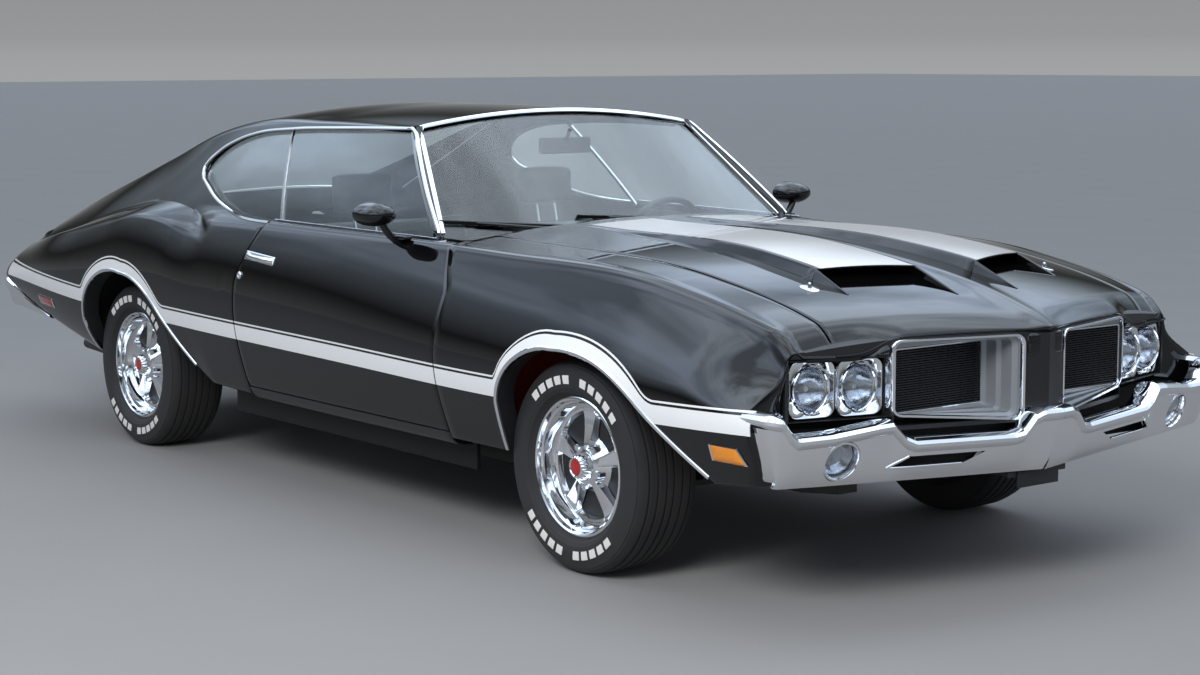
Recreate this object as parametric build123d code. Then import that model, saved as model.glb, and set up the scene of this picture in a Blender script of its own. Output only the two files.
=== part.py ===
from build123d import *
import math
import os

os.makedirs("parts", exist_ok=True)

# Frame: X forward, Y to the car's left, Z up, origin on the ground at mid length and mid width. All in mm.

# Overall sizes
LENGTH = 5171
WHEELBASE = 2845
FRONT_AXLE_X = 1475
REAR_AXLE_X = FRONT_AXLE_X - WHEELBASE
FRONT_TRACK = 1516
REAR_TRACK = 1499

# Wheels
TYRE_RADIUS = 320
TYRE_WIDTH = 236
RIM_LIP_RADIUS = 208
RIM_WIDTH = 196
RIM_BARREL_RADIUS = 183
SEAT_RISE = 8
FLANGE = 14
HUB_FACE_DEPTH = 62
HUB_BORE_RADIUS = 31
SPINDLE_GAP = 0.5
SPOKE_COUNT = 5
TYRE_FLATS = 52
WHEEL_Z = TYRE_RADIUS

# Steering knuckles and the arms that carry them
KINGPIN_Y = 668
UPRIGHT_RADIUS = 22
UPRIGHT_Z = (245, 430)
ARM_THICK = 18
ARM_GAP = 0.3
LOWER_ARM_Z = UPRIGHT_Z[0] - ARM_GAP
UPPER_ARM_Z = UPRIGHT_Z[1] + ARM_GAP

# Body sheet and panel gaps
WALL = 26
GAP = 5.5
SEAM = GAP / 2
DOOR_INNER_Y = 800

# Panel lines
HOOD_HALF = 640
COWL_X = 769
DOOR_FRONT_X = 868
DOOR_REAR_X = -404
DOOR_REAR_TOP_X = -326
DOOR_BOTTOM_Z = 352
DECK_FRONT_X = -1720
DECK_REAR_X = -2440
TAIL_X = -2478
SHELF_X = -1632
SEAT_GAP = 0.3
LEDGE = 12

# Plan sweep of the front face: x falls back from the centre line
NOSE_X = 2529
NOSE_SWEEP = 0.293

# Sections of the lower body, front to rear:
# x, sill half width, sill z, waist half width, waist z, shoulder half width, shoulder z, crown z
BODY_SECTIONS = [
    (2560, 850, 400, 905, 560, 770, 640, 765),
    (2300, 880, 385, 938, 565, 782, 765, 850),
    (1820, 886, 350, 956, 575, 788, 882, 935),
    (1000, 884, 330, 960, 585, 812, 922, 978),
    (0, 884, 312, 960, 600, 852, 936, 990),
    (-900, 886, 315, 966, 615, 862, 938, 990),
    (-1500, 890, 345, 970, 620, 838, 925, 975),
    (-2050, 882, 415, 958, 612, 790, 872, 918),
    (TAIL_X, 842, 470, 918, 595, 742, 800, 836),
]
SHOULDER_DROP = 28
SHOULDER_OUT = 18
SHOULDER_IN = 30
WAIST_BULGE = 7
FLANK_BULGE = 20

# Sections of the cabin top: x, belt half width, rail half width, rail z, crown z
ROOF_SECTIONS = [
    (720, 786, 590, 1262, 1322),
    (200, 836, 604, 1277, 1337),
    (-350, 854, 616, 1284, 1343),
    (-800, 857, 619, 1277, 1331),
    (-1100, 852, 619, 1231, 1270),
    (-1450, 832, 617, 1132, 1157),
    (-1800, 784, 612, 1034, 1047),
    (-2150, 700, 600, 938, 948),
]
BELT_Z = 905
PILLAR_BULGE = 16

# Windshield: centre base x, bow in plan, slope
GLASS = 6
SCREEN_BASE_X = 693
SCREEN_BOW = 96
SCREEN_BASE_Z = 948
SCREEN_RAKE = (-386, 329)
SCREEN_HALF = 731

# Rear window: top and base on the centre line, crown across the car, half width between the sails
BACKLIGHT_TOP = (-930, 1302)
BACKLIGHT_BASE = (-1642, 980)
BACKLIGHT_BOW = 40
BACKLIGHT_HALF = 575

# The deck lid lies between the sails and swings clear of them
SAIL_CLEARANCE = 3
DECK_HALF = BACKLIGHT_HALF - SAIL_CLEARANCE

# Recessed cowl between the hood and the windshield
COWL_HALF = 742
COWL_REAR_X = 520
COWL_CROWN_Z = 926
COWL_EDGE_Z = 878
COWL_SHEET = 14

# Side glass outline in side view
SIDE_GLASS_TOP_Z = 1252
GLASS_SPLIT_X = (-523, -296)

parts = {}


def side_face(points):
    """Closed face in the XZ plane from a list of (x, z) points."""
    return make_face(Plane.XZ * Polyline([(x, z) for x, z in points], close=True))


def side_prism(face, y_low, y_high):
    """Pull a side-view face across the car from y_low to y_high."""
    return Pos(0, y_high, 0) * extrude(face, y_high - y_low, dir=(0, -1, 0))


def plan_prism(face, z_low, z_high):
    """Pull a plan-view face up from z_low to z_high."""
    return extrude(Pos(0, 0, z_low) * face, z_high - z_low, dir=(0, 0, 1))


def block(x_low, x_high, y_low, y_high, z_low, z_high):
    """Box by its limits."""
    size = Box(x_high - x_low, y_high - y_low, z_high - z_low)
    return Pos((x_low + x_high) / 2, (y_low + y_high) / 2, (z_low + z_high) / 2) * size


def rod(start, end, radius):
    """Round bar from start to end."""
    start, end = Vector(*start), Vector(*end)
    plane = Plane(origin=start, z_dir=end - start)
    return extrude(plane * Circle(radius), (end - start).length)


def mirrored(shape):
    """The same shape on the other side of the car."""
    return mirror(shape, about=Plane.XZ)


def both(shape):
    """A shape with its mirror image."""
    return [shape, mirrored(shape)]


def section_plane(x):
    """Plane across the car at x."""
    return Plane(origin=(x, 0, 0), x_dir=(0, 1, 0), z_dir=(1, 0, 0))


def body_section(row, inset):
    """Closed section of the lower body, inset from the skin; an inset section runs out below the sill."""
    x, sill, sill_z, waist, waist_z, shoulder, shoulder_z, crown_z = row
    sill, waist, shoulder = sill - inset, waist - inset, shoulder - inset
    shoulder_z, crown_z = shoulder_z - inset, crown_z - inset
    sill_z = sill_z - (60 if inset else 0)
    lip = (shoulder + SHOULDER_OUT, shoulder_z - SHOULDER_DROP)
    top = (shoulder - SHOULDER_IN, shoulder_z + 2)
    roll = ((lip[0] + top[0]) / 2 + 5, (lip[1] + top[1]) / 2 + 9)
    edges = []
    for s in (1, -1):
        side = [
            ThreePointArc(
                (s * sill, sill_z),
                (s * ((sill + waist) / 2 + WAIST_BULGE), (sill_z + waist_z) / 2),
                (s * waist, waist_z),
            ),
            ThreePointArc(
                (s * waist, waist_z),
                (s * ((waist + lip[0]) / 2 + FLANK_BULGE), (waist_z + lip[1]) / 2 + 4),
                (s * lip[0], lip[1]),
            ),
            ThreePointArc((s * lip[0], lip[1]), (s * roll[0], roll[1]), (s * top[0], top[1])),
        ]
        edges.append(side)
    bottom = Line((-sill, sill_z), (sill, sill_z))
    crown = ThreePointArc((top[0], top[1]), (0, crown_z), (-top[0], top[1]))
    loop = [bottom] + edges[0] + [crown] + edges[1]
    return section_plane(x) * make_face(loop)


def body_solid(inset=0):
    """Lower body as one solid."""
    return loft([body_section(row, inset) for row in BODY_SECTIONS])


def roof_section(row, inset):
    """Closed section of the cabin top, inset from the skin."""
    x, belt, rail, rail_z, crown_z = row
    belt, rail, rail_z, crown_z = belt - inset, rail - inset, rail_z - inset, crown_z - inset
    base_z = BELT_Z - 60
    edges = [Line((-belt, base_z), (belt, base_z))]
    for s in (1, -1):
        mid = (s * ((belt + rail) / 2 + PILLAR_BULGE), (base_z + rail_z) / 2)
        edges.append(ThreePointArc((s * belt, base_z), mid, (s * rail, rail_z)))
    edges.append(ThreePointArc((rail, rail_z), (0, crown_z), (-rail, rail_z)))
    return section_plane(x) * make_face(edges)


def screen_wedge(setback):
    """All that lies behind the raked and bowed windshield surface, moved back by setback."""
    centre_x = SCREEN_BASE_X - setback
    low = SCREEN_BASE_Z - 100
    shift = SCREEN_RAKE[0] / SCREEN_RAKE[1]
    base_x = centre_x - 100 * shift
    side_x = base_x - SCREEN_BOW * (900 / SCREEN_HALF) ** 2
    bow = ThreePointArc((side_x, -900), (base_x, 0), (side_x, 900))
    back = Polyline((side_x, 900), (-2600, 900), (-2600, -900), (side_x, -900))
    rise = 520
    footprint = Pos(0, 0, low) * make_face([bow, back])
    length = rise / SCREEN_RAKE[1] * math.hypot(*SCREEN_RAKE)
    return extrude(footprint, length, dir=(SCREEN_RAKE[0], 0, SCREEN_RAKE[1]))


def roof_solid(inset=0, setback=0):
    """Cabin top as one solid, cut by the windshield's surface."""
    return loft([roof_section(row, inset) for row in ROOF_SECTIONS]) & screen_wedge(setback)


def nose_wedge(setback, y_half=1000, tip_x=NOSE_X, sweep=NOSE_SWEEP):
    """All that lies behind a swept front face, moved back by setback."""
    tip = tip_x - setback
    side = tip - sweep * y_half
    outline = Polyline(
        (tip, 0), (side, y_half), (-2700, y_half), (-2700, -y_half), (side, -y_half), close=True)
    return plan_prism(make_face(outline), 100, 1400)


def arch_face(x):
    """Front wheel opening in side view about an axle at x: steep behind, a long falling sweep ahead."""
    back_foot = (x - 300, 250)
    back = (x - 292, 478)
    crown = (x - 25, 668)
    front = (x + 370, 572)
    front_foot = (x + 660, 372)
    edges = [
        Line(back_foot, back),
        ThreePointArc(back, (x - 215, 602), crown),
        ThreePointArc(crown, (x + 195, 648), front),
        Line(front, front_foot),
        Line(front_foot, (front_foot[0] + 60, 250)),
        Line((front_foot[0] + 60, 250), back_foot),
    ]
    return Plane.XZ * make_face(edges)


def rear_arch_face(x):
    """Rear wheel opening in side view about an axle at x: a flatter arc with a falling sweep ahead."""
    back_foot = (x - 335, 250)
    back = (x - 318, 470)
    crown = (x + 90, 690)
    front = (x + 380, 560)
    front_foot = (x + 620, 330)
    edges = [
        Line(back_foot, back),
        ThreePointArc(back, (x - 180, 635), crown),
        ThreePointArc(crown, (x + 250, 655), front),
        Line(front, front_foot),
        Line(front_foot, (front_foot[0] + 60, 250)),
        Line((front_foot[0] + 60, 250), back_foot),
    ]
    return Plane.XZ * make_face(edges)


# The skins that the panels are cut from
body_outer = body_solid(0)
body_inner = body_solid(WALL)
nose_cut = nose_wedge(0)
lower_body = (body_outer - body_inner) & nose_cut

roof_outer = roof_solid(0, 0)
roof_inner = roof_solid(WALL, WALL)

FAR = 1100
well = block(COWL_REAR_X, COWL_X, -COWL_HALF, COWL_HALF, 700, 1200)
body_outer_cowl = body_outer - well


def lid_ledge(x_low, x_high, half, reach=26):
    """Rail that a lid's right edge rests on, just under the lid and joined to the sheet beside it."""
    under = Pos(0, 0, -LEDGE) * body_inner
    strip = block(x_low, x_high, -half - SEAM, -half + reach, 600, 1100)
    rest = (Pos(0, 0, -SEAT_GAP) * body_inner - under) & strip
    root = (body_inner - under) & block(x_low, x_high, -half - SEAM - LEDGE, -half - SEAM, 600, 1100)
    return rest + root


DOOR_SEAM = [(DOOR_FRONT_X, 200), (DOOR_FRONT_X, 790), (752, 960), (752, 1100)]
DOOR_TAIL = [
    (DOOR_REAR_TOP_X, 1100), (DOOR_REAR_TOP_X, 935), (-367, 850), (DOOR_REAR_X, 742), (DOOR_REAR_X, 200)]


def shifted(points, dx):
    """The same side-view points moved along the car."""
    return [(x + dx, z) for x, z in points]


# Fenders
ahead_of_door = side_face(shifted(DOOR_SEAM, SEAM) + [(2700, 1100), (2700, 200)])
fender_zone = side_prism(ahead_of_door, -FAR, -HOOD_HALF - SEAM)
wheel_opening_front = side_prism(arch_face(FRONT_AXLE_X), -FAR, -500)
wheel_opening_rear = side_prism(rear_arch_face(REAR_AXLE_X), -FAR, -500)
fender = (lower_body & fender_zone) - wheel_opening_front
bumper_room = block(2328, 2700, -FAR, 0, 300, 548)
fender = fender - bumper_room
fender = fender + lid_ledge(900, 2150, HOOD_HALF)
parts["fender_right"] = fender
parts["fender_left"] = mirrored(fender)

# Hood with its two scoops
hood_zone = block(COWL_X + GAP, 2700, -HOOD_HALF + SEAM, HOOD_HALF - SEAM, 640, 1200)
hood = lower_body & hood_zone & nose_wedge(0)
NOSE_TOP_Z = 762
LIP_DEPTH = 90
under_lip = nose_wedge(0) - nose_wedge(LIP_DEPTH)
hood = hood - (under_lip & block(2000, 2700, -FAR, FAR, 400, NOSE_TOP_Z + GAP))
SCOOP_INNER = 70
SCOOP_OUTER_REAR = 345
SCOOP_OUTER_FRONT = 425
SCOOP_INNER_FRONT = 124
SCOOP_REAR_X = 850
SCOOP_TIP_X = (2300, 2190)


def scoop_plan(grow):
    """Plan outline of the right scoop, grown on every side."""
    points = [
        (SCOOP_REAR_X - grow, -SCOOP_INNER + grow),
        (SCOOP_TIP_X[0], -SCOOP_INNER_FRONT + grow),
        (SCOOP_TIP_X[1], -SCOOP_OUTER_FRONT - grow),
        (SCOOP_REAR_X - grow, -SCOOP_OUTER_REAR - grow),
    ]
    return make_face(Polyline(points, close=True))


scoop_side = side_face([
    (SCOOP_REAR_X - 60, 900), (SCOOP_REAR_X + 30, 985), (1500, 992), (2075, 918), (2260, 820), (1500, 800)])
scoop = side_prism(scoop_side, -600, 0) & plan_prism(scoop_plan(0), 700, 1100)
scoop = scoop - body_solid(4)
mouth_side = side_face([(1960, 870), (1960, 908), (2500, 908), (2500, 860), (2250, 858)])
mouth = side_prism(mouth_side, -600, 0) & plan_prism(scoop_plan(-16), 700, 1100)
for raised in both(scoop):
    hood = hood + raised
for cut in both(mouth):
    hood = hood - cut
parts["hood"] = hood

# Nose panel with openings for the lamps and the grilles
BEZEL_Y = (480, 775)
BEZEL_Z = (548, 710)
GRILLE_Y = (80, 470)
GRILLE_Z = (520, 750)
NOSE_PANEL_DEPTH = 48
NOSE_PANEL_HALF = 785
NOSE_PANEL_Z = (508, NOSE_TOP_Z)
NOSE_FOOT_Z = 547
nose_band = nose_wedge(0, 790) - nose_wedge(NOSE_PANEL_DEPTH, 790)
nose_panel = nose_band & block(2000, 2600, -NOSE_PANEL_HALF, NOSE_PANEL_HALF, *NOSE_PANEL_Z)
for low, high in ((-NOSE_PANEL_HALF, -474), (-76, 76), (474, NOSE_PANEL_HALF)):
    nose_panel = nose_panel - block(2000, 2700, low, high, 500, NOSE_FOOT_Z)
nose_panel = nose_panel & body_inner
bezel_hole = block(2000, 2600, -BEZEL_Y[1], -BEZEL_Y[0], *BEZEL_Z)
grille_hole = block(2000, 2600, -GRILLE_Y[1], -GRILLE_Y[0], *GRILLE_Z)
for hole in both(bezel_hole) + both(grille_hole):
    nose_panel = nose_panel - hole
parts["nose_panel"] = nose_panel

# Cowl between the hood and the windshield: a recessed panel with a raised shoulder at each end
cowl_under_z = COWL_EDGE_Z - COWL_SHEET
cowl_arc = Plane.YZ * make_face([
    ThreePointArc((-COWL_HALF, COWL_EDGE_Z), (0, COWL_CROWN_Z), (COWL_HALF, COWL_EDGE_Z)),
    Line((COWL_HALF, COWL_EDGE_Z), (COWL_HALF, cowl_under_z)),
    ThreePointArc((COWL_HALF, cowl_under_z), (0, COWL_CROWN_Z - COWL_SHEET), (-COWL_HALF, cowl_under_z)),
    Line((-COWL_HALF, cowl_under_z), (-COWL_HALF, COWL_EDGE_Z)),
])
cowl = Pos(COWL_REAR_X, 0, 0) * extrude(cowl_arc, COWL_X + 40 - COWL_REAR_X, dir=(1, 0, 0))
shoulder = lower_body & block(COWL_REAR_X + 40, COWL_X, -DOOR_INNER_Y + 12, -COWL_HALF, 800, 1100)
shoulder = shoulder + (body_outer & block(COWL_REAR_X + 40, COWL_X, -COWL_HALF - 8, -COWL_HALF, 860, 1100))
shoulder = shoulder - fender_zone
cowl = cowl + shoulder + mirrored(shoulder) - roof_outer
parts["cowl"] = cowl

# Doors
door_side = side_face(shifted(DOOR_SEAM, -SEAM) + shifted(DOOR_TAIL, SEAM))
door_zone = side_prism(door_side, -FAR, -DOOR_INNER_Y) & block(-600, 1000, -FAR, 0, DOOR_BOTTOM_Z, 1100)
DOOR_RELIEF = 16
door = body_outer & door_zone
tail_line_x = DOOR_REAR_X + SEAM
relief_face = make_face(Polyline(
    (tail_line_x - 100, -940), (tail_line_x, -940),
    (tail_line_x + DOOR_RELIEF, -780), (tail_line_x - 100, -780),
    close=True))
door = door - plan_prism(relief_face, 200, 820)
top_relief = make_face(Polyline(
    (-500, -930), (-330, -930), (DOOR_REAR_TOP_X + SEAM + DOOR_RELIEF, -780), (-500, -780), close=True))
door = door - plan_prism(top_relief, 820, 1020)
parts["door_right"] = door
parts["door_left"] = mirrored(door)

# Quarter panels with the rockers under the doors
behind_door = side_face(shifted(list(reversed(DOOR_TAIL)), -SEAM) + [(-2700, 1100), (-2700, 200)])
quarter_zone = side_prism(behind_door, -FAR, -DECK_HALF - SEAM)
quarter = (lower_body & quarter_zone) - wheel_opening_rear
quarter = quarter - block(-2600, -2450, -DECK_HALF, 0, 0, 1000)
quarter = quarter - block(DECK_FRONT_X + 60, 600, -760, 0, 800, 1200)
rocker = body_outer & block(DOOR_REAR_X - 60, DOOR_FRONT_X + 200, -FAR, -780, 300, DOOR_BOTTOM_Z - GAP)
rocker = rocker - wheel_opening_front - fender_zone
sill_seal = block(DOOR_REAR_X + 40, DOOR_FRONT_X - 40, -DOOR_INNER_Y - 14, -DOOR_INNER_Y - 2,
                  DOOR_BOTTOM_Z - GAP, DOOR_BOTTOM_Z - SEAT_GAP)
rocker = rocker + sill_seal
quarter = quarter + (rocker - quarter)
quarter = quarter + lid_ledge(DECK_REAR_X + 60, DECK_FRONT_X - 60, DECK_HALF)
parts["quarter_right"] = quarter
parts["quarter_left"] = mirrored(quarter)

# Deck lid, shelf panel ahead of it, and the tail panel
deck_band = lower_body & block(
    DECK_REAR_X, DECK_FRONT_X - GAP, -DECK_HALF + SEAM, DECK_HALF - SEAM, 700, 1100)
parts["deck_lid"] = deck_band
shelf_half = DECK_HALF + SEAM
shelf = lower_body & block(DECK_FRONT_X, SHELF_X, -shelf_half, shelf_half, 800, 1100)
SHELF_HALF = 560
SHELF_SHEET = 12
SHELF_Z = 900
SHELF_FRONT_X = -1190
shelf = shelf + (body_outer & block(SHELF_X - SHELF_SHEET, SHELF_X, -SHELF_HALF, SHELF_HALF, SHELF_Z, 1100))
shelf = shelf + block(SHELF_X, SHELF_FRONT_X, -SHELF_HALF, SHELF_HALF, SHELF_Z, SHELF_Z + SHELF_SHEET)
shelf = shelf + block(SHELF_X - SHELF_SHEET, SHELF_X, -SHELF_HALF, SHELF_HALF, SHELF_Z, SHELF_Z + 30)
parts["rear_shelf"] = shelf
tail_zone = block(TAIL_X, DECK_REAR_X - GAP, -900, 900, 560, 1000)
tail = (body_outer & tail_zone) - quarter - mirrored(quarter)
LAMP_Y = (330, 700)
LAMP_Z = (650, 740)
LAMP_CORNER = 22
LAMP_PROUD = 3
LAMP_DEPTH = 22
lamp_outline = Plane.YZ * Pos(-sum(LAMP_Y) / 2, sum(LAMP_Z) / 2) * RectangleRounded(
    LAMP_Y[1] - LAMP_Y[0], LAMP_Z[1] - LAMP_Z[0], LAMP_CORNER)
tail_lamp = Pos(TAIL_X - LAMP_PROUD, 0, 0) * extrude(lamp_outline, LAMP_PROUD + LAMP_DEPTH, dir=(1, 0, 0))
for lamp in both(tail_lamp):
    tail = tail - lamp
parts["tail_panel"] = tail
parts["tail_lamps"] = Compound(both(tail_lamp))

# Roof with its pillars, and the glass
side_opening_points = [
    (548, 880), (548, 950), (190, SIDE_GLASS_TOP_Z + 6), (-560, SIDE_GLASS_TOP_Z - 4), (-760, 1215),
    (-1010, 1110), (-1000, 1080), (-880, 985), (-760, 930), (-740, 880)]
side_opening = side_prism(side_face(side_opening_points), -FAR, -300)
screen_hole_face = make_face(Plane.YZ * Polyline(
    [(-706, 956), (706, 956), (572, 1262), (-572, 1262)], close=True))
screen_hole = Pos(100, 0, 0) * extrude(screen_hole_face, 800, dir=(1, 0, 0))
rear_hole = block(-2200, BACKLIGHT_TOP[0], -BACKLIGHT_HALF, BACKLIGHT_HALF, 800, 1400)
sail_wall = roof_outer & block(
    -2200, BACKLIGHT_TOP[0] - 1, -BACKLIGHT_HALF - WALL, -BACKLIGHT_HALF, 900, 1400)
roof = roof_outer - roof_inner - body_outer_cowl
roof = roof + (sail_wall - body_outer) + (mirrored(sail_wall) - body_outer)
for hole in (side_opening, mirrored(side_opening), screen_hole, rear_hole):
    roof = roof - hole
roof = roof & block(-2160, 720, -FAR, FAR, 900, 1400)
parts["roof"] = roof

glass_band = roof_solid(7, 7) - roof_solid(7 + GLASS, 7 + GLASS) - body_outer_cowl
windshield = glass_band & screen_hole & block(100, 800, -FAR, FAR, 900, 1400)
parts["windshield"] = max(windshield.solids(), key=lambda solid: solid.volume)
top_x, top_z = BACKLIGHT_TOP
run, fall = BACKLIGHT_BASE[0] - top_x, BACKLIGHT_BASE[1] - top_z
edge_z = top_z - BACKLIGHT_BOW
backlight_arc = Plane.YZ * make_face([
    ThreePointArc((-BACKLIGHT_HALF, edge_z), (0, top_z), (BACKLIGHT_HALF, edge_z)),
    Line((BACKLIGHT_HALF, edge_z), (BACKLIGHT_HALF, edge_z - GLASS)),
    ThreePointArc((BACKLIGHT_HALF, edge_z - GLASS), (0, top_z - GLASS), (-BACKLIGHT_HALF, edge_z - GLASS)),
    Line((-BACKLIGHT_HALF, edge_z - GLASS), (-BACKLIGHT_HALF, edge_z)),
])
backlight = extrude(Pos(top_x, 0, 0) * backlight_arc, math.hypot(run, fall), dir=(run, 0, fall))
parts["rear_window"] = backlight - body_outer
GLASS_GAP = 6
door_glass_points = [
    (540, 880), (540, 951), (182, SIDE_GLASS_TOP_Z - 2),
    (GLASS_SPLIT_X[0] + GLASS_GAP, SIDE_GLASS_TOP_Z - 12),
    (GLASS_SPLIT_X[1] + GLASS_GAP, 940), (GLASS_SPLIT_X[1] + GLASS_GAP, 880)]
quarter_glass_points = [
    (GLASS_SPLIT_X[1] - GLASS_GAP, 880), (GLASS_SPLIT_X[1] - GLASS_GAP, 940),
    (GLASS_SPLIT_X[0] - GLASS_GAP, 1240), (-560, SIDE_GLASS_TOP_Z - 4), (-760, 1215), (-1010, 1110),
    (-1000, 1080), (-880, 985), (-760, 930), (-740, 880)]
door_glass = (glass_band & side_prism(side_face(door_glass_points), -FAR, -300)) - screen_hole
quarter_glass = glass_band & side_prism(side_face(quarter_glass_points), -FAR, -300)
parts["door_glass_right"] = door_glass
parts["door_glass_left"] = mirrored(door_glass)
parts["quarter_glass"] = Compound(both(quarter_glass))

# Mirrors: a tapering head on a slanted foot
MIRROR_FOOT = ((505, -838, 900), (500, -905, 985))
MIRROR_FOOT_RADIUS = 14
MIRROR_SPOT = (490, -912, 1012)
MIRROR_HALF_WIDTH = 60
MIRROR_HALF_HEIGHT = 38
MIRROR_REAR = 45
MIRROR_LENGTH = 105
MIRROR_TAPER = 15
mirror_glass = Plane.YZ.offset(-MIRROR_REAR) * SlotOverall(MIRROR_HALF_WIDTH * 2, MIRROR_HALF_HEIGHT * 2)
mirror_head = Pos(*MIRROR_SPOT) * extrude(mirror_glass, MIRROR_LENGTH, taper=MIRROR_TAPER)
door_mirror = mirror_head + rod(*MIRROR_FOOT, MIRROR_FOOT_RADIUS) - body_outer
parts["mirror_right"] = door_mirror
parts["mirror_left"] = mirrored(door_mirror)

# Headlamps in their bezels
LAMP_RADIUS = 72
LAMP_SPOTS = (701, 554)
LAMP_CENTRE_Z = 630
LAMP_CAN = (-110, -18)
BEZEL_DEPTH = (10, 40)
lamp_shapes = []
bezel = (nose_wedge(BEZEL_DEPTH[0]) - nose_wedge(BEZEL_DEPTH[1])) & bezel_hole
for y in LAMP_SPOTS:
    front = NOSE_X - NOSE_SWEEP * y
    can_ends = [(front + reach, -y, LAMP_CENTRE_Z) for reach in LAMP_CAN]
    bore_ends = [(front + reach, -y, LAMP_CENTRE_Z) for reach in (-200, 60)]
    bezel = bezel - rod(*bore_ends, LAMP_RADIUS)
    lamp_shapes += both(rod(*can_ends, LAMP_RADIUS))
parts["headlamps"] = Compound(lamp_shapes)
parts["headlamp_bezels"] = Compound(both(bezel))

# Grilles: a frame with a sloped surround and a block of thin bars
BAR_COUNT = 17
BAR_THICK = 4
BAR_DEPTH = (14, 40)
SURROUND_DEPTH = (-6, 46)
SURROUND_OUTER = 22
SURROUND_INNER = 80
SURROUND_BOTTOM = 52
SURROUND_TOP = 20
grille_box = block(2000, 2700, -GRILLE_Y[1], -GRILLE_Y[0], *GRILLE_Z)
surround = (nose_wedge(SURROUND_DEPTH[0]) - nose_wedge(SURROUND_DEPTH[1])) & grille_box
bars_low = GRILLE_Z[0] + SURROUND_BOTTOM
bars_high = GRILLE_Z[1] - SURROUND_TOP
core = block(2000, 2700, -GRILLE_Y[1] + SURROUND_OUTER, -GRILLE_Y[0] - SURROUND_INNER, bars_low, bars_high)
grille = surround - core
bar_zone = (nose_wedge(BAR_DEPTH[0]) - nose_wedge(BAR_DEPTH[1])) & core
pitch = (bars_high - bars_low) / (BAR_COUNT + 1)
for i in range(BAR_COUNT):
    z = bars_low + pitch * (i + 1)
    grille = grille + (bar_zone & block(2000, 2700, -600, 0, z - BAR_THICK / 2, z + BAR_THICK / 2))
parts["grilles"] = Compound(both(grille))

# Front bumper: a swept bar with a step down under each grille, lamp bores and a lower apron
BUMPER_NOSE_X = LENGTH / 2
BUMPER_SWEEP = 0.19
BUMPER_DEPTH = 70
BUMPER_END_Y = 935
BUMPER_TOP_Z = 545
BUMPER_STEP_Z = 505
BUMPER_STEP_Y = (72, 500)
BUMPER_STEP_RUN = 26
APRON_Z = (400, 436)
APRON_HALF = 800
APRON_DEPTH = 24
APRON_SETBACK = 30
APRON_DROP = 36
bumper_front = nose_wedge(0, 1000, BUMPER_NOSE_X, BUMPER_SWEEP)
bumper_back = nose_wedge(BUMPER_DEPTH, 1000, BUMPER_NOSE_X, BUMPER_SWEEP)
bar_shape = bumper_front - bumper_back
bar_shape = bar_shape + (bumper_back - nose_wedge(-6)) & block(0, 2700, -1000, 1000, 300, BUMPER_STEP_Z)
half_bar = bar_shape & block(1800, 2700, -BUMPER_END_Y, 0, 300, 700)
step_low, step_high = BUMPER_STEP_Y
bumper_outline = [
    (-BUMPER_END_Y, APRON_Z[1]), (-BUMPER_END_Y, BUMPER_TOP_Z), (-step_high, BUMPER_TOP_Z),
    (-step_high + BUMPER_STEP_RUN, BUMPER_STEP_Z), (-step_low - 7, BUMPER_STEP_Z), (-step_low, BUMPER_TOP_Z),
    (0, BUMPER_TOP_Z), (0, APRON_Z[0] + 20), (-400, APRON_Z[0]), (-800, APRON_Z[0])]
bumper_face = make_face(Plane.YZ * Polyline(bumper_outline, close=True))
half_bar = half_bar & extrude(bumper_face, 2800, dir=(1, 0, 0))
BUMPER_LAMP_Y = 634
BUMPER_LAMP_Z = 465
LAMP_BORE = 62
lamp_x = BUMPER_NOSE_X - BUMPER_SWEEP * BUMPER_LAMP_Y - BUMPER_DEPTH
apron_zone = block(2000, 2700, -APRON_HALF, 0, APRON_Z[0] - APRON_DROP, APRON_Z[0] + APRON_DROP / 2)
apron = (bumper_front - nose_wedge(APRON_DEPTH, 1000, BUMPER_NOSE_X, BUMPER_SWEEP)) & apron_zone
half_bar = half_bar + Pos(-APRON_SETBACK, 0, 0) * apron
bore_ends = [(lamp_x + reach, -BUMPER_LAMP_Y, BUMPER_LAMP_Z) for reach in (-200, 200)]
half_bar = half_bar - rod(*bore_ends, LAMP_BORE)
bumper = half_bar + mirrored(half_bar)
parts["front_bumper"] = bumper
front_bumper = bumper
lamp_ends = [(lamp_x + reach, -BUMPER_LAMP_Y, BUMPER_LAMP_Z) for reach in (-12, 20)]
parts["bumper_lamps"] = Compound(both(rod(*lamp_ends, LAMP_BORE)))

# Rear bumper
REAR_BUMPER_HALF = 905
REAR_BUMPER_Z = (455, 590)
REAR_BUMPER_ROUND = 30
rear_bar = block(-LENGTH / 2, TAIL_X, -REAR_BUMPER_HALF, REAR_BUMPER_HALF, *REAR_BUMPER_Z)
rear_bar = fillet(rear_bar.edges().filter_by(Axis.Y).group_by(Axis.X)[0], REAR_BUMPER_ROUND)
parts["rear_bumper"] = rear_bar

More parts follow.
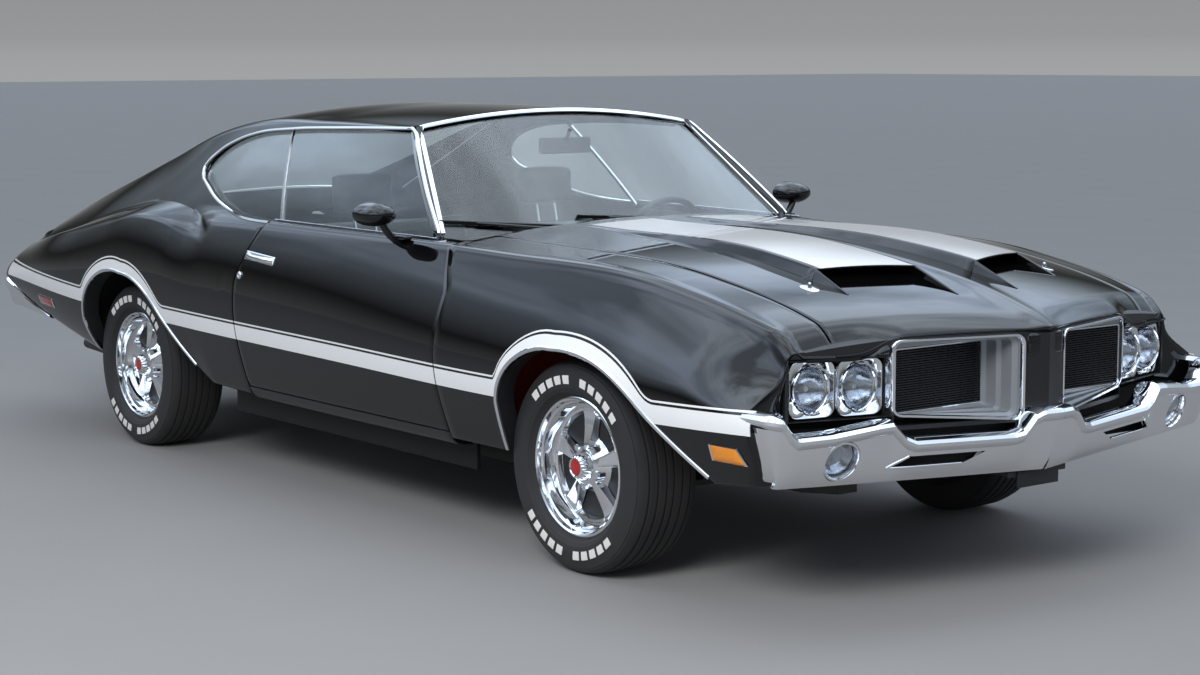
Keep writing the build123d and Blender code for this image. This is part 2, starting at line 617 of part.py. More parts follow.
# Floor pan with firewall, seat riser, boot floor and wheel houses
FLOOR_Z = 292
KICK_Z = 446
BOOT_Z = 326
PAN = 4
TUNNEL_HALF = 150
TUNNEL_TOP = 404
pan_low = [(784, 760), (784, KICK_Z), (642, FLOOR_Z), (-698, FLOOR_Z), (-858, KICK_Z), (-1830, KICK_Z),
           (-1890, BOOT_Z), (TAIL_X + 40, BOOT_Z)]
pan_high = [(x - PAN, z + PAN) for x, z in reversed(pan_low)]
pan_high[0] = (TAIL_X + 40, BOOT_Z + PAN)
pan_high[-1] = (784 - PAN, 760)
PAN_HALF = 560
floor_pan = side_prism(side_face(pan_low + pan_high), -PAN_HALF, PAN_HALF)
SIDE_FLOOR_X = (-700, 640)
SIDE_HALF = 780
FLANGE_RISE = 50
side_floor = block(*SIDE_FLOOR_X, -SIDE_HALF, -PAN_HALF, FLOOR_Z, FLOOR_Z + PAN)
tunnel_out = block(-850, 740, -TUNNEL_HALF, TUNNEL_HALF, FLOOR_Z, TUNNEL_TOP)
tunnel_in = block(-900, 800, -TUNNEL_HALF + PAN, TUNNEL_HALF - PAN, FLOOR_Z - 10, TUNNEL_TOP - PAN)
floor_flange = block(*SIDE_FLOOR_X, -SIDE_HALF, -SIDE_HALF + PAN, FLOOR_Z, FLOOR_Z + FLANGE_RISE)
for piece in both(side_floor) + both(floor_flange):
    floor_pan = floor_pan + piece
floor_pan = floor_pan + tunnel_out - tunnel_in
parts["floor_pan"] = floor_pan

# Chassis frame: two side rails with the cross members
RAIL_Y = (360, 430)
CROSS_HALF = 35
CROSS_HEIGHT = 50
rail_outline = [
    (2430, 380), (1950, 330), (1050, 330), (900, 215), (-850, 215), (-1000, 418), (-1700, 418),
    (-1920, 280), (-2400, 280), (-2400, 220), (-1950, 220), (-1730, 366), (-1030, 366), (-880, 155),
    (930, 155), (1080, 270), (1980, 270), (2430, 320)]
rail = side_prism(side_face(rail_outline), -RAIL_Y[1], -RAIL_Y[0])
frame = rail + mirrored(rail)
# x and z of each cross member
for x, z in ((2300, 320), (1475, 280), (700, 165), (-300, 165), (-1100, 366), (-2300, 225)):
    frame = frame + block(x - CROSS_HALF, x + CROSS_HALF, -RAIL_Y[0], RAIL_Y[0], z, z + CROSS_HEIGHT)
TOWER_TOP = 460
ARM_ROOT_Y = 430
frame = frame + block(
    FRONT_AXLE_X - 75, FRONT_AXLE_X + 75, -ARM_ROOT_Y, ARM_ROOT_Y, LOWER_ARM_Z - ARM_THICK, 290)
for s in (1, -1):
    y_low, y_high = sorted((s * (ARM_ROOT_Y - 60), s * ARM_ROOT_Y))
    frame = frame + block(FRONT_AXLE_X - 75, FRONT_AXLE_X + 75, y_low, y_high, 280, TOWER_TOP)
    frame = frame + (block(2380, 2560, y_low, y_high, 330, 445) - front_bumper)
    for x, z_low, z_high in ((600, 200, FLOOR_Z), (-600, 200, FLOOR_Z), (-2150, 270, BOOT_Z)):
        frame = frame + rod((x, s * 395, z_low), (x, s * 395, z_high), 26)
parts["chassis_frame"] = frame

ENGINE_X = (1080, 1780)
ENGINE_HALF = 260
ENGINE_Z = (330, 800)
parts["engine_block"] = block(*ENGINE_X, -ENGINE_HALF, ENGINE_HALF, *ENGINE_Z)
REAR_DRUM_Y = REAR_TRACK / 2 - 60
STUB_REACH = 20
SPINDLE_RADIUS = HUB_BORE_RADIUS - SPINDLE_GAP
AXLE_TUBE_RADIUS = 36
stub_end = REAR_TRACK / 2 + STUB_REACH
axle_tube = rod((REAR_AXLE_X, -REAR_DRUM_Y, WHEEL_Z), (REAR_AXLE_X, REAR_DRUM_Y, WHEEL_Z), AXLE_TUBE_RADIUS)
axle_tube = axle_tube + rod(
    (REAR_AXLE_X, -stub_end, WHEEL_Z), (REAR_AXLE_X, stub_end, WHEEL_Z), SPINDLE_RADIUS)
carrier_side = [(0, -118), (60, -105), (105, -60), (118, 0), (105, 60), (60, 105), (0, 118)]
carrier = Plane.XZ * make_face(Polyline(carrier_side, close=True))
rear_axle = axle_tube + Pos(REAR_AXLE_X, 0, WHEEL_Z) * Rot(90, 0, 0) * revolve(carrier, Axis.Z)
parts["rear_axle"] = rear_axle
GEARBOX_X = (330, ENGINE_X[0])
GEARBOX_HALF = 110
GEARBOX_Z = (220, 380)
PROPSHAFT_RADIUS = 32
gearbox = block(*GEARBOX_X, -GEARBOX_HALF, GEARBOX_HALF, *GEARBOX_Z)
propshaft = rod((GEARBOX_X[0] + 5, 0, sum(GEARBOX_Z) / 2), (REAR_AXLE_X + 110, 0, WHEEL_Z), PROPSHAFT_RADIUS)
parts["driveline"] = gearbox + propshaft - rear_axle
TANK_X = (-2360, -1940)
TANK_HALF = 340
TANK_Z = (160, 225)
parts["fuel_tank"] = block(*TANK_X, -TANK_HALF, TANK_HALF, *TANK_Z)

# Exhaust: pipe, muffler, tail pipe and hanger on each side
PIPE_RADIUS = 25
MUFFLER_RADIUS = 70
MUFFLER = (-1900, 520, 245)
MUFFLER_LENGTH = 420
muffler_body = Pos(*MUFFLER) * Rot(0, 90, 0) * Cylinder(MUFFLER_RADIUS, MUFFLER_LENGTH)
pipe_path = FilletPolyline(
    (900, 290, 132), (-880, 290, 132), (-1250, 505, 235), (-1740, 520, 245), radius=120)
pipe = sweep(Plane(origin=pipe_path @ 0, z_dir=pipe_path % 0) * Circle(PIPE_RADIUS), path=pipe_path)
TAIL_PIPE = ((-2080, 520, 245), (-2470, 545, 275))
HANGER_X = -2000
HANGER_HALF = 10
tail_pipe = rod(*TAIL_PIPE, PIPE_RADIUS)
hanger = block(
    HANGER_X - HANGER_HALF, HANGER_X + HANGER_HALF,
    MUFFLER[1] - HANGER_HALF, MUFFLER[1] + HANGER_HALF, 300, BOOT_Z)
exhaust = muffler_body + pipe + tail_pipe + hanger
parts["exhaust"] = Compound(both(exhaust))

# Front suspension arms above and below each knuckle
arm_plan = make_face(Polyline(
    (FRONT_AXLE_X - 75, ARM_ROOT_Y), (FRONT_AXLE_X + 75, ARM_ROOT_Y), (FRONT_AXLE_X + 24, KINGPIN_Y + 20),
    (FRONT_AXLE_X - 24, KINGPIN_Y + 20), close=True))
arm_eye = make_face(Polyline(
    (FRONT_AXLE_X - 35, ARM_ROOT_Y + 40), (FRONT_AXLE_X + 35, ARM_ROOT_Y + 40),
    (FRONT_AXLE_X, KINGPIN_Y - 70), close=True))
arm_shapes = []
for z_low in (LOWER_ARM_Z - ARM_THICK, UPPER_ARM_Z):
    arm = plan_prism(arm_plan, z_low, z_low + ARM_THICK)
    arm = arm - plan_prism(arm_eye, z_low - 1, z_low + ARM_THICK + 1)
    arm_shapes += both(arm)
parts["front_arms"] = Compound(arm_shapes)

# Seats, dashboard, steering wheel
seat_floor = FLOOR_Z + PAN + SEAT_GAP
SEAT_Y = (-660, -165)
seat_side = side_face([
    (-170, seat_floor), (200, seat_floor), (250, 400), (235, 470), (-190, 440), (-330, 905),
    (-420, 905), (-330, 400), (-240, 400)])
front_seat = side_prism(seat_side, SEAT_Y[0], SEAT_Y[1])
parts["front_seats"] = Compound(both(front_seat))
rear_seat_side = side_face([
    (-545, 297), (-700, 297), (-861, KICK_Z + PAN + SEAT_GAP), (-1010, KICK_Z + PAN + SEAT_GAP), (-1180, 880),
    (-1090, 900), (-950, 520), (-545, 490)])
rear_seat = side_prism(rear_seat_side, -555, 555) - block(
    -1000, -400, -TUNNEL_HALF - SEAT_GAP, TUNNEL_HALF + SEAT_GAP, 200, TUNNEL_TOP + SEAT_GAP)
parts["rear_seat"] = rear_seat
dash_side = side_face([
    (430, 660), (405, 760), (440, 850), (560, 885), (660, 870), (660, 757), (780, 757), (780, 742),
    (640, 742), (600, 640)])
dashboard = side_prism(dash_side, -545, 545)
parts["dashboard"] = dashboard
WHEEL_HUB = (330, 380, 840)
STEER_TILT = -62
STEER_RADIUS = 185
GRIP_RADIUS = 12
COLUMN_FOOT = (600, WHEEL_HUB[1], 700)
COLUMN_RADIUS = 22
grip = Plane.XZ * Pos(STEER_RADIUS, 0) * RegularPolygon(GRIP_RADIUS, 8)
rim_ring = Pos(*WHEEL_HUB) * Rot(0, STEER_TILT, 0) * revolve(grip, Axis.Z)
spoke = Pos(*WHEEL_HUB) * Rot(0, STEER_TILT, 0) * Box(24, 372, 8)
column = rod((WHEEL_HUB[0] - 6, WHEEL_HUB[1], WHEEL_HUB[2] + 3), COLUMN_FOOT, COLUMN_RADIUS)
steering_wheel = rim_ring + spoke + column - dashboard
parts["steering_wheel"] = max(steering_wheel.solids(), key=lambda solid: solid.volume)


# Wheels
def ring_of_flats(outline, count):
    """Ring round the Y axis from a closed outline of (radius, y) points, in flats that touch those radii."""
    step = math.tau / count
    turns = [step * (i + 0.5) for i in range(count)]
    grow = 1 / math.cos(step / 2)
    corners = [[(r * grow * math.sin(t), y, r * grow * math.cos(t)) for t in turns] for r, y in outline]
    faces = []
    for low, high in zip(corners, corners[1:] + corners[:1]):
        for i in range(count):
            k = (i + 1) % count
            faces.append(Face(Wire.make_polygon([low[i], high[i], high[k], low[k]], close=True)))
    return Solid(Shell(faces))


def tyre_solid():
    """Tyre with its sidewalls and shoulders in straight runs, axle along Y."""
    half = TYRE_WIDTH / 2
    bead = RIM_WIDTH / 2 - FLANGE
    seat = RIM_BARREL_RADIUS + SEAT_RISE
    # radius, half width, from the bead seat out to the tread
    wall = [(seat, bead), (RIM_LIP_RADIUS + 2, bead), (RIM_LIP_RADIUS + 20, half - 8), (255, half),
            (TYRE_RADIUS - 32, half - 5), (TYRE_RADIUS - 9, half - 16), (TYRE_RADIUS, half - 36)]
    return ring_of_flats(wall + [(r, -w) for r, w in reversed(wall)], TYRE_FLATS)


def rim_solid():
    """Rim with its outer face towards +Y, centred on the origin."""
    half = RIM_WIDTH / 2
    barrel = RIM_BARREL_RADIUS
    outline = Polyline(
        (RIM_LIP_RADIUS - 4, -half), (RIM_LIP_RADIUS, -half), (RIM_LIP_RADIUS, -half + FLANGE),
        (barrel + SEAT_RISE, -half + FLANGE), (barrel + SEAT_RISE, half - FLANGE),
        (RIM_LIP_RADIUS, half - FLANGE),
        (RIM_LIP_RADIUS, half), (RIM_LIP_RADIUS - 4, half),
        (barrel, half - 20), (barrel, -half + 20), close=True)
    ring = revolve(Plane.XZ * make_face(outline), Axis.Z)
    disc_z = half - HUB_FACE_DEPTH
    disc = Pos(0, 0, disc_z - 9) * (Cylinder(barrel + 2, 12) - Cylinder(HUB_BORE_RADIUS, 12))
    for i in range(SPOKE_COUNT):
        pocket = Pos(118, 0, disc_z - 9) * Box(76, 52, 40)
        disc = disc - Rot(0, 0, 360 / SPOKE_COUNT * (i + 0.5)) * pocket
    hub = Pos(0, 0, disc_z - 20) * (Cylinder(58, 40) - Cylinder(HUB_BORE_RADIUS, 40))
    return Rot(-90, 0, 0) * (ring + disc + hub)


tyre = tyre_solid()
rim = rim_solid()
# corner name, x, y, turn about Z so that the outer face points away from the car
CORNERS = [
    ("front_left", FRONT_AXLE_X, FRONT_TRACK / 2, 0),
    ("front_right", FRONT_AXLE_X, -FRONT_TRACK / 2, 180),
    ("rear_left", REAR_AXLE_X, REAR_TRACK / 2, 0),
    ("rear_right", REAR_AXLE_X, -REAR_TRACK / 2, 180),
]
for name, x, y, turn in CORNERS:
    place = Pos(x, y, WHEEL_Z) * Rot(0, 0, turn)
    parts["tyre_" + name] = place * tyre
    parts["rim_" + name] = place * rim

# Front knuckles
for name, s in (("left", 1), ("right", -1)):
    upright = rod(
        (FRONT_AXLE_X, KINGPIN_Y, UPRIGHT_Z[0]), (FRONT_AXLE_X, KINGPIN_Y, UPRIGHT_Z[1]), UPRIGHT_RADIUS)
    spindle_end = (FRONT_AXLE_X, FRONT_TRACK / 2 + STUB_REACH, WHEEL_Z)
    spindle = rod((FRONT_AXLE_X, KINGPIN_Y, WHEEL_Z), spindle_end, SPINDLE_RADIUS)
    knuckle = upright + spindle
    parts["knuckle_" + name] = knuckle if s > 0 else mirrored(knuckle)

for name, shape in parts.items():
    shape.label = name
    export_step(shape, f"parts/{name}.step")
    print(name, round(shape.volume), len(shape.solids()))
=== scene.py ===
"""Dressed model of a black two-door hardtop coupe around its packed construction frame.

Units are metres. X is forward, Y is to the car's left, Z is up, and the ground is at Z 0.
"""
import logging
import math
from dataclasses import dataclass
from enum import Enum
from typing import Callable, Sequence

import bpy
import numpy as np
from mathutils import Matrix, Vector


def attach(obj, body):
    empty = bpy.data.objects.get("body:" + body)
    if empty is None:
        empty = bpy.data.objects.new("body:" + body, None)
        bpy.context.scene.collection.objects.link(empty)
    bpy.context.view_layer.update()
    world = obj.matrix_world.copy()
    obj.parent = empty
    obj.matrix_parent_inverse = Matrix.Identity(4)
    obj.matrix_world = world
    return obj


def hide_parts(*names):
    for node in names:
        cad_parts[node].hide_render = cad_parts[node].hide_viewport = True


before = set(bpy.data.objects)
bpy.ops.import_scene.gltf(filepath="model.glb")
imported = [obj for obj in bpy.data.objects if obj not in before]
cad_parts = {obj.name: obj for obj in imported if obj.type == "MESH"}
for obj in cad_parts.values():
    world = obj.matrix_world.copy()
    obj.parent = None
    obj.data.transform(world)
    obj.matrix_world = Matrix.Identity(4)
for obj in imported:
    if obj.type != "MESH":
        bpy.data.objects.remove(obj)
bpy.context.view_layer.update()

LOG = logging.getLogger("coupe")
Points = np.ndarray
Curve = Callable[[np.ndarray], np.ndarray]

# Driving sizes of the car
FRONT_AXLE_X = 1.475
REAR_AXLE_X = -1.370
FRONT_TRACK = 1.516
REAR_TRACK = 1.499
TYRE_RADIUS = 0.320
TYRE_WIDTH = 0.236
RIM_LIP_RADIUS = 0.208
RIM_WIDTH = 0.196
SEAM = 0.00275
NOSE_X = 2.529
NOSE_SWEEP = 0.293
HOOD_HALF = 0.640
COWL_X = 0.769
DECK_HALF = 0.572
DECK_FRONT_X = -1.720
DECK_REAR_X = -2.440
TAIL_X = -2.478
DOOR_BOTTOM_Z = 0.352

# Side-view lines of the door seams, from the sill up
DOOR_FRONT = [(0.868, 0.200), (0.868, 0.790), (0.752, 0.960), (0.752, 1.100)]
DOOR_REAR = [(-0.404, 0.200), (-0.404, 0.742), (-0.367, 0.850), (-0.326, 0.935), (-0.326, 1.100)]

# Lower body, rear to front: x, sill half, sill z, waist half, waist z, shoulder half, shoulder z, crown z
BODY_SECTIONS = np.array([
    (-2.478, 0.842, 0.470, 0.918, 0.595, 0.742, 0.800, 0.836),
    (-2.050, 0.882, 0.415, 0.958, 0.612, 0.790, 0.872, 0.918),
    (-1.500, 0.890, 0.345, 0.970, 0.620, 0.838, 0.925, 0.975),
    (-0.900, 0.886, 0.315, 0.966, 0.615, 0.862, 0.938, 0.990),
    (0.000, 0.884, 0.312, 0.960, 0.600, 0.852, 0.936, 0.990),
    (1.000, 0.884, 0.330, 0.960, 0.585, 0.812, 0.922, 0.978),
    (1.820, 0.886, 0.350, 0.956, 0.575, 0.788, 0.882, 0.935),
    (2.300, 0.880, 0.385, 0.938, 0.565, 0.782, 0.765, 0.850),
    (2.560, 0.850, 0.400, 0.905, 0.560, 0.770, 0.640, 0.765),
])
# Cabin top, rear to front: x, base half, base z, rail half, rail z, crown z
ROOF_SECTIONS = np.array([
    (-2.478, 0.775, 0.715, 0.590, 0.836, 0.846),
    (-2.150, 0.790, 0.760, 0.600, 0.938, 0.948),
    (-1.800, 0.795, 0.835, 0.612, 1.034, 1.047),
    (-1.450, 0.832, 0.845, 0.617, 1.132, 1.157),
    (-1.100, 0.852, 0.845, 0.619, 1.231, 1.270),
    (-0.800, 0.857, 0.845, 0.619, 1.277, 1.331),
    (-0.350, 0.854, 0.845, 0.616, 1.284, 1.343),
    (0.200, 0.836, 0.845, 0.604, 1.277, 1.337),
    (0.720, 0.786, 0.845, 0.590, 1.262, 1.322),
])
# Haunch over the rear wheel: x, height of its outer edge, height of its root, half width of its outer edge
HAUNCH_SECTIONS = np.array([
    (-2.478, 0.715, 0.735, 0.800),
    (-2.060, 0.790, 0.812, 0.868),
    (-1.760, 0.832, 0.888, 0.888),
    (-1.500, 0.873, 0.936, 0.897),
    (-1.258, 0.912, 0.966, 0.899),
    (-1.033, 0.904, 0.958, 0.901),
    (-0.820, 0.866, 0.918, 0.906),
    (-0.675, 0.822, 0.874, 0.916),
])
HAUNCH_TIP_X = -0.675
HAUNCH_BLEND = 0.29


def curve_through(xs: Sequence[float], ys: Sequence[float]) -> Curve:
    """Make a smooth curve through points.

    Args:
        xs: Rising positions.
        ys: The value at each position.

    Returns:
        A function that gives the value at any position, straight past both ends.
    """
    xs, ys = np.asarray(xs, float), np.asarray(ys, float)
    slopes = np.gradient(ys, xs) if len(xs) > 2 else np.full(len(xs), (ys[-1] - ys[0]) / (xs[-1] - xs[0]))

    def evaluate(at: np.ndarray) -> np.ndarray:
        """Return the curve's value at each position.

        Args:
            at: Where the curve is read.

        Returns:
            The value at each place.
        """
        at = np.asarray(at, float)
        inside = np.clip(at, xs[0], xs[-1])
        i = np.clip(np.searchsorted(xs, inside) - 1, 0, len(xs) - 2)
        step = xs[i + 1] - xs[i]
        t = (inside - xs[i]) / step
        cubic = (
            (2 * t**3 - 3 * t**2 + 1) * ys[i] + (t**3 - 2 * t**2 + t) * step * slopes[i]
            + (3 * t**2 - 2 * t**3) * ys[i + 1] + (t**3 - t**2) * step * slopes[i + 1])
        return cubic + np.minimum(at - xs[0], 0) * slopes[0] + np.maximum(at - xs[-1], 0) * slopes[-1]

    return evaluate


def ease(value: np.ndarray, low: float, high: float) -> np.ndarray:
    """Return a smooth step that rises from 0 at low to 1 at high."""
    t = np.clip((np.asarray(value, float) - low) / (high - low), 0, 1)
    return t * t * (3 - 2 * t)


def soft_min(a: np.ndarray, b: np.ndarray, width: np.ndarray) -> np.ndarray:
    """Return the smaller of two values, rounded over a width where they are close."""
    h = np.clip(0.5 + 0.5 * (b - a) / width, 0, 1)
    return b * (1 - h) + a * h - width * h * (1 - h)


def line_x(points: Sequence[tuple[float, float]], z: np.ndarray) -> np.ndarray:
    """Return the x of a rising side-view line at each height."""
    line = np.array(points)
    return np.interp(z, line[:, 1], line[:, 0])


class BodyForm:
    """Outer skin of the lower body and cabin as functions of place."""

    waist_bulge: float = 0.007
    flank_bulge: float = 0.020
    lip_drop: float = 0.028
    lip_out: float = 0.018
    top_in: float = 0.030
    waist_round: float = 0.030
    pillar_bulge: float = 0.016
    cabin_round: float = 0.060
    nose_corner_x: float = 2.030
    nose_corner_reach: float = 0.275
    nose_corner_half: float = 0.786

    def __init__(self) -> None:
        """Fit smooth curves along the car through each column of the section tables."""
        body, roof, haunch = BODY_SECTIONS, ROOF_SECTIONS, HAUNCH_SECTIONS
        names = ("sill", "sill_z", "waist", "waist_z", "shoulder", "shoulder_z", "crown_z")
        self.row = {n: curve_through(body[:, 0], body[:, i + 1]) for i, n in enumerate(names)}
        names = ("base", "base_z", "rail", "rail_z", "crown_z")
        self.cabin = {n: curve_through(roof[:, 0], roof[:, i + 1]) for i, n in enumerate(names)}
        names = ("edge_z", "root_z", "edge_half")
        self.haunch = {n: curve_through(haunch[:, 0], haunch[:, i + 1]) for i, n in enumerate(names)}
        self.brow = curve_through(
            (0.0, 0.10, 0.20, 0.30, 0.40, 0.455, 0.50, 0.55, 0.60, 0.66, 0.80),
            (0.009, 0.0145, 0.018, 0.0193, 0.0193, 0.0200, 0.031, 0.050, 0.054, 0.049, 0.030))

    def brow_drop(self, x: np.ndarray, y: np.ndarray) -> np.ndarray:
        """Return how far the top rolls down at the swept front edge."""
        y = np.abs(y)
        run = np.clip((x - (NOSE_X - NOSE_SWEEP * y - 0.085)) / 0.085, 0, 1.25)
        return self.brow(y) * run**2

    def lip(self, x: np.ndarray) -> tuple[np.ndarray, np.ndarray]:
        """Return half width and height where the flank turns into the shoulder."""
        half = self.row["shoulder"](x) + self.lip_out
        return half, self.row["shoulder_z"](x) - self.lip_drop - self.brow_drop(x, half)

    def side(self, x: np.ndarray, z: np.ndarray, lip: np.ndarray, lip_z: np.ndarray,
             bulge: np.ndarray) -> np.ndarray:
        """Return the half width of a body side that ends at a given lip.

        Args:
            x: Places along the car.
            z: Heights.
            lip: Half width at the lip.
            lip_z: Height of the lip.
            bulge: How far the side swells between the waist and the lip.

        Returns:
            The half widths.
        """
        sill, sill_z = self.row["sill"](x), self.row["sill_z"](x)
        waist, waist_z = self.row["waist"](x), self.row["waist_z"](x)
        low = (z - sill_z) / (waist_z - sill_z)
        high = (z - waist_z) / (lip_z - waist_z)
        under = sill + (waist - sill) * low + 4 * self.waist_bulge * low * (1 - low)
        over = waist + (lip - waist) * high + 4 * bulge * high * (1 - high)
        return soft_min(under, over, self.waist_round)

    def flank(self, x: np.ndarray, z: np.ndarray) -> np.ndarray:
        """Return the half width of the body side."""
        side = self.side(x, z, *self.lip(x), self.flank_bulge)
        run = np.clip((x - self.nose_corner_x) / self.nose_corner_reach, 0, 1) ** 2.4
        return side - run * np.maximum(side - self.nose_corner_half, 0) * ease(z, 0.575, 0.715)

    def top(self, x: np.ndarray, y: np.ndarray) -> np.ndarray:
        """Return the height of the hood, cowl or deck surface."""
        half = self.row["shoulder"](x) - self.top_in
        edge = self.row["shoulder_z"](x) + 0.002
        return edge + (self.row["crown_z"](x) - edge) * (1 - (np.abs(y) / half) ** 2) - self.brow_drop(x, y)

    def shoulder(self, x: float, rows: int) -> Points:
        """Return points from the lip over the shoulder to the top surface.

        Args:
            x: The station.
            rows: How many points to give back.

        Returns:
            The points.
        """
        lip, lip_z = self.lip(x)
        end = self.row["shoulder"](x) - self.top_in
        end_z = self.top(x, end)
        t = np.linspace(0, 1, rows)
        corner = (lip + end) / 2 + 0.010, (lip_z + end_z) / 2 + 0.018
        y = (1 - t) ** 2 * lip + 2 * t * (1 - t) * corner[0] + t**2 * end
        z = (1 - t) ** 2 * lip_z + 2 * t * (1 - t) * corner[1] + t**2 * end_z
        return np.stack([np.full(rows, x), y, z], 1)

    def cabin_side(self, x: np.ndarray, z: np.ndarray) -> np.ndarray:
        """Return the half width of the cabin side and sail."""
        base, base_z, rail, rail_z = (self.cabin[n](x) for n in ("base", "base_z", "rail", "rail_z"))
        t = (z - base_z) / (rail_z - base_z)
        return base + (rail - base) * t + 4 * self.pillar_bulge * t * (1 - t)

    def roof(self, x: np.ndarray, y: np.ndarray) -> np.ndarray:
        """Return the height of the roof panel."""
        rail, rail_z, crown = (self.cabin[n](x) for n in ("rail", "rail_z", "crown_z"))
        return rail_z + (crown - rail_z) * (1 - (np.abs(y) / rail) ** 2)

    def quarter(self, x: np.ndarray, z: np.ndarray) -> np.ndarray:
        """Return the half width of the rear quarter and of the cabin side above it.

        Args:
            x: Places along the body.
            z: Heights.

        Returns:
            The half width at each place.
        """
        x, z = np.broadcast_arrays(np.asarray(x, float), np.asarray(z, float))
        back = ease(-x, -HAUNCH_TIP_X, -HAUNCH_TIP_X + HAUNCH_BLEND)
        cabin = self.cabin_side(x, z)
        lip, lip_z = self.lip(x)
        above = np.maximum(z - lip_z, 0)
        plain = self.side(x, np.minimum(z, lip_z), lip, lip_z, self.flank_bulge) - 40 * above**2 - 0.4 * above
        tucked = cabin - 6.0 * np.maximum(lip_z - z, 0) ** 2
        plain = -soft_min(-plain, -tucked, self.cabin_round)
        edge_z, root_z, edge = (self.haunch[n](x) for n in ("edge_z", "root_z", "edge_half"))
        haunch = self.side(x, np.minimum(z, edge_z), edge, edge_z, self.flank_bulge)
        root = self.cabin_side(x, root_z)
        across = np.clip((z - edge_z) / np.maximum(root_z - edge_z, 1e-4), 0, 1)
        rear = np.where(z <= edge_z, haunch, np.where(z <= root_z, edge + (root - edge) * across**1.3, cabin))
        return plain * (1 - back) + rear * back


BODY = BodyForm()


def nose_x(y: np.ndarray, setback: float = 0.0) -> np.ndarray:
    """Return the x of the swept front face at a half width."""
    return NOSE_X - NOSE_SWEEP * np.abs(y) - setback


def arc(start: tuple[float, float], middle: tuple[float, float], end: tuple[float, float],
        count: int) -> Points:
    """Return points on the arc through three side-view points, without its last one.

    Args:
        start: First x and z.
        middle: A point that the arc passes.
        end: Last x and z.
        count: How many points to give back.

    Returns:
        The points, without the last.
    """
    a, b, c = (complex(*p) for p in (start, middle, end))
    w = (c - a) / (b - a)
    centre = (b - a) * (w - abs(w) ** 2) / (2j * w.imag) + a
    angles = np.unwrap(np.angle(np.array([a, b, c]) - centre))
    turn = np.interp(np.arange(count) / count, (0, 1), (angles[0], angles[2]))
    ring = centre + abs(a - centre) * np.exp(1j * turn)
    return np.stack([ring.real, ring.imag], 1)


def straight(start: Sequence[float], end: Sequence[float], count: int) -> Points:
    """Return points on a straight run, without its last one."""
    return np.linspace(start, end, count, endpoint=False)


def spaced(points: Points, count: int) -> Points:
    """Return the same line with its points evenly spaced.

    Args:
        points: The line.
        count: How many points to give back.

    Returns:
        The spaced points.
    """
    points = np.asarray(points, float)
    run = np.concatenate([[0], np.cumsum(np.linalg.norm(np.diff(points, axis=0), axis=1))])
    at = np.linspace(0, run[-1], count)
    return np.stack([np.interp(at, run, points[:, i]) for i in range(points.shape[1])], 1)


def smooth_line(points: Sequence[Sequence[float]], count: int) -> Points:
    """Return a smooth, evenly spaced line through a few points.

    Args:
        points: A few points of the line.
        count: How many points to give back.

    Returns:
        The spaced points of the smooth line.
    """
    points = np.asarray(points, float)
    run = np.concatenate([[0], np.cumsum(np.linalg.norm(np.diff(points, axis=0), axis=1))])
    fine = np.linspace(0, run[-1], 12 * len(points))
    dense = np.stack([curve_through(run, points[:, i])(fine) for i in range(points.shape[1])], 1)
    return spaced(dense, count)


def draped(start: Sequence[float], end: Sequence[float], rows: int,
           skin: Callable[..., np.ndarray]) -> Points:
    """Lay a straight side-view run on a skin.

    Args:
        start: First x and z.
        end: Last x and z.
        rows: How many points to give back.
        skin: Half width from x and z.

    Returns:
        Evenly spaced points with x, half width and z.
    """
    line = np.linspace(start, end, 60)
    return spaced(np.stack([line[:, 0], skin(line[:, 0], line[:, 1]), line[:, 1]], 1), rows)


def stacked(*runs: Points) -> Points:
    """Join runs of points end to end, each shared point once."""
    return np.concatenate([runs[0]] + [run[1:] for run in runs[1:]])


